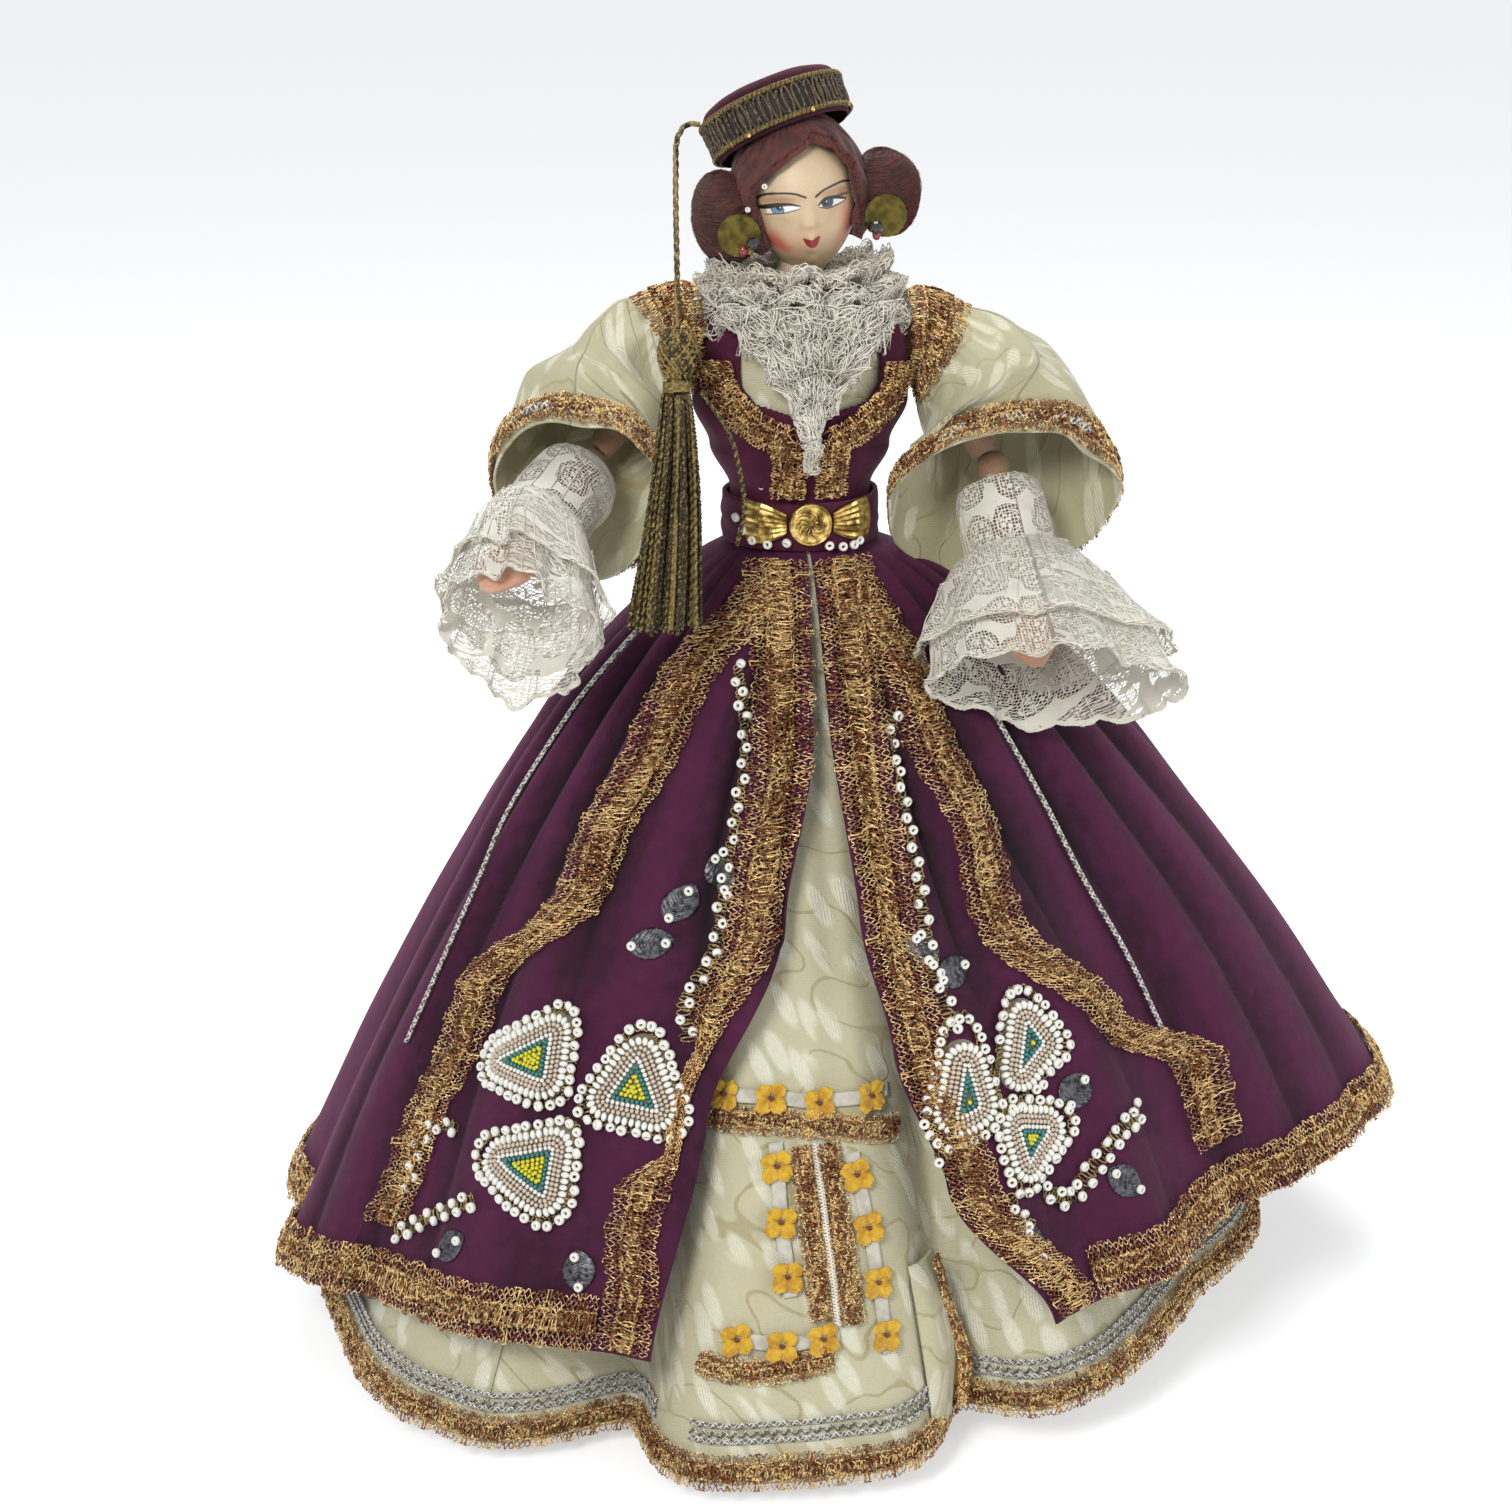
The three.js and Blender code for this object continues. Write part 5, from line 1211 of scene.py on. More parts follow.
gilt = brass("gilt_metal", shade(228, 198, 120), shade(104, 80, 40))
finish_nodes(gilt, "buckle_disc", "buckle_shell_right", "buckle_shell_left")
front = -(BELT_DEEP + 2.55 + 0.3 + 1.9)
a = round_row(48)
rim = np.stack([RIM_RADIUS * np.cos(a), np.full(a.shape, front - 0.1),
                WAIST + COIN_UP + RIM_RADIUS * np.sin(a)], -1)
threads("buckle_rim", rim, 0.42, gilt, "body", sides=6, loop=True)
sprig = []
for k in range(11):
    way = 2 * np.pi * k / 11 + 0.3
    s = np.linspace(0, 1, 12)
    r = 0.9 + 3.9 * s
    bend = way + 0.75 * s ** 2 + 0.12 * np.sin(9 * s)
    sprig.append(np.stack([r * np.cos(bend), front - 0.12 - 0.3 * np.sin(np.pi * s),
                           WAIST + COIN_UP + r * np.sin(bend)], -1))
threads("buckle_leaves", sprig, 0.4 * np.sin(np.linspace(0.5, 2.9, 12)) + 0.06, gilt, "body", sides=5)
print("belt and buckle made")

# %% [markdown]
# Each arm has a full brocade sleeve that ends in a bell, a narrow undersleeve of white lace and a flared
# lace cuff. The solids were lofted through rings, and the same rings, with many more rows and finer
# wrinkles, give the cloth. Right means the doll's own right arm.

# %% Shape of the sleeves
ARMS = {
    "right": {"side": -1, "elbow": (-32, -10, -39), "forearm": (-0.51, -0.78, -0.36), "cuff_start": 35,
              "sleeve": (((0, 0, 0), (-1, 0, 0), 12.5, 12.5), ((-9, -1, -6), (-.85, -.1, -.5), 14.5, 14.5),
                         ((-19, -5, -14), (-.7, -.3, -.65), 19, 19),
                         ((-28, -12, -24), (-.55, -.65, -.5), 23.5, 23.5),
                         ((-33, -19, -37), (-.4, -.85, -.35), 25.5, 25.5),
                         ((-36, -24, -46), (-.35, -.88, -.3), 25.5, 25.5)),
              "cuff": ((-2.6, -12.7, -24.2), (-.35, -.85, -.4), 23.5, 25)},
    "left": {"side": 1, "elbow": (24, -6, -41), "forearm": (0.1, -0.605, -0.79), "cuff_start": 30,
             "sleeve": (((0, 0, 0), (1, 0, 0), 12.5, 12.5), ((8.5, -1, -7), (.85, -.1, -.5), 15, 15),
                        ((17, -4, -14), (.65, -.3, -.7), 20, 20),
                        ((23, -10, -26), (.45, -.6, -.65), 26.5, 25),
                        ((25, -14, -38), (.15, -.82, -.5), 31, 27),
                        ((25, -18, -50), (.02, -.88, -.4), 33, 27)),
             "cuff": ((4.7, -33.5, -18.5), (-.15, -.7, -.7), 38, 24)},
}


def frame_of(out):
    """Directions out along an axis, across it and square to both."""
    out = unit(np.asarray(out, float))
    across = unit(np.cross([0, 0, 1.0], out))
    return out, across, np.cross(out, across)


def ring(centre, out, turn, half_a, half_b):
    """Rings of points: centre and out are one per row, turn one per column."""
    out, across, rise = frame_of(out)
    return (centre[..., None, :] + across[..., None, :] * (half_a * np.sin(turn))[..., None]
            + rise[..., None, :] * (half_b * np.cos(turn))[..., None])


def sleeve_grid(arm, where, turn, off=0.0, wrinkle=1.0):
    """Points on a sleeve. where is 0 at the shoulder and 1 at the hem."""
    stations = arm["sleeve"]
    where = np.asarray(where, float)
    place = where * (len(stations) - 1)
    step = np.minimum(place.astype(int), len(stations) - 2)
    share = (place - step)[:, None]
    outs, a, b = (np.array([s[k] for s in stations], float) for k in (1, 2, 3))
    out = outs[step] * (1 - share) + outs[step + 1] * share
    half_a = a[step, None] * (1 - share) + a[step + 1, None] * share
    half_b = b[step, None] * (1 - share) + b[step + 1, None] * share
    knots = smooth_line([s[0] for s in stations], 401)
    centre = knots[np.round(where * 400).astype(int)] + SHOULDER["right" if arm["side"] < 0 else "left"]
    w = where[:, None]
    t = np.clip((w - 0.08) / 0.32, 0, 1)
    gather = (0.7 * np.sin(np.pi * np.minimum(1, w * 1.6)) + 0.5 * w) * t * t * (3 - 2 * t)
    fold = gather * np.cos(7 * turn + 3 * w) + 1.2 * gather * np.cos(3 * turn - 5 * w)
    at_top = np.exp(-7 * np.clip(w - 0.02, 0, 1)) * np.clip(w / 0.08, 0, 1) * 1.1
    fine = at_top * np.sin(27 * turn + 3 * np.sin(5 * turn))
    grid = ring(centre, out, turn, half_a + fold + fine + off, half_b + fold + fine + off)
    small = lumps(grid * [1, 0.8, 0.6], 9, 8 + arm["side"])
    large = 1 + lumps(grid * [1, 1, 0.6], 21, 28 + arm["side"])
    rumple = 1.4 * small + 1.5 * large
    return swollen(grid, centre, wrinkle * rumple * np.clip(w * 4, 0, 1))


FOREARM, HAND = 44, 23  # millimetres long
CUFF_START = 15.9  # radius


def arm_line(arm):
    """The arm's shoulder, elbow, direction below the elbow and wrist."""
    shoulder = SHOULDER["right" if arm["side"] < 0 else "left"]
    elbow = shoulder + np.array(arm["elbow"], float)
    forward = unit(np.array(arm["forearm"], float))
    return shoulder, elbow, forward, elbow + forward * FOREARM


full_turn = round_row(200)
# The sleeves are the same brocade as the underskirt; their darker copy is painted shade.
sleeve_brocade_shaded = brocade("sleeve_brocade_shaded", shade(186, 180, 146), shade(226, 221, 194), STEM)
for side, arm in ARMS.items():
    rows = np.linspace(0.005, 1, 110)
    grid = sleeve_grid(arm, rows, full_turn, -0.15)
    cloth(f"brocade_sleeve_{side}", turned_out(grid), sleeve_brocade_shaded, f"arm_{side}", 0.9,
          loop=True, replaces=[f"sleeve_{side}"], held="gathered", rests_on=[f"upper_arm_{side}_stuffed"])

# %% [markdown]
# The hem of each sleeve is trimmed with three rows: gold lace, a chain of silver thread and gold lace
# again. Wider bronze and gold lace covers the armhole seam.

# %% Braid rows
def plaited(name, line, normal, width, finish, body, step, radius):
    """A plaited chain along a line: three strands that cross over each other from side to side."""
    length = length_along(line)
    count = max(8, int(length[-1] / (step / 8)))
    s = np.linspace(0, length[-1], count)
    line = at_lengths(s, length, line)
    normal = unit(at_lengths(s, length, normal))
    across = unit(np.cross(np.gradient(line, axis=0), normal))
    paths = []
    for k in range(3):
        a = s[:, None] / step * np.pi + 2 * np.pi * k / 3
        paths.append(line + across * width / 2 * np.sin(a) + normal * radius * (1 + 0.8 * np.cos(2 * a)))
    threads(name, paths, radius, finish, body)


def row_line(band, share, lift):
    """The line at a share of a band's width, and the directions off the band there."""
    row = np.full(band.shape[1], share * (band.shape[0] - 1))
    column = np.arange(band.shape[1]) * 1.0
    line = on_grid(band, row, column, lift)
    return line, unit(on_grid(band, row, column, lift + 1.0) - line)


for side, arm in ARMS.items():
    turn = np.linspace(0, 2 * np.pi, 161)[None]
    band = sleeve_grid(arm, np.linspace(1.0, 0.83, 9), turn, 1.5, 0.4)
    band = turned_out(band)
    gold_lace(f"lace_sleeve_{side}", band, 6.5, [f"sleeve_trim_{side}"], f"arm_{side}", 71 + arm["side"])
    line, off = row_line(band, 0.5, 0.9)
    plaited(f"silver_chain_sleeve_{side}", line, off, 2.6, silver_thread, f"arm_{side}", 2.6, 0.38)
    over = sleeve_grid(arm, np.linspace(0.01, 0.2, 12), np.linspace(-2.7, 2.7, 120)[None], 1.1, 0.2)
    inward = np.array([-arm["side"] * 1.0, 0, 0])
    over = np.concatenate([over[:1] + inward * reach + unit(over[:1] - over[:1].mean(1)) * -0.12 * reach
                           for reach in (3.6, 2.4, 1.2)] + [over])
    over = facing_out(over, over.mean((0, 1)) - [arm["side"] * 6, 0, 12], False)
    gold_lace(f"lace_shoulder_{side}", over, 7.5, [f"shoulder_lace_{side}"], f"arm_{side}", 81 + arm["side"])

# %% [markdown]
# The white lace is cotton net with flowers worked on it. A layer of net with real holes is the ground, and
# cotton threads draw the flowers and the scalloped edges on top.

# %% White lace undersleeves and cuffs
WHITE_REPEAT = 16.0  # millimetres from one worked flower to the next
white_motif = [rosette(0.5, 2.6, 5, WHITE_REPEAT), fan(0.84, 0.13, 0.96), fan(0.9, 0.08, 0.96),
               looped(0.985, 0.012, 14)]


def white_lace(name, grid, body, node=None, bands=1, seed=5, rests_on=()):
    """White lace over a tube of points whose rows run from the seam to the free edge."""
    size = grid.shape[0] // bands
    closed = closed_up(grid)
    made = piece(f"{name}_net", grid, [grid_faces(*grid.shape[:2], True)], white_net, body, laid_flat(grid))
    if node:
        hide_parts(node)
    work = []
    for k in range(bands):
        strip = closed[k * size:(k + 1) * size + (1 if k < bands - 1 else 0)]
        work.append(worked(f"{name}_flowers_{k + 1}", strip, WHITE_REPEAT, white_motif, 0.2, white_cotton,
                           body, 0.3, seed + k, 0.45))
    declare(made, closed, "gathered", rests_on, with_pieces=work)


for side, arm in ARMS.items():
    shoulder, elbow, forward, wrist = arm_line(arm)
    turn = round_row(180)
    reach = np.linspace(5.3, 40, 40)
    radius = np.interp(reach, (5, 8, 13, 40), (6.1, 13.3, 14.4, 14.4))[:, None]
    centre = elbow + forward * reach[:, None]
    tube = ring(centre, np.broadcast_to(forward, centre.shape), turn, radius, radius)
    tube = turned_out(swollen(tube, centre, 0.45 * lumps(tube, 7, 12) - 0.5))
    white_lace(f"lace_undersleeve_{side}", tube, f"forearm_{side}", f"undersleeve_{side}",
               rests_on=[f"forearm_{side}_stuffed"])
    hem_at, hem_out, wide, high = arm["cuff"]
    share = np.linspace(0, 1, 60)[:, None]
    start = elbow + forward * arm["cuff_start"]
    bend = share ** 1.3
    centre = (start + forward * 8 * share) * (1 - bend) + (wrist + np.array(hem_at)) * bend
    out = forward * (1 - share) + unit(np.array(hem_out, float)) * share
    wave = 2.3 * share * np.sin(6 * turn + np.sin(2 * turn)) + 1.3 * share * np.sin(4 * turn + 1)
    ripple = np.sin(13 * turn + 2 * np.sin(3 * turn) + share)
    fine = share ** 2 * (0.9 * ripple + 0.35 * np.sin(24 * turn + 2 * share))
    half = [CUFF_START + (h - CUFF_START) * share ** 0.7 + wave + fine - 0.4 for h in (wide, high)]
    scallop = 2.2 * np.abs(np.sin(8 * turn)) * np.clip((share - 0.84) / 0.16, 0, 1)
    cuff = ring(centre, out, turn, *half) + out[:, None] * scallop[..., None]
    cuff = swollen(cuff, centre, 1.6 * share * lumps(cuff, 13, 33 + arm["side"]))
    part = slice(16, 46)
    down = np.linspace(0, 1, 30)[:, None]
    stands_off = 1.0 + 3.2 * down + down * 1.3 * np.sin(9 * turn + 1.5 * np.sin(4 * turn))
    short = turned_out(swollen(cuff[part], centre[part], stands_off))
    white_lace(f"lace_flounce_{side}", short, f"forearm_{side}", seed=45, rests_on=[f"lace_cuff_{side}_net"])
    cuff = turned_out(cuff)
    white_lace(f"lace_cuff_{side}", cuff, f"forearm_{side}", f"cuff_ruffle_{side}", bands=2, seed=15,
               rests_on=[f"lace_undersleeve_{side}_net"])

# %% [markdown]
# The hands are flat felt mittens, two layers sewn along the edge and stuffed a little. The felt's fuzz is a
# fine noise in the bump, and the seam is a ridge along the rim.

# %% Felt hands
def felt(name, tone, deep):
    f = Finish(name)
    point = f.place()
    fibre = f.noise(point, 0.5, 5, 0.7)
    patch = f.noise(point, 6, 3, 0.6)
    colour = f.mix((fibre * 0.5 + patch * 0.6).between(0.35, 0.8), deep, tone)
    return f.surface(Base_Color=colour, Roughness=0.95 - fibre * 0.1, Sheen_Weight=0.4, Sheen_Roughness=0.6,
                     Normal=f.bump(fibre, 0.3, 0.9))


peach_felt = felt("peach_felt", shade(228, 178, 146), shade(196, 140, 110))
for side, arm in ARMS.items():
    shoulder, elbow, forward, wrist = arm_line(arm)
    s = np.linspace(0, 1, 60)
    stations = np.array([(0, 4.6, 3.9), (.16, 6.26, 4.4), (.42, 8.8, 5), (.7, 9.2, 4.6), (.9, 6.8, 3.6),
                         (1, 3.1, 1.8)])
    a, b = (smooth_line(stations[:, (0, k)], 60)[:, 1] for k in (1, 2))
    a, b = a * np.where(s > 0.97, 0.9, 1), b * 0.96
    turn = round_row(96)
    centre = wrist + forward * (s * HAND)[:, None]
    edge = np.abs(np.sin(turn)) ** 14
    hand = ring(centre, np.broadcast_to(forward, centre.shape), turn,
                (a[:, None] - 0.5) * (1 + 0.05 * edge) + 0 * turn, b[:, None] * (1 - 0.2 * edge) - 0.4)
    crease = np.exp(-((s[:, None] - 0.62 + 0.18 * np.sin(turn)) / 0.035) ** 2) * np.clip(np.cos(turn), 0, 1)
    hand = turned_out(swollen(hand, centre, -(0.7 * crease + 0.25 * lumps(hand, 5, 3))))
    points, faces = capped(hand, hand[0].mean(0), hand[-1].mean(0) + forward * 0.4)
    mitten = piece(f"felt_hand_{side}", points, faces, peach_felt, f"forearm_{side}", points)
    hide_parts(f"hand_{side}")
print("sleeves, cuffs and hands made")

# %% [markdown]
# The head is moulded composition with a painted face: side-glancing eyes, thin brows, a small red mouth and
# rouged cheeks. It leans and looks down, so everything on it is placed in its own turned frame first. The
# paint is a colour stored at each point of a dense mesh. Each painted shape is a formula: a stroke is the
# distance to a line, and a wash is a soft spot. Some washes are painted highlight and painted shade.

# %% Head frame and surface
HEAD_AT = np.array([0, -2, 360.17])
HEAD_WIDE, HEAD_DEEP, HEAD_HIGH = 17.2, 19, 22.5  # half sizes
pitch, roll = math.radians(15), math.radians(-9.5)
cp, sp, cr, sr = math.cos(pitch), math.sin(pitch), math.cos(roll), math.sin(roll)
nod = np.array([[1, 0, 0], [0, cp, -sp], [0, sp, cp]])
tilt = np.array([[cr, 0, sr], [0, 1, 0], [-sr, 0, cr]])
HEAD_TURN = nod @ tilt


def from_head(points):
    """Points of the head's own frame, in the doll's."""
    return np.asarray(points, float) @ HEAD_TURN.T + HEAD_AT


def skull(across, up, grown=0.0):
    """Points on the head, or on a layer grown over it. The jaw is narrower than the brow."""
    across, up = np.broadcast_arrays(across, up)
    scale = 1 + grown / HEAD_WIDE
    level = np.cos(up)
    low = np.maximum(np.sin(-up), 0)
    x = HEAD_WIDE * np.sin(across) * level * (1 - 0.3 * low ** 1.6) * scale
    y = -HEAD_DEEP * np.cos(across) * level * (1 - 0.1 * low) * scale
    z = HEAD_HIGH * np.sin(up) * scale
    return np.stack([x, y, z], -1)


def hill(across, up, at, height, size, rise):
    """A soft mound of the face, such as the nose or a cheek."""
    return rise * np.exp(-((across - at) ** 2 + (up - height) ** 2 / 0.9) / size ** 2)


t = np.linspace(-1, 1, 421)[:-1]
across = (np.pi * (0.42 * t + 0.58 * t ** 3))[None]
up = np.linspace(-1.42, 1.45, 330)[:, None]
face = skull(across, up)
face[..., 1] -= (hill(across, up, 0, -.3, .14, 2.6) + hill(across, up, 0, -.12, .11, 1.2)
                 + hill(across, up, 0, -.62, .16, 1.1) + hill(across, up, 0, -1, .24, 1.2))
for eye in (-0.42, 0.42):
    face[..., 1] += hill(across, up, eye, 0.02, 0.2, 0.9)
    face[..., 1] -= hill(across, up, eye, 0.17, 0.13, 0.55)
face[..., 1] += hill(across, up, 0, -.42, .045, 0.5) * 0.6 + hill(across, up, 0, -.8, .1, 0.5)
print("head of", face.shape[0] * face.shape[1], "points")

# %% Painted face
X, Z, FRONT = face[..., 0], face[..., 2], face[..., 1] < 2


def stroke(points, width, soft):
    """How much a brush stroke covers each point. width is one value, or one for each given point."""
    line = smooth_line(points, 80)
    wide = np.interp(np.linspace(0, 1, len(line)), np.linspace(0, 1, np.size(width)), np.atleast_1d(width))
    cover = np.zeros_like(X)
    for (x, z), w in zip(line, wide):
        cover = np.maximum(cover, 1 - np.clip((np.hypot(X - x, Z - z) - w / 2) / soft + 0.5, 0, 1))
    return cover * FRONT


def wash(x, z, wide, high, lean=0.0):
    """How much a soft spot of colour covers each point."""
    c, s = math.cos(lean), math.sin(lean)
    a, b = ((X - x) * c + (Z - z) * s) / wide, (-(X - x) * s + (Z - z) * c) / high
    return np.exp(-a * a - b * b) * FRONT


def between(lower, upper, soft=0.2):
    """The space between a lower and an upper line, both from left to right."""
    low, high = smooth_line(lower, 60), smooth_line(upper, 60)
    under = np.interp(X, low[:, 0], low[:, 1], left=99, right=99)
    over = np.interp(X, high[:, 0], high[:, 1], left=-99, right=-99)
    return np.clip((Z - under) / soft + 0.5, 0, 1) * np.clip((over - Z) / soft + 0.5, 0, 1) * FRONT


coat = np.ones(X.shape + (4,))
coat[..., :3] = shade(206, 181, 146)


def lay(colour, cover):
    """Paints a colour over the face where cover says so."""
    coat[..., :3] = coat[..., :3] * (1 - cover[..., None]) + np.array(colour) * cover[..., None]


speckle = lumps(face * [1, 0.4, 1], 2.2, 31) * 0.5 + lumps(face, 7, 32) * 0.6
lay(shade(206, 176, 138), np.clip(speckle * 0.5 + 0.25, 0, 0.6))
# Each wash: its colour, the most it may cover, and its spots: strength, place, half sizes and lean.
WASHES = (
    # Painted highlight on the brow, the ridge of the nose and the left cheek.
    ((221, 199, 167), 9, (0.7, -2, 15, 8, 6), (0.5, 0.4, 3, 1.6, 4), (0.35, -5, -1.5, 3, 2.5)),
    ((196, 82, 66), 0.85, (0.8, -10.8, -4.6, 4.0, 3.2, -0.7), (0.45, -8.2, -7.6, 3.2, 2.0, -0.5)),
    ((232, 120, 108), 0.8, (0.7, 12.6, -3.6, 2.4, 5.5, 0.2), (0.35, 10, -7.5, 3, 2.4)),
    ((214, 128, 108), 9, (0.4, -13.6, 1.2, 1.6, 4), (0.3, 13.6, 1.5, 1.4, 3)),
    ((150, 98, 62), 0.8, (0.75, -6.6, 8.6, 4.6, 1.25), (0.4, -11.2, 7.6, 2.6, 1.2)),
    ((150, 98, 62), 0.8, (0.6, 7.2, 8.1, 3.0, 1.1, -0.15), (0.6, 11.6, 6.8, 2.6, 1.2, -0.5)),
    # Painted shade under the nose and at its sides.
    ((166, 122, 84), 9, (0.6, 0.1, -0.6, 2.4, 0.9), (0.3, -2.4, 0.8, 0.9, 1.6), (0.3, 2.5, 0.6, 0.9, 1.4)),
    # Painted shadow under the chin, and painted shade beside the nose.
    ((188, 148, 108), 9, (0.5, -1, -12.6, 9, 1.6), (0.35, 2.4, 5, 1.2, 3)),
)
for tone, most, *spots in WASHES:
    lay(shade(*tone), np.clip(sum(strength * wash(*spot) for strength, *spot in spots), 0, most))


def disc(at, radius, soft, wide=1.0):
    """How much a round spot with a soft edge covers each point."""
    return 1 - np.clip((np.hypot((X - at[0]) * wide, Z - at[1]) - radius) / soft + 0.5, 0, 1)


SHUT_LEFT = ((-11.6, 4.2), (-9.3, 4.6), (-6.0, 5.2), (-2.0, 5.9))
OPEN_LEFT = ((-11.6, 5.9), (-8.3, 6.8), (-4.6, 7.0), (-2.0, 6.4))
SHUT_RIGHT = ((3.9, 5.3), (6.4, 4.4), (9.4, 4.1), (12.3, 3.9))
OPEN_RIGHT = ((3.9, 6.0), (5.8, 6.6), (8.7, 6.1), (12.3, 4.1))
for shut, lid, iris, pupil, blue in ((SHUT_LEFT, OPEN_LEFT, (-8.5, 5.75), (-8.0, 6.35), shade(112, 142, 172)),
                                     (SHUT_RIGHT, OPEN_RIGHT, (6.5, 5.7), (5.9, 6.1), shade(54, 66, 86))):
    eye = between(shut, lid)
    lay(shade(236, 238, 234), eye)
    lay(blue, eye * disc(iris, 1.75, 0.25))
    from_edge = np.abs(np.hypot(X - iris[0], Z - iris[1]) - 1.7)
    lay(shade(40, 52, 74), eye * 0.7 * (1 - np.clip((from_edge - 0.12) / 0.2, 0, 1)))
    lay(shade(14, 14, 18), eye * disc(pupil, 0.85, 0.25, 0.9))
    lay(shade(250, 250, 250), eye * disc((pupil[0] + 0.35, pupil[1] + 0.05), 0.2, 0.15))
INK = (22, 14, 14)
# Each brush stroke: its colour, strength and softness, the line, and the widths along it.
STROKES = (
    (INK, 1, 0.18, ((-14.3, 5.0), (-11.2, 6.2), (-8.3, 7.1), (-4.6, 7.3), (-1.9, 6.6)),
     (0.8, 1.3, 1.2, 0.8, 0.4)),
    (INK, 0.85, 0.18, ((-13.9, 6.6), (-12.6, 6.1), (-11, 6.3)), (0.25, 0.5, 0.6)),
    ((34, 40, 56), 1, 0.18, ((-12.3, 3.6), (-9.3, 4.4), (-6.0, 5.0), (-2.1, 5.8)), (0.2, 0.4, 0.35, 0.25)),
    (INK, 1, 0.18, ((3.7, 5.8), (5.8, 6.9), (8.7, 6.4), (12.5, 4.1)), (0.5, 1.1, 1.0, 0.5)),
    (INK, 0.8, 0.4, ((8.9, 6.6), (11, 6.0), (13.4, 5.0)), (0.4, 0.9, 0.5)),
    ((28, 30, 44), 1, 0.18, ((3.8, 5.1), (6.4, 4.1), (9.4, 3.8), (12.4, 3.7)), (0.3, 0.45, 0.4, 0.25)),
    (INK, 1, 0.18, ((-14.6, 7.0), (-11.3, 9.5), (-6.7, 10.4), (-2.8, 10.1), (0.2, 8.8)),
     (0.4, 0.65, 0.6, 0.65, 0.6)),
    (INK, 1, 0.18, ((3.3, 8.4), (5.9, 9.4), (9.3, 9.5), (12.5, 8.8), (15.7, 6.3)),
     (0.7, 0.65, 0.65, 0.55, 0.35)),
)
for tone, strength, soft, line, widths in STROKES:
    lay(shade(*tone), strength * stroke(line, widths, soft))
MOUTH_LOW = ((-2.5, -3.8), (-1.5, -6.0), (0.1, -6.55), (1.6, -6.3), (2.9, -4.1))
MOUTH_HIGH = ((-2.5, -3.6), (-1.2, -3.6), (0.15, -3.95), (1.6, -3.65), (2.9, -3.9))
lay(shade(222, 170, 140), 0.6 * wash(0.1, -5, 3.4, 2.2))
lay(shade(140, 22, 34), between(MOUTH_LOW, MOUTH_HIGH, 0.3))
lay(shade(104, 12, 24), 0.6 * between(MOUTH_LOW, MOUTH_HIGH, 0.3) * wash(0.1, -4.1, 2.6, 0.5))

f = Finish("painted_composition")
paint = f.add("Attribute", {"attribute_name": "paint"}, {}, "Color")
fleck = f.noise(f.place(), 0.35, 3, 0.6)
craze = f.cells(f.place(), 1.6, "DISTANCE_TO_EDGE", 1.0, flat=False).between(0.0, 0.035)
colour = f.mix(0.12 * fleck.between(0.45, 0.7), paint, shade(120, 84, 56))
f.surface(Base_Color=f.mix((1 - craze) * 0.08, colour, shade(110, 80, 60)), Roughness=0.42 + fleck * 0.15,
          Coat_Weight=0.12, Coat_Roughness=0.35, Normal=f.bump(fleck + craze * 0.2, 0.06, 0.6))
flat_face = facing_out(face, (0, 0, 0), False)
if flat_face is not face:
    coat = coat[:, ::-1]
points, faces = capped(from_head(flat_face), *from_head([[0, 0, -22.3], [0, 0, HEAD_HIGH]]))
tint = np.concatenate([coat.reshape(-1, 4), coat[0, :1], coat[-1, :1]])
head_piece = piece("painted_head", points, faces, f.material, "head", points, tint)
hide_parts("head")
print("face painted")

# %% [markdown]
# The hair is mohair, parted over the right brow, drawn back over the skull and rolled up over the ears. A
# smooth cap and two rolls carry the colour, and thousands of thin strands along the combing give the fuzz.

# %% Hair
def mohair(name, light, deep):
    f = Finish(name)
    point = f.place()
    strand = f.noise(point, 0.55, 4, 0.65)
    lock = f.noise(point, 5, 3, 0.5)
    colour = f.mix((strand * 0.6 + lock * 0.6).between(0.4, 0.85), deep, light)
    return f.surface(Base_Color=colour, Roughness=0.7, Sheen_Weight=0.2, Sheen_Roughness=0.4,
                     Normal=f.bump(strand, 0.3, 0.9))


hair_dark = mohair("auburn_hair", shade(100, 44, 36), shade(50, 20, 18))
HAIRLINE = ((-17.5, -24), (-14.8, -8.7), (-16.0, 3.3), (-16.8, 8.9), (-15.8, 12.5), (-9.0, 19.3),
            (-1.9, 23.0), (5.5, 25.4), (12.0, 21.9), (17.3, 13.3), (17.4, 0.4), (15.2, -7.6), (17.5, -24))


def in_face(x, z, y):
    """Whether a point lies in the window that the hair leaves for the face."""
    line = np.array(HAIRLINE, float)
    inside = np.zeros(np.shape(x), bool)
    for (xa, za), (xb, zb) in zip(line, np.roll(line, -1, 0)):
        crosses = (za > z) != (zb > z)
        where = xa + (z - za) * (xb - xa) / np.where(zb == za, 1e-9, zb - za)
        inside ^= crosses & (x < where)
    return inside & (y < 0)


across = np.linspace(-np.pi, np.pi, 301)[None, :-1]
up = np.linspace(-0.62, 1.5, 120)[:, None]
cap = skull(across, up, 4.4)
groove = np.sin(across * 26 + 3 * np.sin(up * 5)) * 0.18 + 0.3 * lumps(cap, 4, 21)
cap = pushed_out(cap, groove, (1, 1, 1))
faces = grid_faces(*cap.shape[:2], True)
flat_cap = cap.reshape(-1, 3)
middle = flat_cap[faces].mean(1)
open_face = in_face(middle[:, 0], middle[:, 2], middle[:, 1])
faces = faces[~open_face & ((middle[:, 2] > -9.5) | (middle[:, 1] > 3))]
made = piece("hair_cap_mohair", from_head(flat_cap), [faces], hair_dark, "head", flat_cap)
thicken(made, 3.4, -1 if facing_out(cap, (0, 0, 0), False) is cap else 1)
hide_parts("hair_cap")

ROLLS = {"right": (np.array([-23.3, -2.5, 0.0]), 1.0), "left": (np.array([25.6, -1.4, -1.5]), 0.95)}


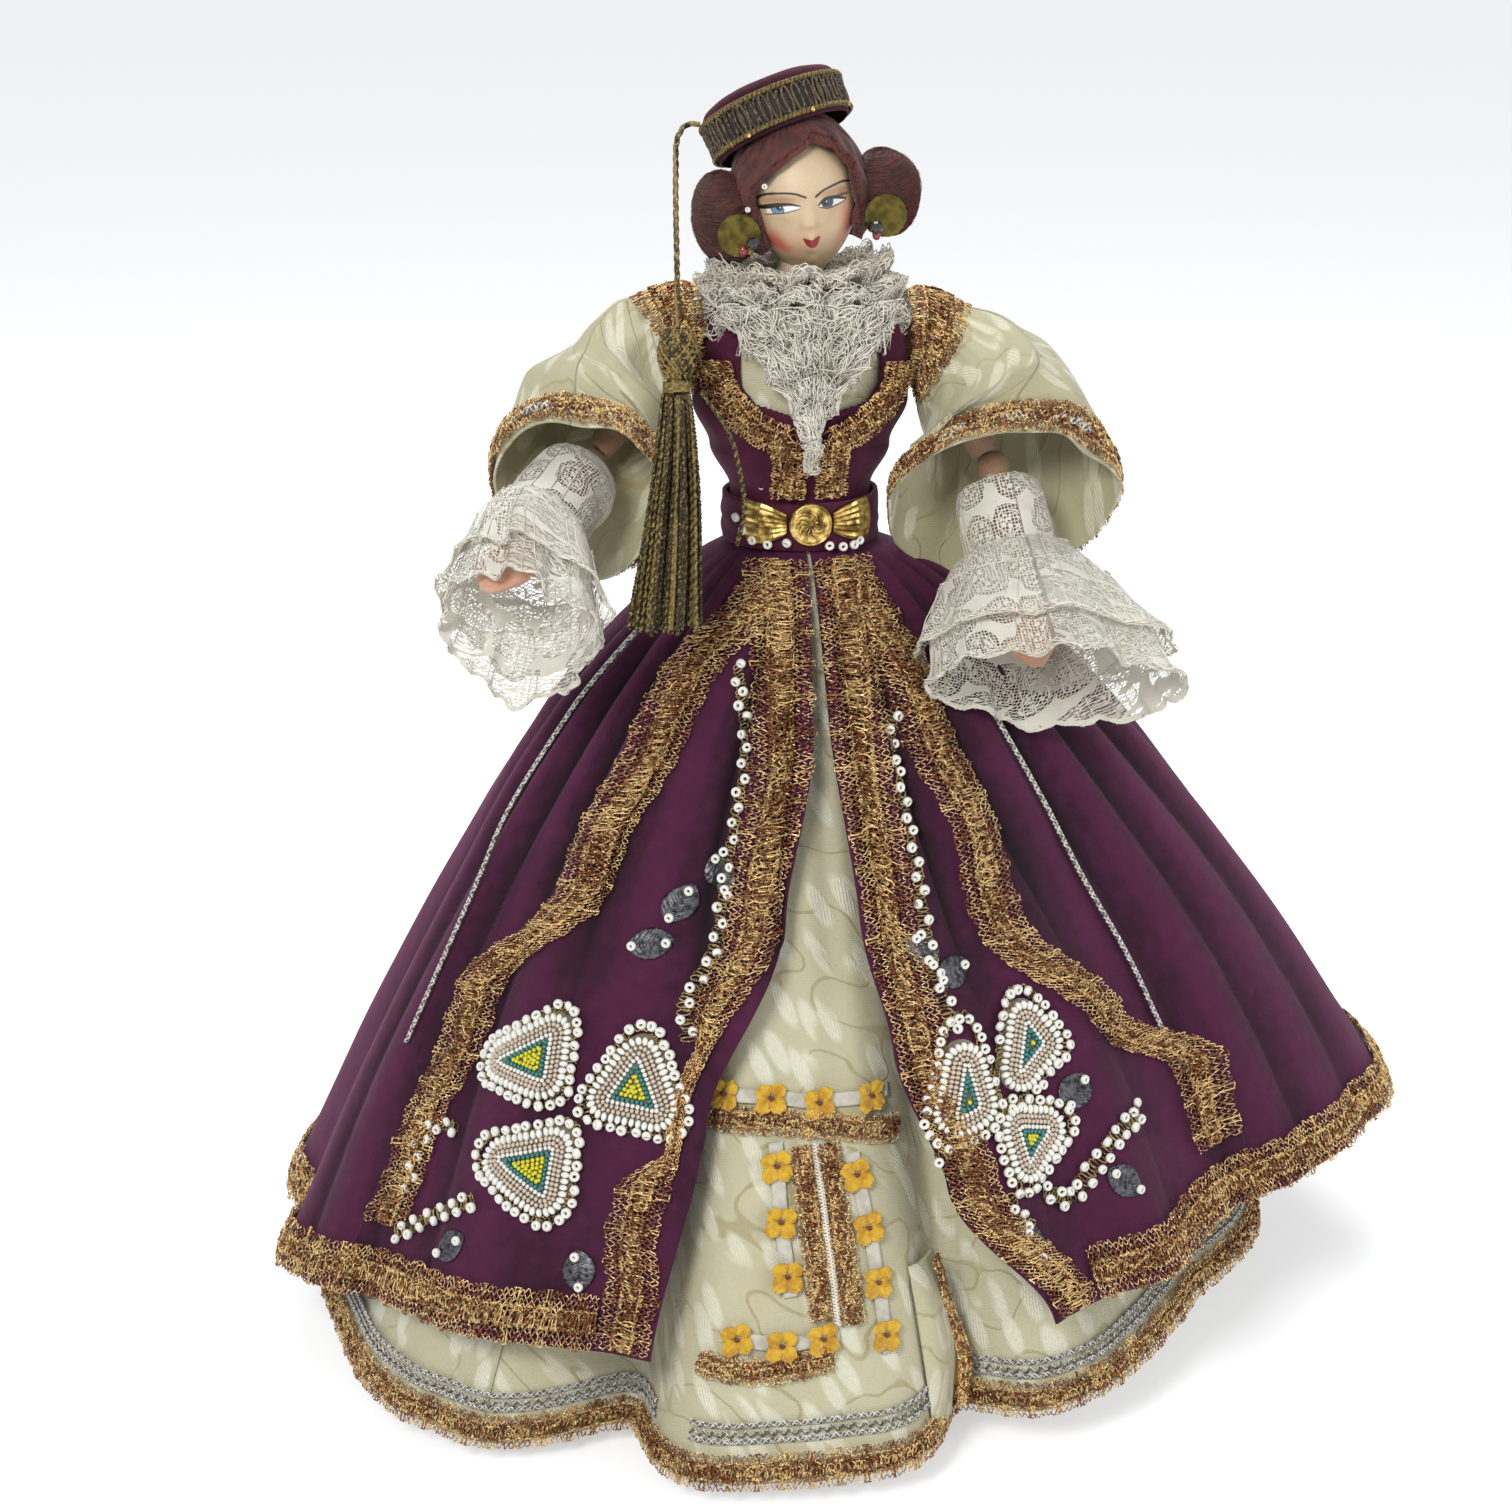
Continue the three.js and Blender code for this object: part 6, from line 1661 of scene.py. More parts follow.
def roll_surface(side, angle, up, off=0.0):
    """The surface of a side roll. angle is 0 in front and up runs from its foot to its top."""
    centre, size = ROLLS[side]
    angle, up = np.broadcast_arrays(angle, up)
    wide = np.cos(up) * (10.5 * size + off)
    swirl = 0.05 * np.cos(3 * angle + 2 * up)
    return centre + np.stack([0.6 * np.cos(2 * up) + wide * (1 + swirl) * np.sin(angle),
                              -wide * (1.14 + swirl) * np.cos(angle), np.sin(up) * (14 * size + off)], -1)


for side in ROLLS:
    angle = round_row(120)
    roll = roll_surface(side, angle, np.linspace(-1.45, 1.45, 80)[:, None], -0.3)
    roll += unit(roll - ROLLS[side][0]) * (0.35 * lumps(roll, 4, 23))[..., None]
    points, faces = capped(roll, roll[0].mean(0), roll[-1].mean(0))
    made = piece(f"hair_roll_{side}_mohair", from_head(points), faces, hair_dark, "head", points)
    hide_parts(f"hair_roll_{side}")
print("hair cap and rolls made")

# %% Strands of hair
pick = np.random.default_rng(77)
fine_hair = mohair("auburn_strands", shade(126, 60, 48), shade(62, 26, 22))


def combed(name, count, points, path, fuzz):
    """Strands: path(seed, t) gives their lines, and each wanders a little."""
    t = np.linspace(0, 1, points)[None]
    seed = pick.uniform(0, 1, (count, 4))
    lines = path(seed, t)
    wave = pick.uniform(0, 6.28, (count, 1, 3)) + 6.28 * t[..., None] * pick.uniform(1, 3, (count, 1, 3))
    lines = lines + fuzz * np.sin(wave) * t[..., None] ** 0.7
    taper = 0.1 * np.sqrt(np.clip(1.05 - t, 0.1, 1)) * np.ones((count, 1))
    return threads(name, from_head(lines), taper, fine_hair, "head", sides=3)


def hairline_fringe(seed, t):
    """Short strands that edge the face and run back."""
    line = np.array(HAIRLINE[1:-1], float)
    s = seed[:, :1] * (len(line) - 1.001)
    k = s.astype(int)
    edge = line[k[:, 0]] * (1 - (s - k)) + line[k[:, 0] + 1] * (s - k)
    x, z = edge[:, :1], edge[:, 1:]
    grow = 1 + 0.34 * t
    x, z = (0.95 + 0.06 * seed[:, 1:2]) * x * grow, z * (0.96 + 0.2 * t) + t * 2.2
    u = np.arcsin(np.clip(z / 28.3, -0.98, 0.98))
    a = np.arcsin(np.clip(x / (21.6 * np.cos(u)), -0.995, 0.995))
    return skull(a, u, 2.6 + 2.1 * np.sqrt(t))


combed("hair_fringe", 1700, 10, hairline_fringe, 0.18)


def swirl_on(side):
    """Strands that wind round a side roll."""
    def path(seed, t):
        turns = 2 * np.pi * (seed[:, :1] + (0.35 + 0.25 * seed[:, 2:3]) * t)
        up = (seed[:, 1:2] - 0.5) * 2.7 + 0.5 * t * (seed[:, 3:4] - 0.3)
        return roll_surface(side, turns, np.clip(up, -1.42, 1.42),
                            0.15 + 0.25 * np.sin(3 * t + 6 * seed[:, 3:4]))
    return path


for side in ROLLS:
    combed(f"hair_swirl_{side}", 1500, 12, swirl_on(side), 0.4)
print("strands combed")

# %% [markdown]
# The fez is a low crown of dark maroon velvet. A braid of upright loops between two cords goes round it, and
# a twisted cord hangs from its edge with a long tassel. It sits tilted on the back of the head.

# %% Fez
FEZ_SEAT = np.array([-1.6, 8.5, 16.6])
FEZ_TOP = 17.6
fez_up = unit(np.array([-0.199, 0.579, 0.791]))
cross = np.cross([0, 0, 1.0], fez_up)
k = np.array([[0, -cross[2], cross[1]], [cross[2], 0, -cross[0]], [-cross[1], cross[0], 0]])
FEZ_TURN = np.eye(3) + k + k @ k / (1 + fez_up[2])


def from_fez(points):
    return from_head(np.asarray(points, float) @ FEZ_TURN.T + FEZ_SEAT)


def widened(radius, z):
    """The radius of the fez's band at a height, given at its foot."""
    return radius + 0.5 * z / 11.4


def round_fez(radius, z, count):
    """A level ring of points round the fez."""
    a = round_row(count)[0]
    return np.stack([radius * np.sin(a), -radius * np.cos(a), z + 0 * a], -1)


maroon = velvet("maroon_velvet", shade(46, 14, 26), shade(78, 28, 44), shade(190, 110, 130), 0.35)
profile = smooth_line([(20.4, 0), (21.0, 0.6), (21.3, 6), (21.5, 12.6), (20.9, 14.4), (18.5, 15.9),
                       (13, 16.9), (7, 17.4), (1.2, FEZ_TOP)], 80)
crown = np.stack([round_fez(r, z, 200) for r, z in profile])
crown = pushed_out(crown, 0.22 * lumps(crown, 6, 51), (1, 1, 0.2))
points, faces = capped(crown, last_tip=(0, 0, FEZ_TOP))
made = piece("velvet_fez", from_fez(points), faces, maroon, "head", points)
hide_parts("fez_crown")

braid_thread = metal_thread("dark_braid", shade(104, 88, 66), shade(52, 42, 34), 0.5, 0.25)
olive_cord = metal_thread("olive_cord", shade(134, 114, 58), shade(70, 56, 30), 0.42, 0.4)
tape = np.stack([round_fez(widened(21.25, z), z, 200) for z in np.linspace(1.0, 12.0, 14)])
made = piece("fez_braid_tape", from_fez(tape), [grid_faces(*tape.shape[:2], True)],
             cotton_thread("braid_tape", shade(66, 54, 44), shade(36, 29, 26)), "head", tape)
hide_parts("fez_band")
loops = []
for k in range(58):
    a = 2 * np.pi * k / 58
    s = np.linspace(0, 2 * np.pi, 29)
    z = 6.5 - 4.4 * np.cos(s)
    turn = a + (0.052 + 0.006 * np.sin(2 * s)) * np.sin(s) + 0.02 * np.sin(k * 2.4)
    radius = widened(22.0, z) + 0.12 * np.sin(5 * s + k)
    loops.append(np.stack([radius * np.sin(turn), -radius * np.cos(turn), z], -1))
threads("fez_braid_loops", from_fez(np.array(loops)), 0.42, braid_thread, "head", sides=5)
CORD_HALF = 0.55
for name, z in (("low", 1.7), ("high", 11.6)):
    a = np.linspace(0, 2 * np.pi, 1400)
    paths = []
    for strand in range(3):
        b = 95 * a + 2 * np.pi * strand / 3
        radius = widened(22.1, z) + CORD_HALF * 0.6 * np.cos(b)
        paths.append(np.stack([radius * np.sin(a), -radius * np.cos(a), z + CORD_HALF * np.sin(b)], -1)[:-1])
    threads(f"fez_cord_{name}", from_fez(np.array(paths)), 0.36, olive_cord, "head", sides=4, loop=True)
glints = np.array([round_fez(22.5, 1.4, 40)[k] for k in (3, 37, 31, 35, 8)])
scattered("fez_gilt_spangles", ball_shape(), from_fez(glints),
          from_fez(glints * [2, 2, 1]) - from_fez(glints), np.full((5, 3), (0.8, 0.9, 0.4)), gilt, "head")
print("fez made")

# %% [markdown]
# The tassel hangs on one twisted cord of three strands. The cord leaves the fez, goes limp over the shoulder
# and ends in the woven knot. The tassel below is 62 twisted strands.

# %% Tassel
CORD_LINE = ((-29.4, 7, 382.3), (-33.5, 7.5, 382), (-36.5, 5, 378.5), (-37.8, -1, 369), (-39.6, -18.2, 346.5),
             (-40.6, -29.5, 327.6))
STRAND_LINE = ((-41.6, -32.6, 310.2), (-42.3, -36.5, 304.2), (-43.5, -44, 291.2), (-45.2, -50, 276.2),
               (-46.6, -53, 260), (-48, -54.5, 244))
bronze = metal_thread("bronze_thread", shade(150, 128, 70), shade(46, 38, 22), 0.36, 0.3)


def along_line(line):
    """Two directions across a smooth line, that don't twist round it."""
    heading = unit(np.gradient(line, axis=0))
    side = unit(np.cross(heading, [0.2, 1, 0.1]))
    return side, np.cross(heading, side)


def twisted(line, strands, reach, pitch_mm, start=0.0):
    """Strands wound round a line."""
    side, rise = along_line(line)
    s = length_along(line)[:, None]
    return np.stack([line + side * reach * np.cos(2 * np.pi * (s / pitch_mm + k / strands) + start)
                     + rise * reach * np.sin(2 * np.pi * (s / pitch_mm + k / strands) + start)
                     for k in range(strands)])


cord_path = smooth_line(CORD_LINE, 240)
side_way, rise_way = along_line(cord_path)
length = length_along(cord_path)
a = round_row(24)
radius = 0.8 + 0.15 * np.cos(3 * (a - 2 * np.pi * length[:, None] / 11.0))
across = side_way[:, None] * np.cos(a)[..., None] + rise_way[:, None] * np.sin(a)[..., None]
tube = cord_path[:, None] + across * radius[..., None]
rows, columns = tube.shape[:2]
first_ring = np.arange(columns)[None]
faces = [grid_faces(rows, columns, True)[:, ::-1], first_ring, (first_ring + (rows - 1) * columns)[:, ::-1]]
cord = piece("tassel_cord_twisted", tube, faces, bronze, "tassel", tube)
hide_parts("tassel_cord")
end, hang = np.array(CORD_LINE[-1]), unit(np.array(STRAND_LINE[0]) - np.array(CORD_LINE[-1]))
_, side_way, rise_way = frame_of(hang)


def knot_swell(s):
    """The knot's radius along it, as a share of the widest place."""
    return 0.42 + 0.58 * np.sin(np.pi * (0.12 + 0.8 * s))


knot = []
for k in range(26):
    s = np.linspace(0, 1, 44)
    radius = 5.6 * knot_swell(s) + 0.25 * np.sin(16 * np.pi * s + (k % 2) * np.pi)
    a = 2 * np.pi * k / 26 + (2.2 if k % 2 else -2.2) * s
    knot.append(end + hang * (0.5 + 14.4 * s)[:, None] + side_way * (radius * np.sin(a))[:, None]
                + rise_way * (radius * np.cos(a))[:, None])
knot_piece = threads("tassel_knot_woven", knot, 0.5, bronze, "tassel", sides=5)
s = np.linspace(0, 1.14, 34)[:, None]
a = round_row(40)
radius = 5.3 * knot_swell(np.minimum(s, 1))
across = side_way * np.sin(a)[..., None] + rise_way * np.cos(a)[..., None]
heart = (end + hang * (0.4 + 14.6 * s))[:, None] + across * radius[..., None]
heart_piece = piece("tassel_knot_core", heart, [grid_faces(34, 40, True)], bronze, "tassel", heart)
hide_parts("tassel_knot")
a = np.linspace(0, 2 * np.pi * 6, 240)
bind_at = end + hang * 15.9
binding = (bind_at + hang * (a / a[-1] * 3.0)[:, None] + side_way * (3.8 * np.sin(a))[:, None]
           + rise_way * (3.8 * np.cos(a))[:, None])
binding_piece = threads("tassel_binding_cord", binding[None], 0.42, bronze, "tassel", sides=6)
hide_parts("tassel_binding")

pick = np.random.default_rng(9)
fall = smooth_line([bind_at + hang * 3.4, *STRAND_LINE[2:]], 70)
share = np.linspace(0, 1, 70)
strands = []
for k in range(62):
    a = 2 * np.pi * (k * 0.381966) + 0.2 * pick.normal()
    deep = math.sqrt((k + 0.7) / 62)
    radius = deep * (3.9 + (11.4 - 3.9) * share ** 0.9) + 0.35 * np.sin(5 * share + 6 * pick.random())
    sway = 0.5 * np.sin(4 * share + a) * share
    line = fall + np.stack([(radius + sway) * np.sin(a), -(radius + sway) * np.cos(a), 0 * share], -1)
    line[:, 2] -= share * (0.4 + 0.6 * pick.random())
    strands.extend(twisted(line, 2, 0.42, 2.6, a))
strand_piece = threads("tassel_strands", np.array(strands), 0.5, bronze, "tassel", sides=4)
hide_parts("tassel_skirt")
stray = smooth_line([(-34.5, -34, 309), (-27, -38, 298), (-24, -44, 286), (-23.4, -48, 276),
                     (-26, -50.5, 266)], 90)
threads("tassel_stray_strand", twisted(stray, 2, 0.42, 2.6), 0.45, bronze, "tassel", sides=4)
print(f"tassel cord {length[-1]:.0f} mm, {len(strands) // 2} strands below the knot")

# %% [markdown]
# The earrings are dished brass discs with a black glass bead in each and a red drop below. The discs and the
# black beads are solids of the frame.

# %% Earrings and hair beads
def glass(name, tone, roughness=0.12, coat=0.5):
    f = Finish(name)
    swirl = f.noise(f.place(), 0.9, 3, 0.6)
    colour = f.mix(swirl.between(0.35, 0.75) * 0.35, tone, tuple(min(1, c * 1.6 + 0.02) for c in tone))
    return f.surface(Base_Color=colour, Roughness=roughness + swirl * 0.1, Coat_Weight=coat,
                     Coat_Roughness=0.05)


olive_brass = brass("olive_brass", shade(104, 92, 46), shade(78, 70, 36), 0.36, 0.04)
black_glass = glass("black_glass", shade(16, 16, 18))
red_glass = glass("red_glass", shade(128, 26, 36))
white_bead = glass("white_beads", shade(232, 232, 226), 0.22)
finish_nodes(olive_brass, "earring_disc_right", "earring_disc_left")
finish_nodes(black_glass, "earring_bead_right", "earring_bead_left")
drops_at = from_head([(-20.6, -18.9, -4.1), (19.6, -19.0, -6.4)])
scattered("earring_red_drops", ball_shape(16, 12), drops_at, (0, 0, 1), np.full((2, 3), (1.35, 1.35, 1.75)),
          red_glass, "head")
u = np.arcsin(np.array([14.0, 6.6]) / 28.2)
a = np.arcsin(np.array([-11.0, -16.6]) / (21.6 * np.cos(u)))
beads_at = skull(a, u, 5.2)
scattered("hair_beads", ring_shape(), from_head(beads_at), from_head(beads_at * 2) - from_head(beads_at),
          np.full(2, 0.9), white_bead, "head")
print("earrings made")

# %% [markdown]
# The collar is a ruff of crumpled white lace that runs down the front as a jabot. Its threads stand up in
# tangled loops. Three rumpled rings of net and the jabot's sheet carry them, and some 4,500 short curly
# threads stand on these.

# %% Ruff and jabot
NECK_TOP = 334.0
turn = round_row(240)
reach = np.linspace(0, 1, 26)[:, None]


def ruff_layer(wide, deep, rise, power, seed):
    """A rumpled ring of net round the neck. rise is how far its edge stands over the neck's top."""
    rumple = reach * (3.0 * np.sin(11 * turn + 2 * reach + seed) + 1.1 * np.sin(17 * turn + 3 * reach)
                      + 0.7 * np.sin(29 * turn + seed))
    height = NECK_TOP + 1.6 + rise * reach ** power + rumple * 0.9
    a, b = (8.4 + (size - 8.4) * reach + 0.5 * rumple for size in (wide, deep))
    return facing_out(np.stack([a * np.sin(turn), -b * np.cos(turn), height], -1), (0, 0, 0), False)


RUFF_LAYERS = ((28.3, 23.3, 4.0, 2.4, 0.0), (31.5, 26, -4.5, 2.0, 1.3), (34, 27.5, -13, 1.6, 2.1))
layers = [ruff_layer(*layer) for layer in RUFF_LAYERS]
SHARE = np.linspace(0, 1, 120)[:, None]
s = np.linspace(-1, 1, 80)[None]
up = 69.5 - 49.5 * SHARE
half = mixed_step(((20, 0.3), (27, 1.2), (34, 3.4), (41, 8), (50, 14.5), (60, 22), (70, 27)), up)
jabot = on_body(s * half, np.minimum(up, 60), 5.1 + 0.6 * np.abs(s))
jabot[..., 2] = WAIST + up - 1.5 * np.abs(np.sin(3 * s))
frill = SHARE * 5.2 + 0.3 * np.cos(3 * s) + 0.1 * np.sin(9 * s + 4)
standing = (frill % 1) ** 1.4 * np.clip(half / 9, 0.3, 1)
waves = np.sin(13 * s * (0.4 + half / 25) + 2.4 * np.floor(frill))
crumple = 1.6 + 3.0 * standing + (0.3 + 1.5 * standing) * waves + 0.5 * lumps(jabot, 5, 91)
jabot[..., 1] -= crumple
jabot = facing_out(jabot)


def curls(name, band, count, size, seed, lift, hang=1.5):
    """Short curly threads that stand on a sheet here and there."""
    pick = np.random.default_rng(seed)
    rows, columns = band.shape[:2]
    r0 = pick.uniform(0.5, rows - 1.5, (count, 1))
    c0 = pick.uniform(0.5, columns - 1.5, (count, 1))
    t = np.linspace(0, 1, 16)[None]
    per_row = np.linalg.norm(np.diff(band, axis=0), axis=2).mean()
    per_column = np.linalg.norm(np.diff(band, axis=1), axis=2).mean()
    way = pick.uniform(0, 6.28, (count, 1))
    bend = pick.uniform(5, 15, (count, 1)) * np.sign(pick.uniform(-1, 1, (count, 1)))
    long = size * pick.uniform(0.5, 1.3, (count, 1))
    angle = way + bend * t + 0.8 * np.sin(6 * t + way)
    dx = np.cumsum(np.cos(angle), 1) * long / 16
    dy = np.cumsum(np.sin(angle), 1) * long / 16
    h = lift[0] + lift[1] * np.sin(np.pi * t) * pick.uniform(0.3, 1.0, (count, 1))
    row = np.clip(r0 + hang * dy / per_row, 0, rows - 1)
    column = np.clip(c0 + dx / per_column, 0, columns - 1)
    return threads(name, on_grid(band, row, column, h), 0.2, white_cotton, "body", sides=4)


nets = []
for k, layer in enumerate(layers):
    closed = closed_up(layer)
    net = piece(f"lace_ruff_{k + 1}_net", layer, [grid_faces(*layer.shape[:2], True)], ruff_net, "body",
                laid_flat(layer))
    work = [curls(f"lace_ruff_{k + 1}_threads", closed, 620, 12, 3 + k, (0.2, 4.0)),
            curls(f"lace_ruff_{k + 1}_edge", closed[15:], 560, 11, 13 + k, (-0.5, 4.0))]
    nets.append((net, closed, work))
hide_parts("lace_ruff")
front = piece("lace_jabot_net", jabot, [grid_faces(120, 80)], ruff_net, "body", laid_flat(jabot))
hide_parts("lace_jabot")
nets.append((front, jabot, [curls("lace_jabot_threads", jabot, 620, 11, 5, (0.2, 2.4), 3.2),
                            curls("lace_jabot_top_threads", jabot[:48], 380, 13, 6, (0.5, 5.0), 3.2)]))
for sheet, grid, work in nets:
    declare(sheet, grid, "gathered", ["velvet_bodice"], with_pieces=work)
print("ruff and jabot made")

# %% [markdown]
# Three bead medallions are sewn on each front panel. Each was made from the middle outwards: beads fill a
# triangle, and further rows follow its sides, with the largest beads on the rim. Here a row is the same
# triangle moved outwards, with rounded corners, and beads stand on it at even steps. A rocaille bead is
# wider than long, so in a row each one stands on its edge, side by side with the next.

# %% Places on the velvet
def scale_at(spot):
    """Millimetres per degree and per whole drop at a spot on the overskirt."""
    degrees, drop = spot
    step = skirt(OVER, degrees, drop + 0.05) - skirt(OVER, degrees, drop)
    return math.radians(1) * float(radius_at(OVER, degrees, drop)), float(np.linalg.norm(step)) / 0.05


def on_velvet(spot, flat_points, lift):
    """Points on the overskirt, given in millimetres across and up from a spot."""
    per_degree, per_drop = scale_at(spot)
    flat_points = np.asarray(flat_points, float)
    return velvet_at(spot[0] + flat_points[..., 0] / per_degree, spot[1] - flat_points[..., 1] / per_drop,
                     lift)


def off_velvet(spot, flat_points):
    """Directions straight off the cloth at the same places."""
    return unit(on_velvet(spot, flat_points, 1.0) - on_velvet(spot, flat_points, 0.0))


def row_round(corners, off, sharp=0.0, step=None, count=None):
    """Even points round a triangle moved outwards by off. A sharp share of that keeps its corners."""
    sides = np.linalg.norm(np.roll(corners, -1, 0) - np.roll(corners, -2, 0), axis=1)
    middle = (corners * sides[:, None]).sum(0) / sides.sum()
    a, b = corners[1] - corners[0], corners[2] - corners[0]
    inside = abs(a[0] * b[1] - a[1] * b[0]) / sides.sum()
    keeps = min(off, 0.0) if off < 0 else off * sharp
    if inside + keeps < 0.5:
        return middle[None]
    moved = middle + (corners - middle) * (inside + keeps) / inside
    line = []
    for k in range(3):
        first, second = moved[k] - moved[k - 1], moved[(k + 1) % 3] - moved[k]
        start = math.atan2(-first[0], first[1])
        bend = (math.atan2(-second[0], second[1]) - start) % (2 * math.pi)
        turn = start + bend * np.linspace(0, 1, 10)
        line.append(moved[k] + (max(off, 0.0) - max(keeps, 0.0)) * np.stack([np.cos(turn), np.sin(turn)], -1))
    line = np.concatenate([*line, line[0][:1]])
    length = length_along(line)
    count = count or max(3, round(length[-1] / step))
    place = (np.arange(count) + 0.5) / count * length[-1]
    return at_lengths(place, length, line)

# %% Bead rows of the medallions
# The corners of each medallion's inner triangle, in degrees and drop.
MEDALLIONS = {
    "right_1": ((-47.4, .612), (-54.2, .651), (-46.4, .664)),
    "right_2": ((-33, .629), (-35.6, .678), (-29, .687)),
    "right_3": ((-48.8, .772), (-42.2, .752), (-41.8, .808)),
    "left_1": ((17.4, .648), (17.8, .698), (14.8, .707)),
    "left_2": ((30.6, .624), (32, .652), (27.2, .676)),
    "left_3": ((24.2, .747), (28.8, .761), (24.4, .786)),
}
# Each row: how far out, the step along it, half sizes of a bead out, up and along, and its colour.
BEAD_ROWS = ((5.75, 1.95, (1.5, 1.3, 0.9), "white"), (3.65, 1.45, (.76, .8, .66), "beige"),
             (2.2, 1.45, (.76, .8, .66), "beige"), (.75, 1.45, (.74, .78, .66), "white"),
             (-.65, 1.4, (.74, .8, .66), "teal"), (-1.95, 1.4, (.72, .8, .66), "yellow"),
             (-3.2, 1.4, (.72, .84, .66), "yellow"), (-4.5, 1.4, (.72, .84, .66), "yellow"))
RIM = 8.7
bead_glass = {"white": glass("white_rocaille", shade(236, 234, 224), 0.28, 0.35),
              "beige": glass("beige_rocaille", shade(200, 184, 166), 0.34, 0.25),
              "teal": glass("teal_rocaille", shade(20, 112, 108), 0.3, 0.35),
              "yellow": glass("yellow_rocaille", shade(206, 198, 30), 0.3, 0.35)}
pad_felt = felt("medallion_pad", shade(150, 136, 116), shade(104, 92, 76))
pick = np.random.default_rng(31)
row_beads = {tone: [] for tone in bead_glass}
rim_beads, wire_loops = [], []


def counter_clockwise(corners):
    a, b = corners[1] - corners[0], corners[2] - corners[0]
    return corners if a[0] * b[1] > a[1] * b[0] else corners[::-1]


def wire_loop(spot, at, heading, long, wide, lift):
    """A small loop of wire that stands a little off the cloth."""
    a = np.linspace(0, 2 * np.pi, 11)[:-1] + pick.uniform(0, 6.28)
    side = np.array([-heading[1], heading[0]])
    flat_points = at + np.outer(long * np.cos(a), heading) + np.outer(wide * np.sin(a), side)
    return on_velvet(spot, flat_points, lift + 0.45 * np.sin(a + pick.uniform(0, 6.28)))


for name, places in MEDALLIONS.items():
    spot = tuple(np.mean(places, axis=0))
    per_degree, per_drop = scale_at(spot)
    corners = counter_clockwise((np.array(places) - spot) * [per_degree, -per_drop])
    pad = [on_velvet(spot, row_round(corners, off, count=60), lift) for off,
           lift in ((7.3, 0.0), (7.2, 0.7), (6.2, 1.2), (4.5, 1.5), (3.0, 1.6), (1.5, 1.8), (0.2, 2.0))]
    pad = facing_out(np.array(pad), (0, 0, 0))
    ring_of = np.arange(60)
    hub = pad[-1].mean(0)
    middle_fan = np.stack([6 * 60 + (ring_of + 1) % 60, 6 * 60 + ring_of, np.full(60, 420)], -1)
    outward = np.cross(pad[0, 1] - pad[0, 0], pad[1, 0] - pad[0, 0]) @ (hub * [1, 1, 0]) > 0
    faces = [grid_faces(7, 60, True), middle_fan[:, ::-1]]
    points = np.concatenate([pad.reshape(-1, 3), hub[None]])
    made = piece(f"medallion_pad_{name}", points, faces if outward else [f[:, ::-1] for f in faces], pad_felt,
                 "body", points)
    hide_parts(f"bead_medallion_{name}")
    for off, step, size, tone in BEAD_ROWS:
        row = row_round(corners, off, step=step) + pick.normal(0, 0.05, 2)
        lift = np.interp(off, (-4, 0, 6), (3.0, 2.75, 2.1))
        centres = on_velvet(spot, row, lift + pick.normal(0, 0.06, len(row)))
        along = np.roll(centres, -1, 0) - centres if len(row) > 2 else np.tile([1.0, 0, 0], (len(row), 1))
        sizes = np.array(size) * pick.normal(1, 0.05, (len(row), 3))
        row_beads[tone].append((centres, along, off_velvet(spot, row), sizes))
    rim = row_round(corners, RIM, 0.16, step=3.6)
    rim_beads.append((spot, rim + pick.normal(0, 0.25, rim.shape)))
    for at in row_round(corners, RIM - 1.2, 0.25, step=1.4):
        out = unit(at)
        wire_loops.append(wire_loop(spot, at + out * pick.uniform(-0.5, 0.9), out, 1.35, 0.8, 1.2))
for tone, rows in row_beads.items():
    centres, along, off_cloth, sizes = (np.concatenate(part) for part in zip(*rows))
    scattered(f"{tone}_bead_rows", ball_shape(9, 6), centres, along, sizes, bead_glass[tone], "body",
              off_cloth)
    print(len(centres), tone, "beads in the medallions")

# %% [markdown]
# Loose strings of white beads on looped wire run round the medallions, away from them to the sides, and
# along the lace of both front edges. A bead here lies flat, so that its dark hole shows.

# %% Bead strings and wire loops
# Lines in degrees and drop, the step from bead to bead, and how far the beads stand to either side.
STRINGS = (
    (((-60, .755), (-64.5, .765), (-65.3, .795), (-64.2, .845)), 3.4, 1.6),
    (((-51.5, .832), (-55, .852), (-59.5, .878), (-64, .908)), 2.9, 2.0),
    (((26, .836), (30, .858), (34, .83), (40, .792), (46, .786)), 2.5, 1.9),
    (((19.2, .734), (15, .746), (10.8, .763)), 3.0, 1.3),
    (((19.8, .82), (20.6, .845), (22.4, .868)), 3.4, 0.9),
)
strings = []
for line, step, swing in STRINGS:
    strings.append((smooth_line(line, 200), step, swing))
for side, sign, (start, end) in (("right", -1, (.13, .6)), ("left", 1, (.2, .6))):
    drop = np.linspace(start, end, 200)
    strings.append((np.stack([lace_inner(side, drop, 2.2), drop], -1), 4.4, 1.1))
for path, step, swing in strings:
    spot = tuple(path[100])
    per = np.array(scale_at(spot)) * [1, -1]
    flat_line = (path - spot) * per
    length = length_along(flat_line)
    heading = unit(np.gradient(flat_line, axis=0))
    for k, s in enumerate(np.arange(0.5, length[-1], step)):
        i = int(np.searchsorted(length, s))
        side_way = np.array([-heading[i][1], heading[i][0]])
        at = flat_line[i] + side_way * swing * (-1) ** k
        rim_beads.append((spot, at[None] + pick.normal(0, 0.3, (1, 2))))
    for s in np.arange(0.3, length[-1], 1.35 if swing > 0.5 else 1.9):
        i = min(int(np.searchsorted(length, s)), 199)
        side_way = np.array([-heading[i][1], heading[i][0]])
        wire_loops.append(wire_loop(spot, flat_line[i] + side_way * pick.uniform(-0.5, 0.5), side_way,
                                    1.0 + 0.6 * swing, 0.75, 1.0))
centres, normals = [], []
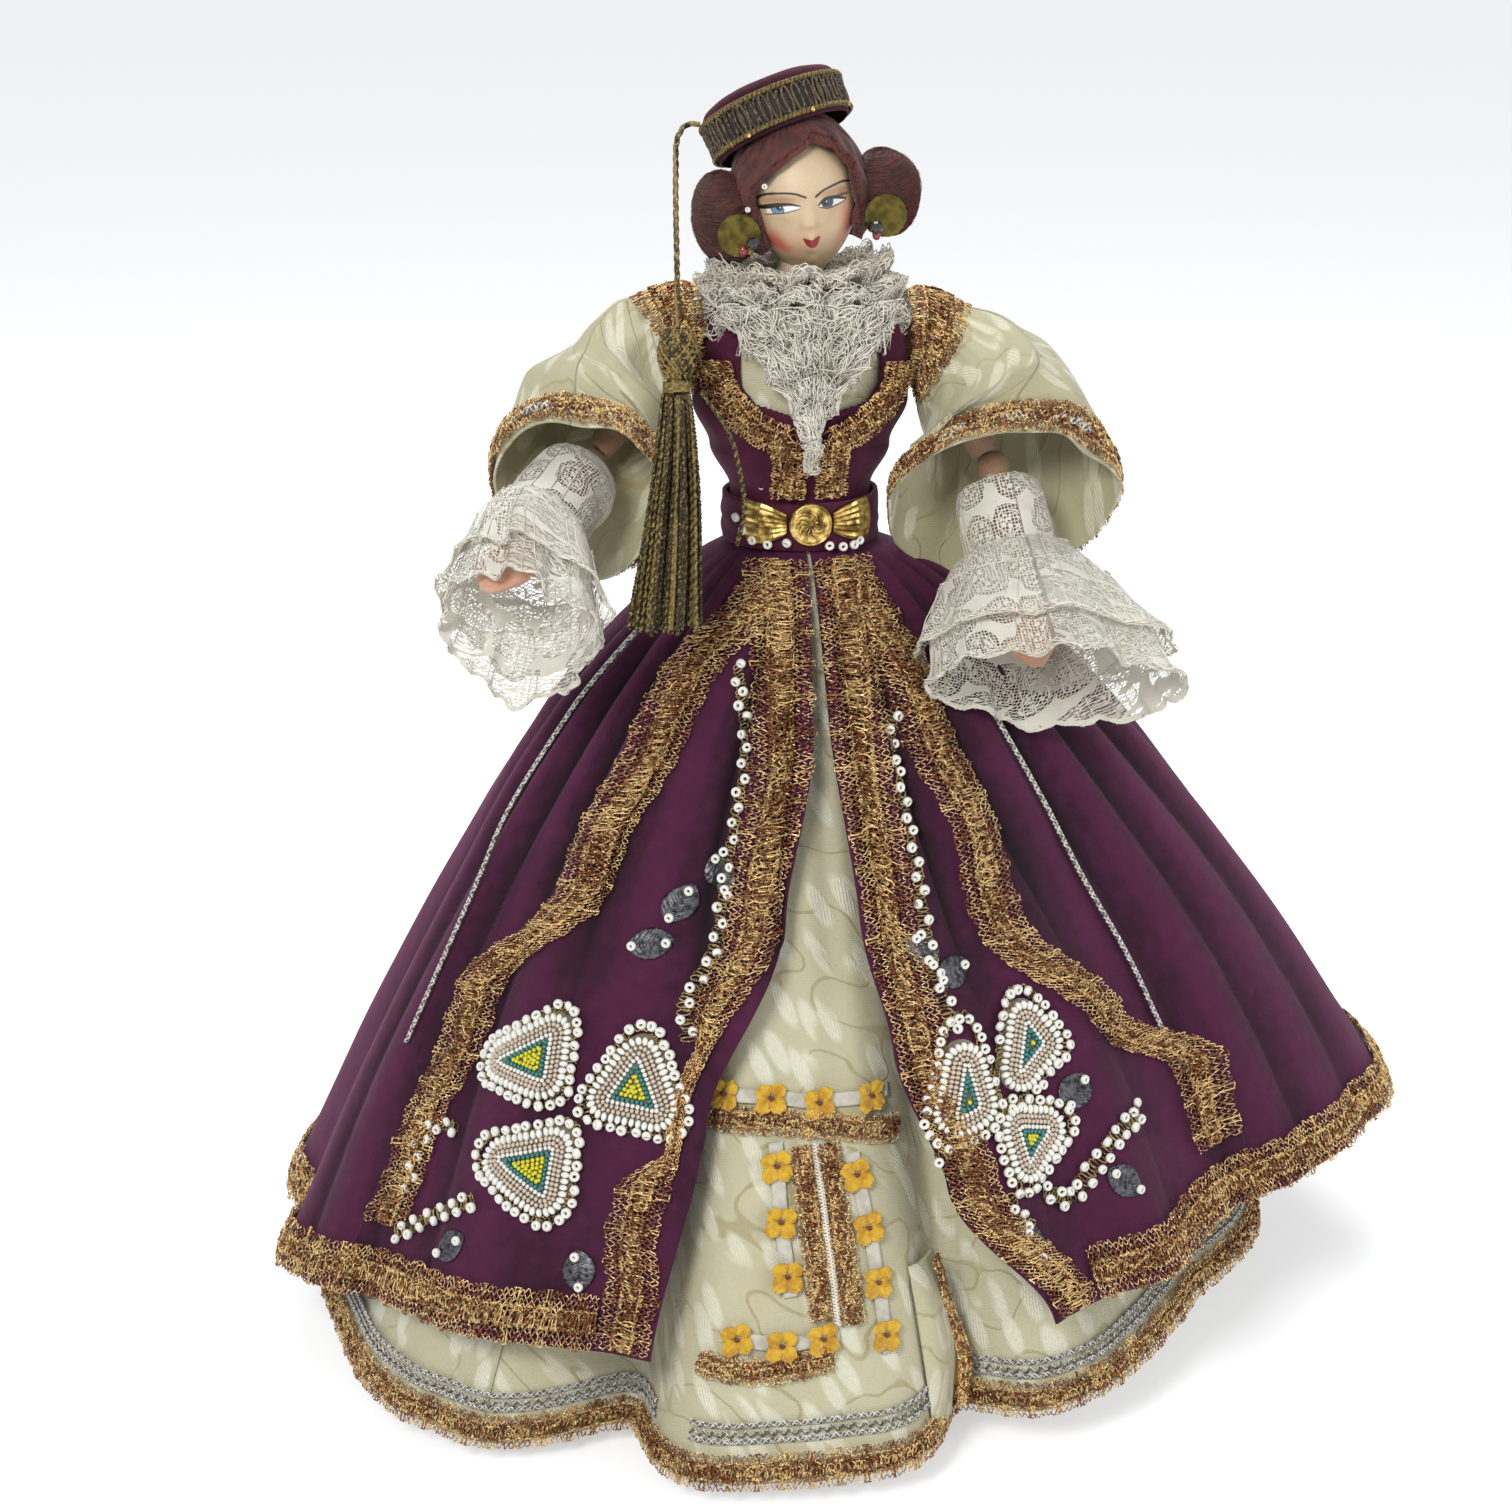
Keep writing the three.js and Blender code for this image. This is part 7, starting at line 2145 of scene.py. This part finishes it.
for spot, flat_points in rim_beads:
    for centre, way in zip(on_velvet(spot, flat_points, 1.75), off_velvet(spot, flat_points)):
        if not centres or np.linalg.norm(np.array(centres) - centre, axis=1).min() > 2.9:
            centres.append(centre)
            normals.append(way)
normals = np.array(normals) + pick.normal(0, 0.28, (len(normals), 3))
string_bead = ring_shape(0.3, 14, 8)
sizes = pick.normal(1.6, 0.06, len(centres))
scattered("white_string_beads", string_bead, centres, normals, sizes, bead_glass["white"], "body")
wire = metal_thread("bronze_wire", shade(190, 168, 108), shade(96, 80, 46), 0.34, 0.3)
threads("bronze_wire_loops", np.array(wire_loops), 0.24, wire, "body", sides=4, loop=True)
print(len(centres), "beads on strings,", len(wire_loops), "wire loops")

# %% [markdown]
# Small pressed metal leaves hang between the beadwork, each held by a bead at both ends. A leaf is a thin
# domed sheet with a notched edge, a middle vein and side veins pressed into it.

# %% Pewter leaves
# Each leaf: degrees, drop, and the turn of its long axis in degrees.
LEAVES = ((-31, .43, 65), (-34.8, .482, 8), (-53.2, .897, 38), (-35.4, .9, -72), (-24.2, .39, -60),
          (14.2, .497, -68), (19.2, .532, 12), (35.4, .727, 45), (38.2, .857, -48), (21.9, .89, -70))


def pewter(name):
    f = Finish(name)
    point = f.place()
    cloud = f.noise(point, 1.6, 3, 0.6)
    grain = f.noise(point, 0.35, 3, 0.6)
    colour = f.mix(cloud.between(0.35, 0.7), shade(92, 92, 96), shade(34, 34, 40))
    return f.surface(Base_Color=colour, Metallic=0.85, Roughness=0.3 + grain * 0.2,
                     Normal=f.bump(grain, 0.04, 0.5))


def leaf_shape():
    """A leaf 12.4 mm long and 9.6 mm wide: flat places, and heights over them."""
    v = np.linspace(0, 1, 44)[:, None]
    u = np.linspace(-1, 1, 21)[None]
    half = 4.8 * np.sin(np.pi * np.clip(v, 0.004, 0.996)) ** 0.62 * (1 + 0.07 * np.abs(np.sin(9 * np.pi * v)))
    places = np.stack([12.4 * (v - 0.5) + 0 * u, half * u], -1)
    height = (1.1 * (1 - u ** 2) * np.sin(np.pi * v) - 0.55 * np.exp(-(u / 0.1) ** 2)
              + 0.28 * np.cos(2 * np.pi * (6.5 * v - 1.6 * np.abs(u))) * (1 - u ** 2))
    return places, height


leaf_metal = pewter("pewter")
places, height = leaf_shape()
leaf_points, held_at, held_way = [], [], []
for degrees, drop, turn in LEAVES:
    c, s = math.cos(math.radians(turn)), math.sin(math.radians(turn))
    turned = places @ np.array([[c, s], [-s, c]])
    leaf_points.append(on_velvet((degrees, drop), turned, 0.75 + height))
    ends = np.array([[4.6, 0], [-4.6, 0]]) @ np.array([[c, s], [-s, c]])
    held_at.extend(on_velvet((degrees, drop), ends, 2.0))
    held_way.extend(off_velvet((degrees, drop), ends))
leaf_points = np.array([facing_out(leaf) for leaf in leaf_points])
faces = grid_faces(*height.shape)
faces = np.concatenate([faces + k * height.size for k in range(len(LEAVES))])
leaves = piece("pewter_leaves", leaf_points, [faces], leaf_metal, "body", leaf_points)
thicken(leaves, 0.35)
scattered("leaf_beads", string_bead, held_at, held_way, np.full(len(held_at), 1.5), bead_glass["white"],
          "body")
BELT_BEADS = ((-18.6, 11.3), (-13.7, 12.1), (-21.7, 1.8), (-19.8, -1.8), (-17.1, -4.4), (-12.8, -5.2),
              (-7.2, -4.4), (6, -5.6), (10.4, -7.6), (14.1, -7.4), (15.9, -5.3))
x, up = np.array(BELT_BEADS).T
up = np.clip(up, -6.4, 12)
depth = np.where(up > 7.5, 18.6, BELT_DEEP + 2.6 + 1.2)
half = np.where(up > 7.5, 21.5, BELT_WIDE + 2.6 + 1.2)
belt_at = np.stack([x, -depth * np.sqrt(1 - (x / half) ** 2), WAIST + up], -1)
ways = belt_at * [1, 1, 0] + pick.normal(0, 5, belt_at.shape)
scattered("belt_beads", string_bead, belt_at, ways, np.full(len(belt_at), 1.5), bead_glass["white"], "body")
print(len(LEAVES), "pewter leaves,", len(belt_at), "belt beads")

# %% [markdown]
# The underskirt's front is an apron of brocade with trims sewn on: rows of yellow ribbon flowers joined by
# white satin tape, two columns of gold lace between them, gold lace bands across and rows of braid over the
# hem. Each trim is placed on the brocade itself, in degrees and drop.

# %% Places on the brocade
def brocade_at(degrees, drop, lift=0.0):
    """Points on the underskirt's own cloth."""
    degrees, drop = np.broadcast_arrays(np.asarray(degrees, float), np.asarray(drop, float))
    shape = skirt(UNDER, degrees, drop, 0.6)
    return pushed_out(shape, under_wave(shape, degrees, drop) + lift)


def route_on_skirt(line, count):
    """A smooth line through places in degrees and drop, which are about as long as 1 to 40."""
    return smooth_line(np.multiply(line, [1, 40]), count) / [1, 40]


def strip_along(line, width, lift, rows=9):
    """A strip of cloth along a line on the brocade, given in degrees and drop."""
    fine = route_on_skirt(line, 400)
    middle = brocade_at(fine[:, 0], fine[:, 1])
    length = length_along(middle)
    degrees, drop = at_lengths(np.arange(0, length[-1], 1.2), length, fine).T
    per_degree = np.linalg.norm(brocade_at(degrees + 0.5, drop) - brocade_at(degrees - 0.5, drop), axis=1)
    per_drop = np.linalg.norm(brocade_at(degrees, drop + 0.01) - brocade_at(degrees, drop - 0.01),
                              axis=1) * 50
    way = unit(np.gradient(np.stack([degrees * per_degree.mean(), -drop * per_drop.mean()], -1), axis=0))
    side = np.stack([-way[:, 1], way[:, 0]], -1)
    return np.stack([brocade_at(degrees + side[:, 0] * width * share / per_degree,
                                drop - side[:, 1] * width * share / per_drop, lift)
                     for share in np.linspace(-0.5, 0.5, rows)])


def plain_band(name, band, finish, flutter):
    """A narrow strip of ribbon or braid, under 10 mm wide."""
    band = facing_out(band)
    n = grid_normals(band)
    band = band + n * (flutter * lumps(band, 4, 77))[..., None]
    made = piece(name, band, [grid_faces(*band.shape[:2])], finish, "body", laid_flat(band))
    thicken(made, 0.35)

# %% Ribbon flowers
def ribbon(name, tone, deep):
    f = Finish(name)
    flat = f.laid()
    weave = f.wave(flat, 0.9, 0.8, "X")
    fold = f.noise(f.place(), 3.5, 3, 0.6)
    colour = f.mix(fold.between(0.35, 0.7), tone, deep)
    return f.surface(Base_Color=f.mix(weave * 0.25, colour, deep), Roughness=0.5 - weave * 0.1,
                     Sheen_Weight=0.5, Sheen_Roughness=0.4, Normal=f.bump(weave + fold, 0.2, 0.8))


yellow_ribbon = ribbon("yellow_ribbon", shade(246, 200, 40), shade(204, 146, 22))
satin_tape = ribbon("white_satin_tape", shade(236, 232, 216), shade(206, 200, 182))
brown_knot = ribbon("brown_knot", shade(110, 44, 18), shade(74, 28, 14))
FLOWER_ROWS = {
    "across": ((-20.4, .578), (-12.6, .582), (-4.8, .59), (4, .591)),
    "down_right": ((-11.4, .655), (-10.6, .716), (-9.6, .775)),
    "down_left": ((.6, .673), (1.8, .731), (2.6, .792), (3.2, .851)),
    "low": ((-15.8, .839), (-10.2, .849), (-5, .845)),
    "corner": ((14.4, .955),),
}
petals, knots, knot_ways = [], [], []
for name, flowers in FLOWER_ROWS.items():
    if len(flowers) > 1:
        extra = np.array(flowers[-1]) * 2 - flowers[-2]
        before = np.array(flowers[0]) * 2 - flowers[1]
        whole = [tuple(np.array(flowers[0]) * 0.6 + before * 0.4), *flowers,
                 tuple(np.array(flowers[-1]) * 0.6 + extra * 0.4)]
        plain_band(f"satin_tape_{name}", strip_along(whole, 4.2, 1.3), satin_tape, 0.15)
    for degrees, drop in flowers:
        per_degree = np.linalg.norm(brocade_at(degrees + 1, drop) - brocade_at(degrees, drop))
        per_drop = np.linalg.norm(brocade_at(degrees, drop + 0.02) - brocade_at(degrees, drop)) * 50
        tilt = pick.uniform(-0.25, 0.25)
        for k in range(4):
            way = tilt + math.pi / 4 + k * math.pi / 2
            v = np.linspace(0, 1, 12)[:, None]
            u = np.linspace(-1, 1, 11)[None]
            out = 0.6 + 4.6 * v
            half = 2.5 * np.sin(np.pi * np.clip(0.12 + 0.8 * v, 0, 1)) ** 0.6 * (1 + 0.06 * np.cos(12 * v))
            across = out * math.cos(way) - half * u * math.sin(way)
            up = out * math.sin(way) + half * u * math.cos(way)
            lift = 1.5 + 1.5 * v + 0.8 * (1 - u ** 2) * np.sin(np.pi * v) + 0.25 * np.sin(7 * u + k)
            petals.append(facing_out(brocade_at(degrees + across / per_degree, drop - up / per_drop, lift)))
        knots.append(brocade_at(degrees, drop, 2.3))
        knot_ways.append(brocade_at(degrees, drop, 3.3) - brocade_at(degrees, drop, 2.3))
petals = np.array(petals)
petal_faces = grid_faces(12, 11)
petal_faces = np.concatenate([petal_faces + k * 132 for k in range(len(petals))])
flowers = piece("ribbon_flowers", petals, [petal_faces], yellow_ribbon, "body", petals)
thicken(flowers, 0.3)
scattered("ribbon_flower_knots", ball_shape(10, 8), knots, knot_ways,
          np.full((len(knots), 3), (0.85, 0.85, 0.6)), brown_knot, "body")
print(len(knots), "ribbon flowers")

# %% Apron laces and braids
gold_band_lines = {"apron_lace_across": ((-24.5, .604), (-12, .609), (-2, .62), (8.5, .638)),
                   "apron_lace_low": ((-20.5, .868), (-12, .877), (-3.5, .868))}
for k, (name, line) in enumerate(gold_band_lines.items()):
    gold_lace(name, strip_along(line, 8.0, 0.9, rows=LACE_ROWS), 6.5, seed=91 + k)
for k, line in enumerate((((-7.8, .636), (-6.8, .7), (-5.8, .77), (-5.2, .83)),
                          ((-3.8, .636), (-2.8, .7), (-1.8, .77), (-1, .838)))):
    gold_lace(f"apron_lace_down_{k + 1}", strip_along(line, 7.4, 0.9, rows=LACE_ROWS), 5.5, seed=95 + k)
fluff = strip_along(((-5.8, .634), (-4.8, .7), (-3.8, .77), (-3.1, .838)), 3.6, 1.2)
fluff = facing_out(fluff)
edge_line, edge_off = row_line(fluff, 0.5, 0.6)
plaited("apron_white_line", edge_line, edge_off, 1.8, white_cotton, "body", 1.5, 0.34)


def hem_rows(name, start, end, rows):
    """Rows of braid along the underskirt's hem. A row says how high it lies, its look and its thread."""
    degrees = np.linspace(start, end, int(abs(end - start) * 2.6))
    known = np.linspace(-180, 180, 73)
    fall = np.interp(degrees, known, [fall_of(UNDER, d) for d in known])
    for k, (high, look, finish) in enumerate(rows):
        line = brocade_at(degrees, 1 - high / fall, 1.0)
        off = unit(brocade_at(degrees, 1 - high / fall, 2.0) - line)
        if look == "plait":
            plaited(f"{name}_{k + 1}", line, off, 1.5, finish, "body", 2.0, 0.3)
        else:
            length = length_along(line)
            s = np.arange(0, length[-1], 0.55)
            fine = at_lengths(s, length, line)
            way = unit(at_lengths(s, length, off))
            across = unit(np.cross(np.gradient(fine, axis=0), way))
            wave = np.cos(2 * np.pi * s / 3.2)[:, None]
            paths = [fine + across * (0.8 * wave + shift) + way * 0.3 for shift in (-0.3, 0.3)]
            threads(f"{name}_{k + 1}", np.array(paths), 0.26, finish, "body")


silver_row = [(16.0, "plait", silver_thread), (13.6, "zigzag", silver_thread), (11.6, "plait", silver_thread)]
hem_rows("hem_braid_right", -178, -27, silver_row)
hem_rows("hem_braid_left", 14, 178, silver_row)
hem_rows("hem_braid_front", -21, 12, [(18.5, "plait", silver_thread), (16.0, "zigzag", silver_thread),
                                      (13.6, "plait", silver_thread)])


def under_hem_band(start, end, width, lift):
    """A strip along the underskirt's hem, a little of it below the cloth's edge."""
    degrees, fall = hem_falls(UNDER, start, end, 150)
    return np.stack([brocade_at(degrees, 1 - width * (s - 0.12) / fall, lift)
                     for s in np.linspace(0, 1, LACE_ROWS)])


gold_lace("hem_lace_front", under_hem_band(-46, 46, 11.0, 1.0), 8.0, ["underskirt_trim"], seed=101)
gold_lace("hem_lace_right", under_hem_band(-46, -180, 11.0, 1.0), 8.0, seed=102)
gold_lace("hem_lace_left", under_hem_band(46, 180, 11.0, 1.0), 8.0, seed=103)

# %% [markdown]
# A thin silver chain runs down the velvet behind each front panel. The corner of the apron is folded
# back, so a flap of brocade stands off the skirt there, edged with gold lace.

# %% Silver chains and the folded corner
CHAINS = {"right": ((-72, .1), (-76.4, .3), (-74.5, .42), (-73.8, .56), (-73.6, .66)),
          "left": ((50, .1), (53, .3), (54.6, .46), (57, .6), (57.6, .72), (58.5, .79))}
for side, line in CHAINS.items():
    path = route_on_skirt(line, 200)
    centre = velvet_at(path[:, 0], path[:, 1], 0.2)
    off = unit(velvet_at(path[:, 0], path[:, 1], 1.2) - centre)
    plaited(f"silver_chain_{side}", centre, off, 1.8, silver_thread, "body", 2.3, 0.4)

u = np.linspace(0, 1, 26)[None]
v = np.linspace(0, 1, 60)[:, None]
degrees = 7.5 + 7.5 * u * (0.25 + 0.75 * np.sin(np.pi * (0.18 + 0.72 * v)))
lift = 1.6 + 5.5 * np.sin(np.pi * u) * np.sin(np.pi * v) + 4.5 * u
flap = facing_out(brocade_at(degrees + 1.5 * v, 0.79 + 0.195 * v, lift))
cloth("brocade_corner", flap, cream_brocade, "body", thick=0.6, held="gathered", rests_on=["brocade_front"])
border = strip_along(((11.5, .79), (14, .87), (15.6, .93), (14.5, .985)), 4.6, 7.4, rows=LACE_ROWS)
gold_lace("corner_lace", border, 4.5, seed=111)
print("hems, chains and corner made")
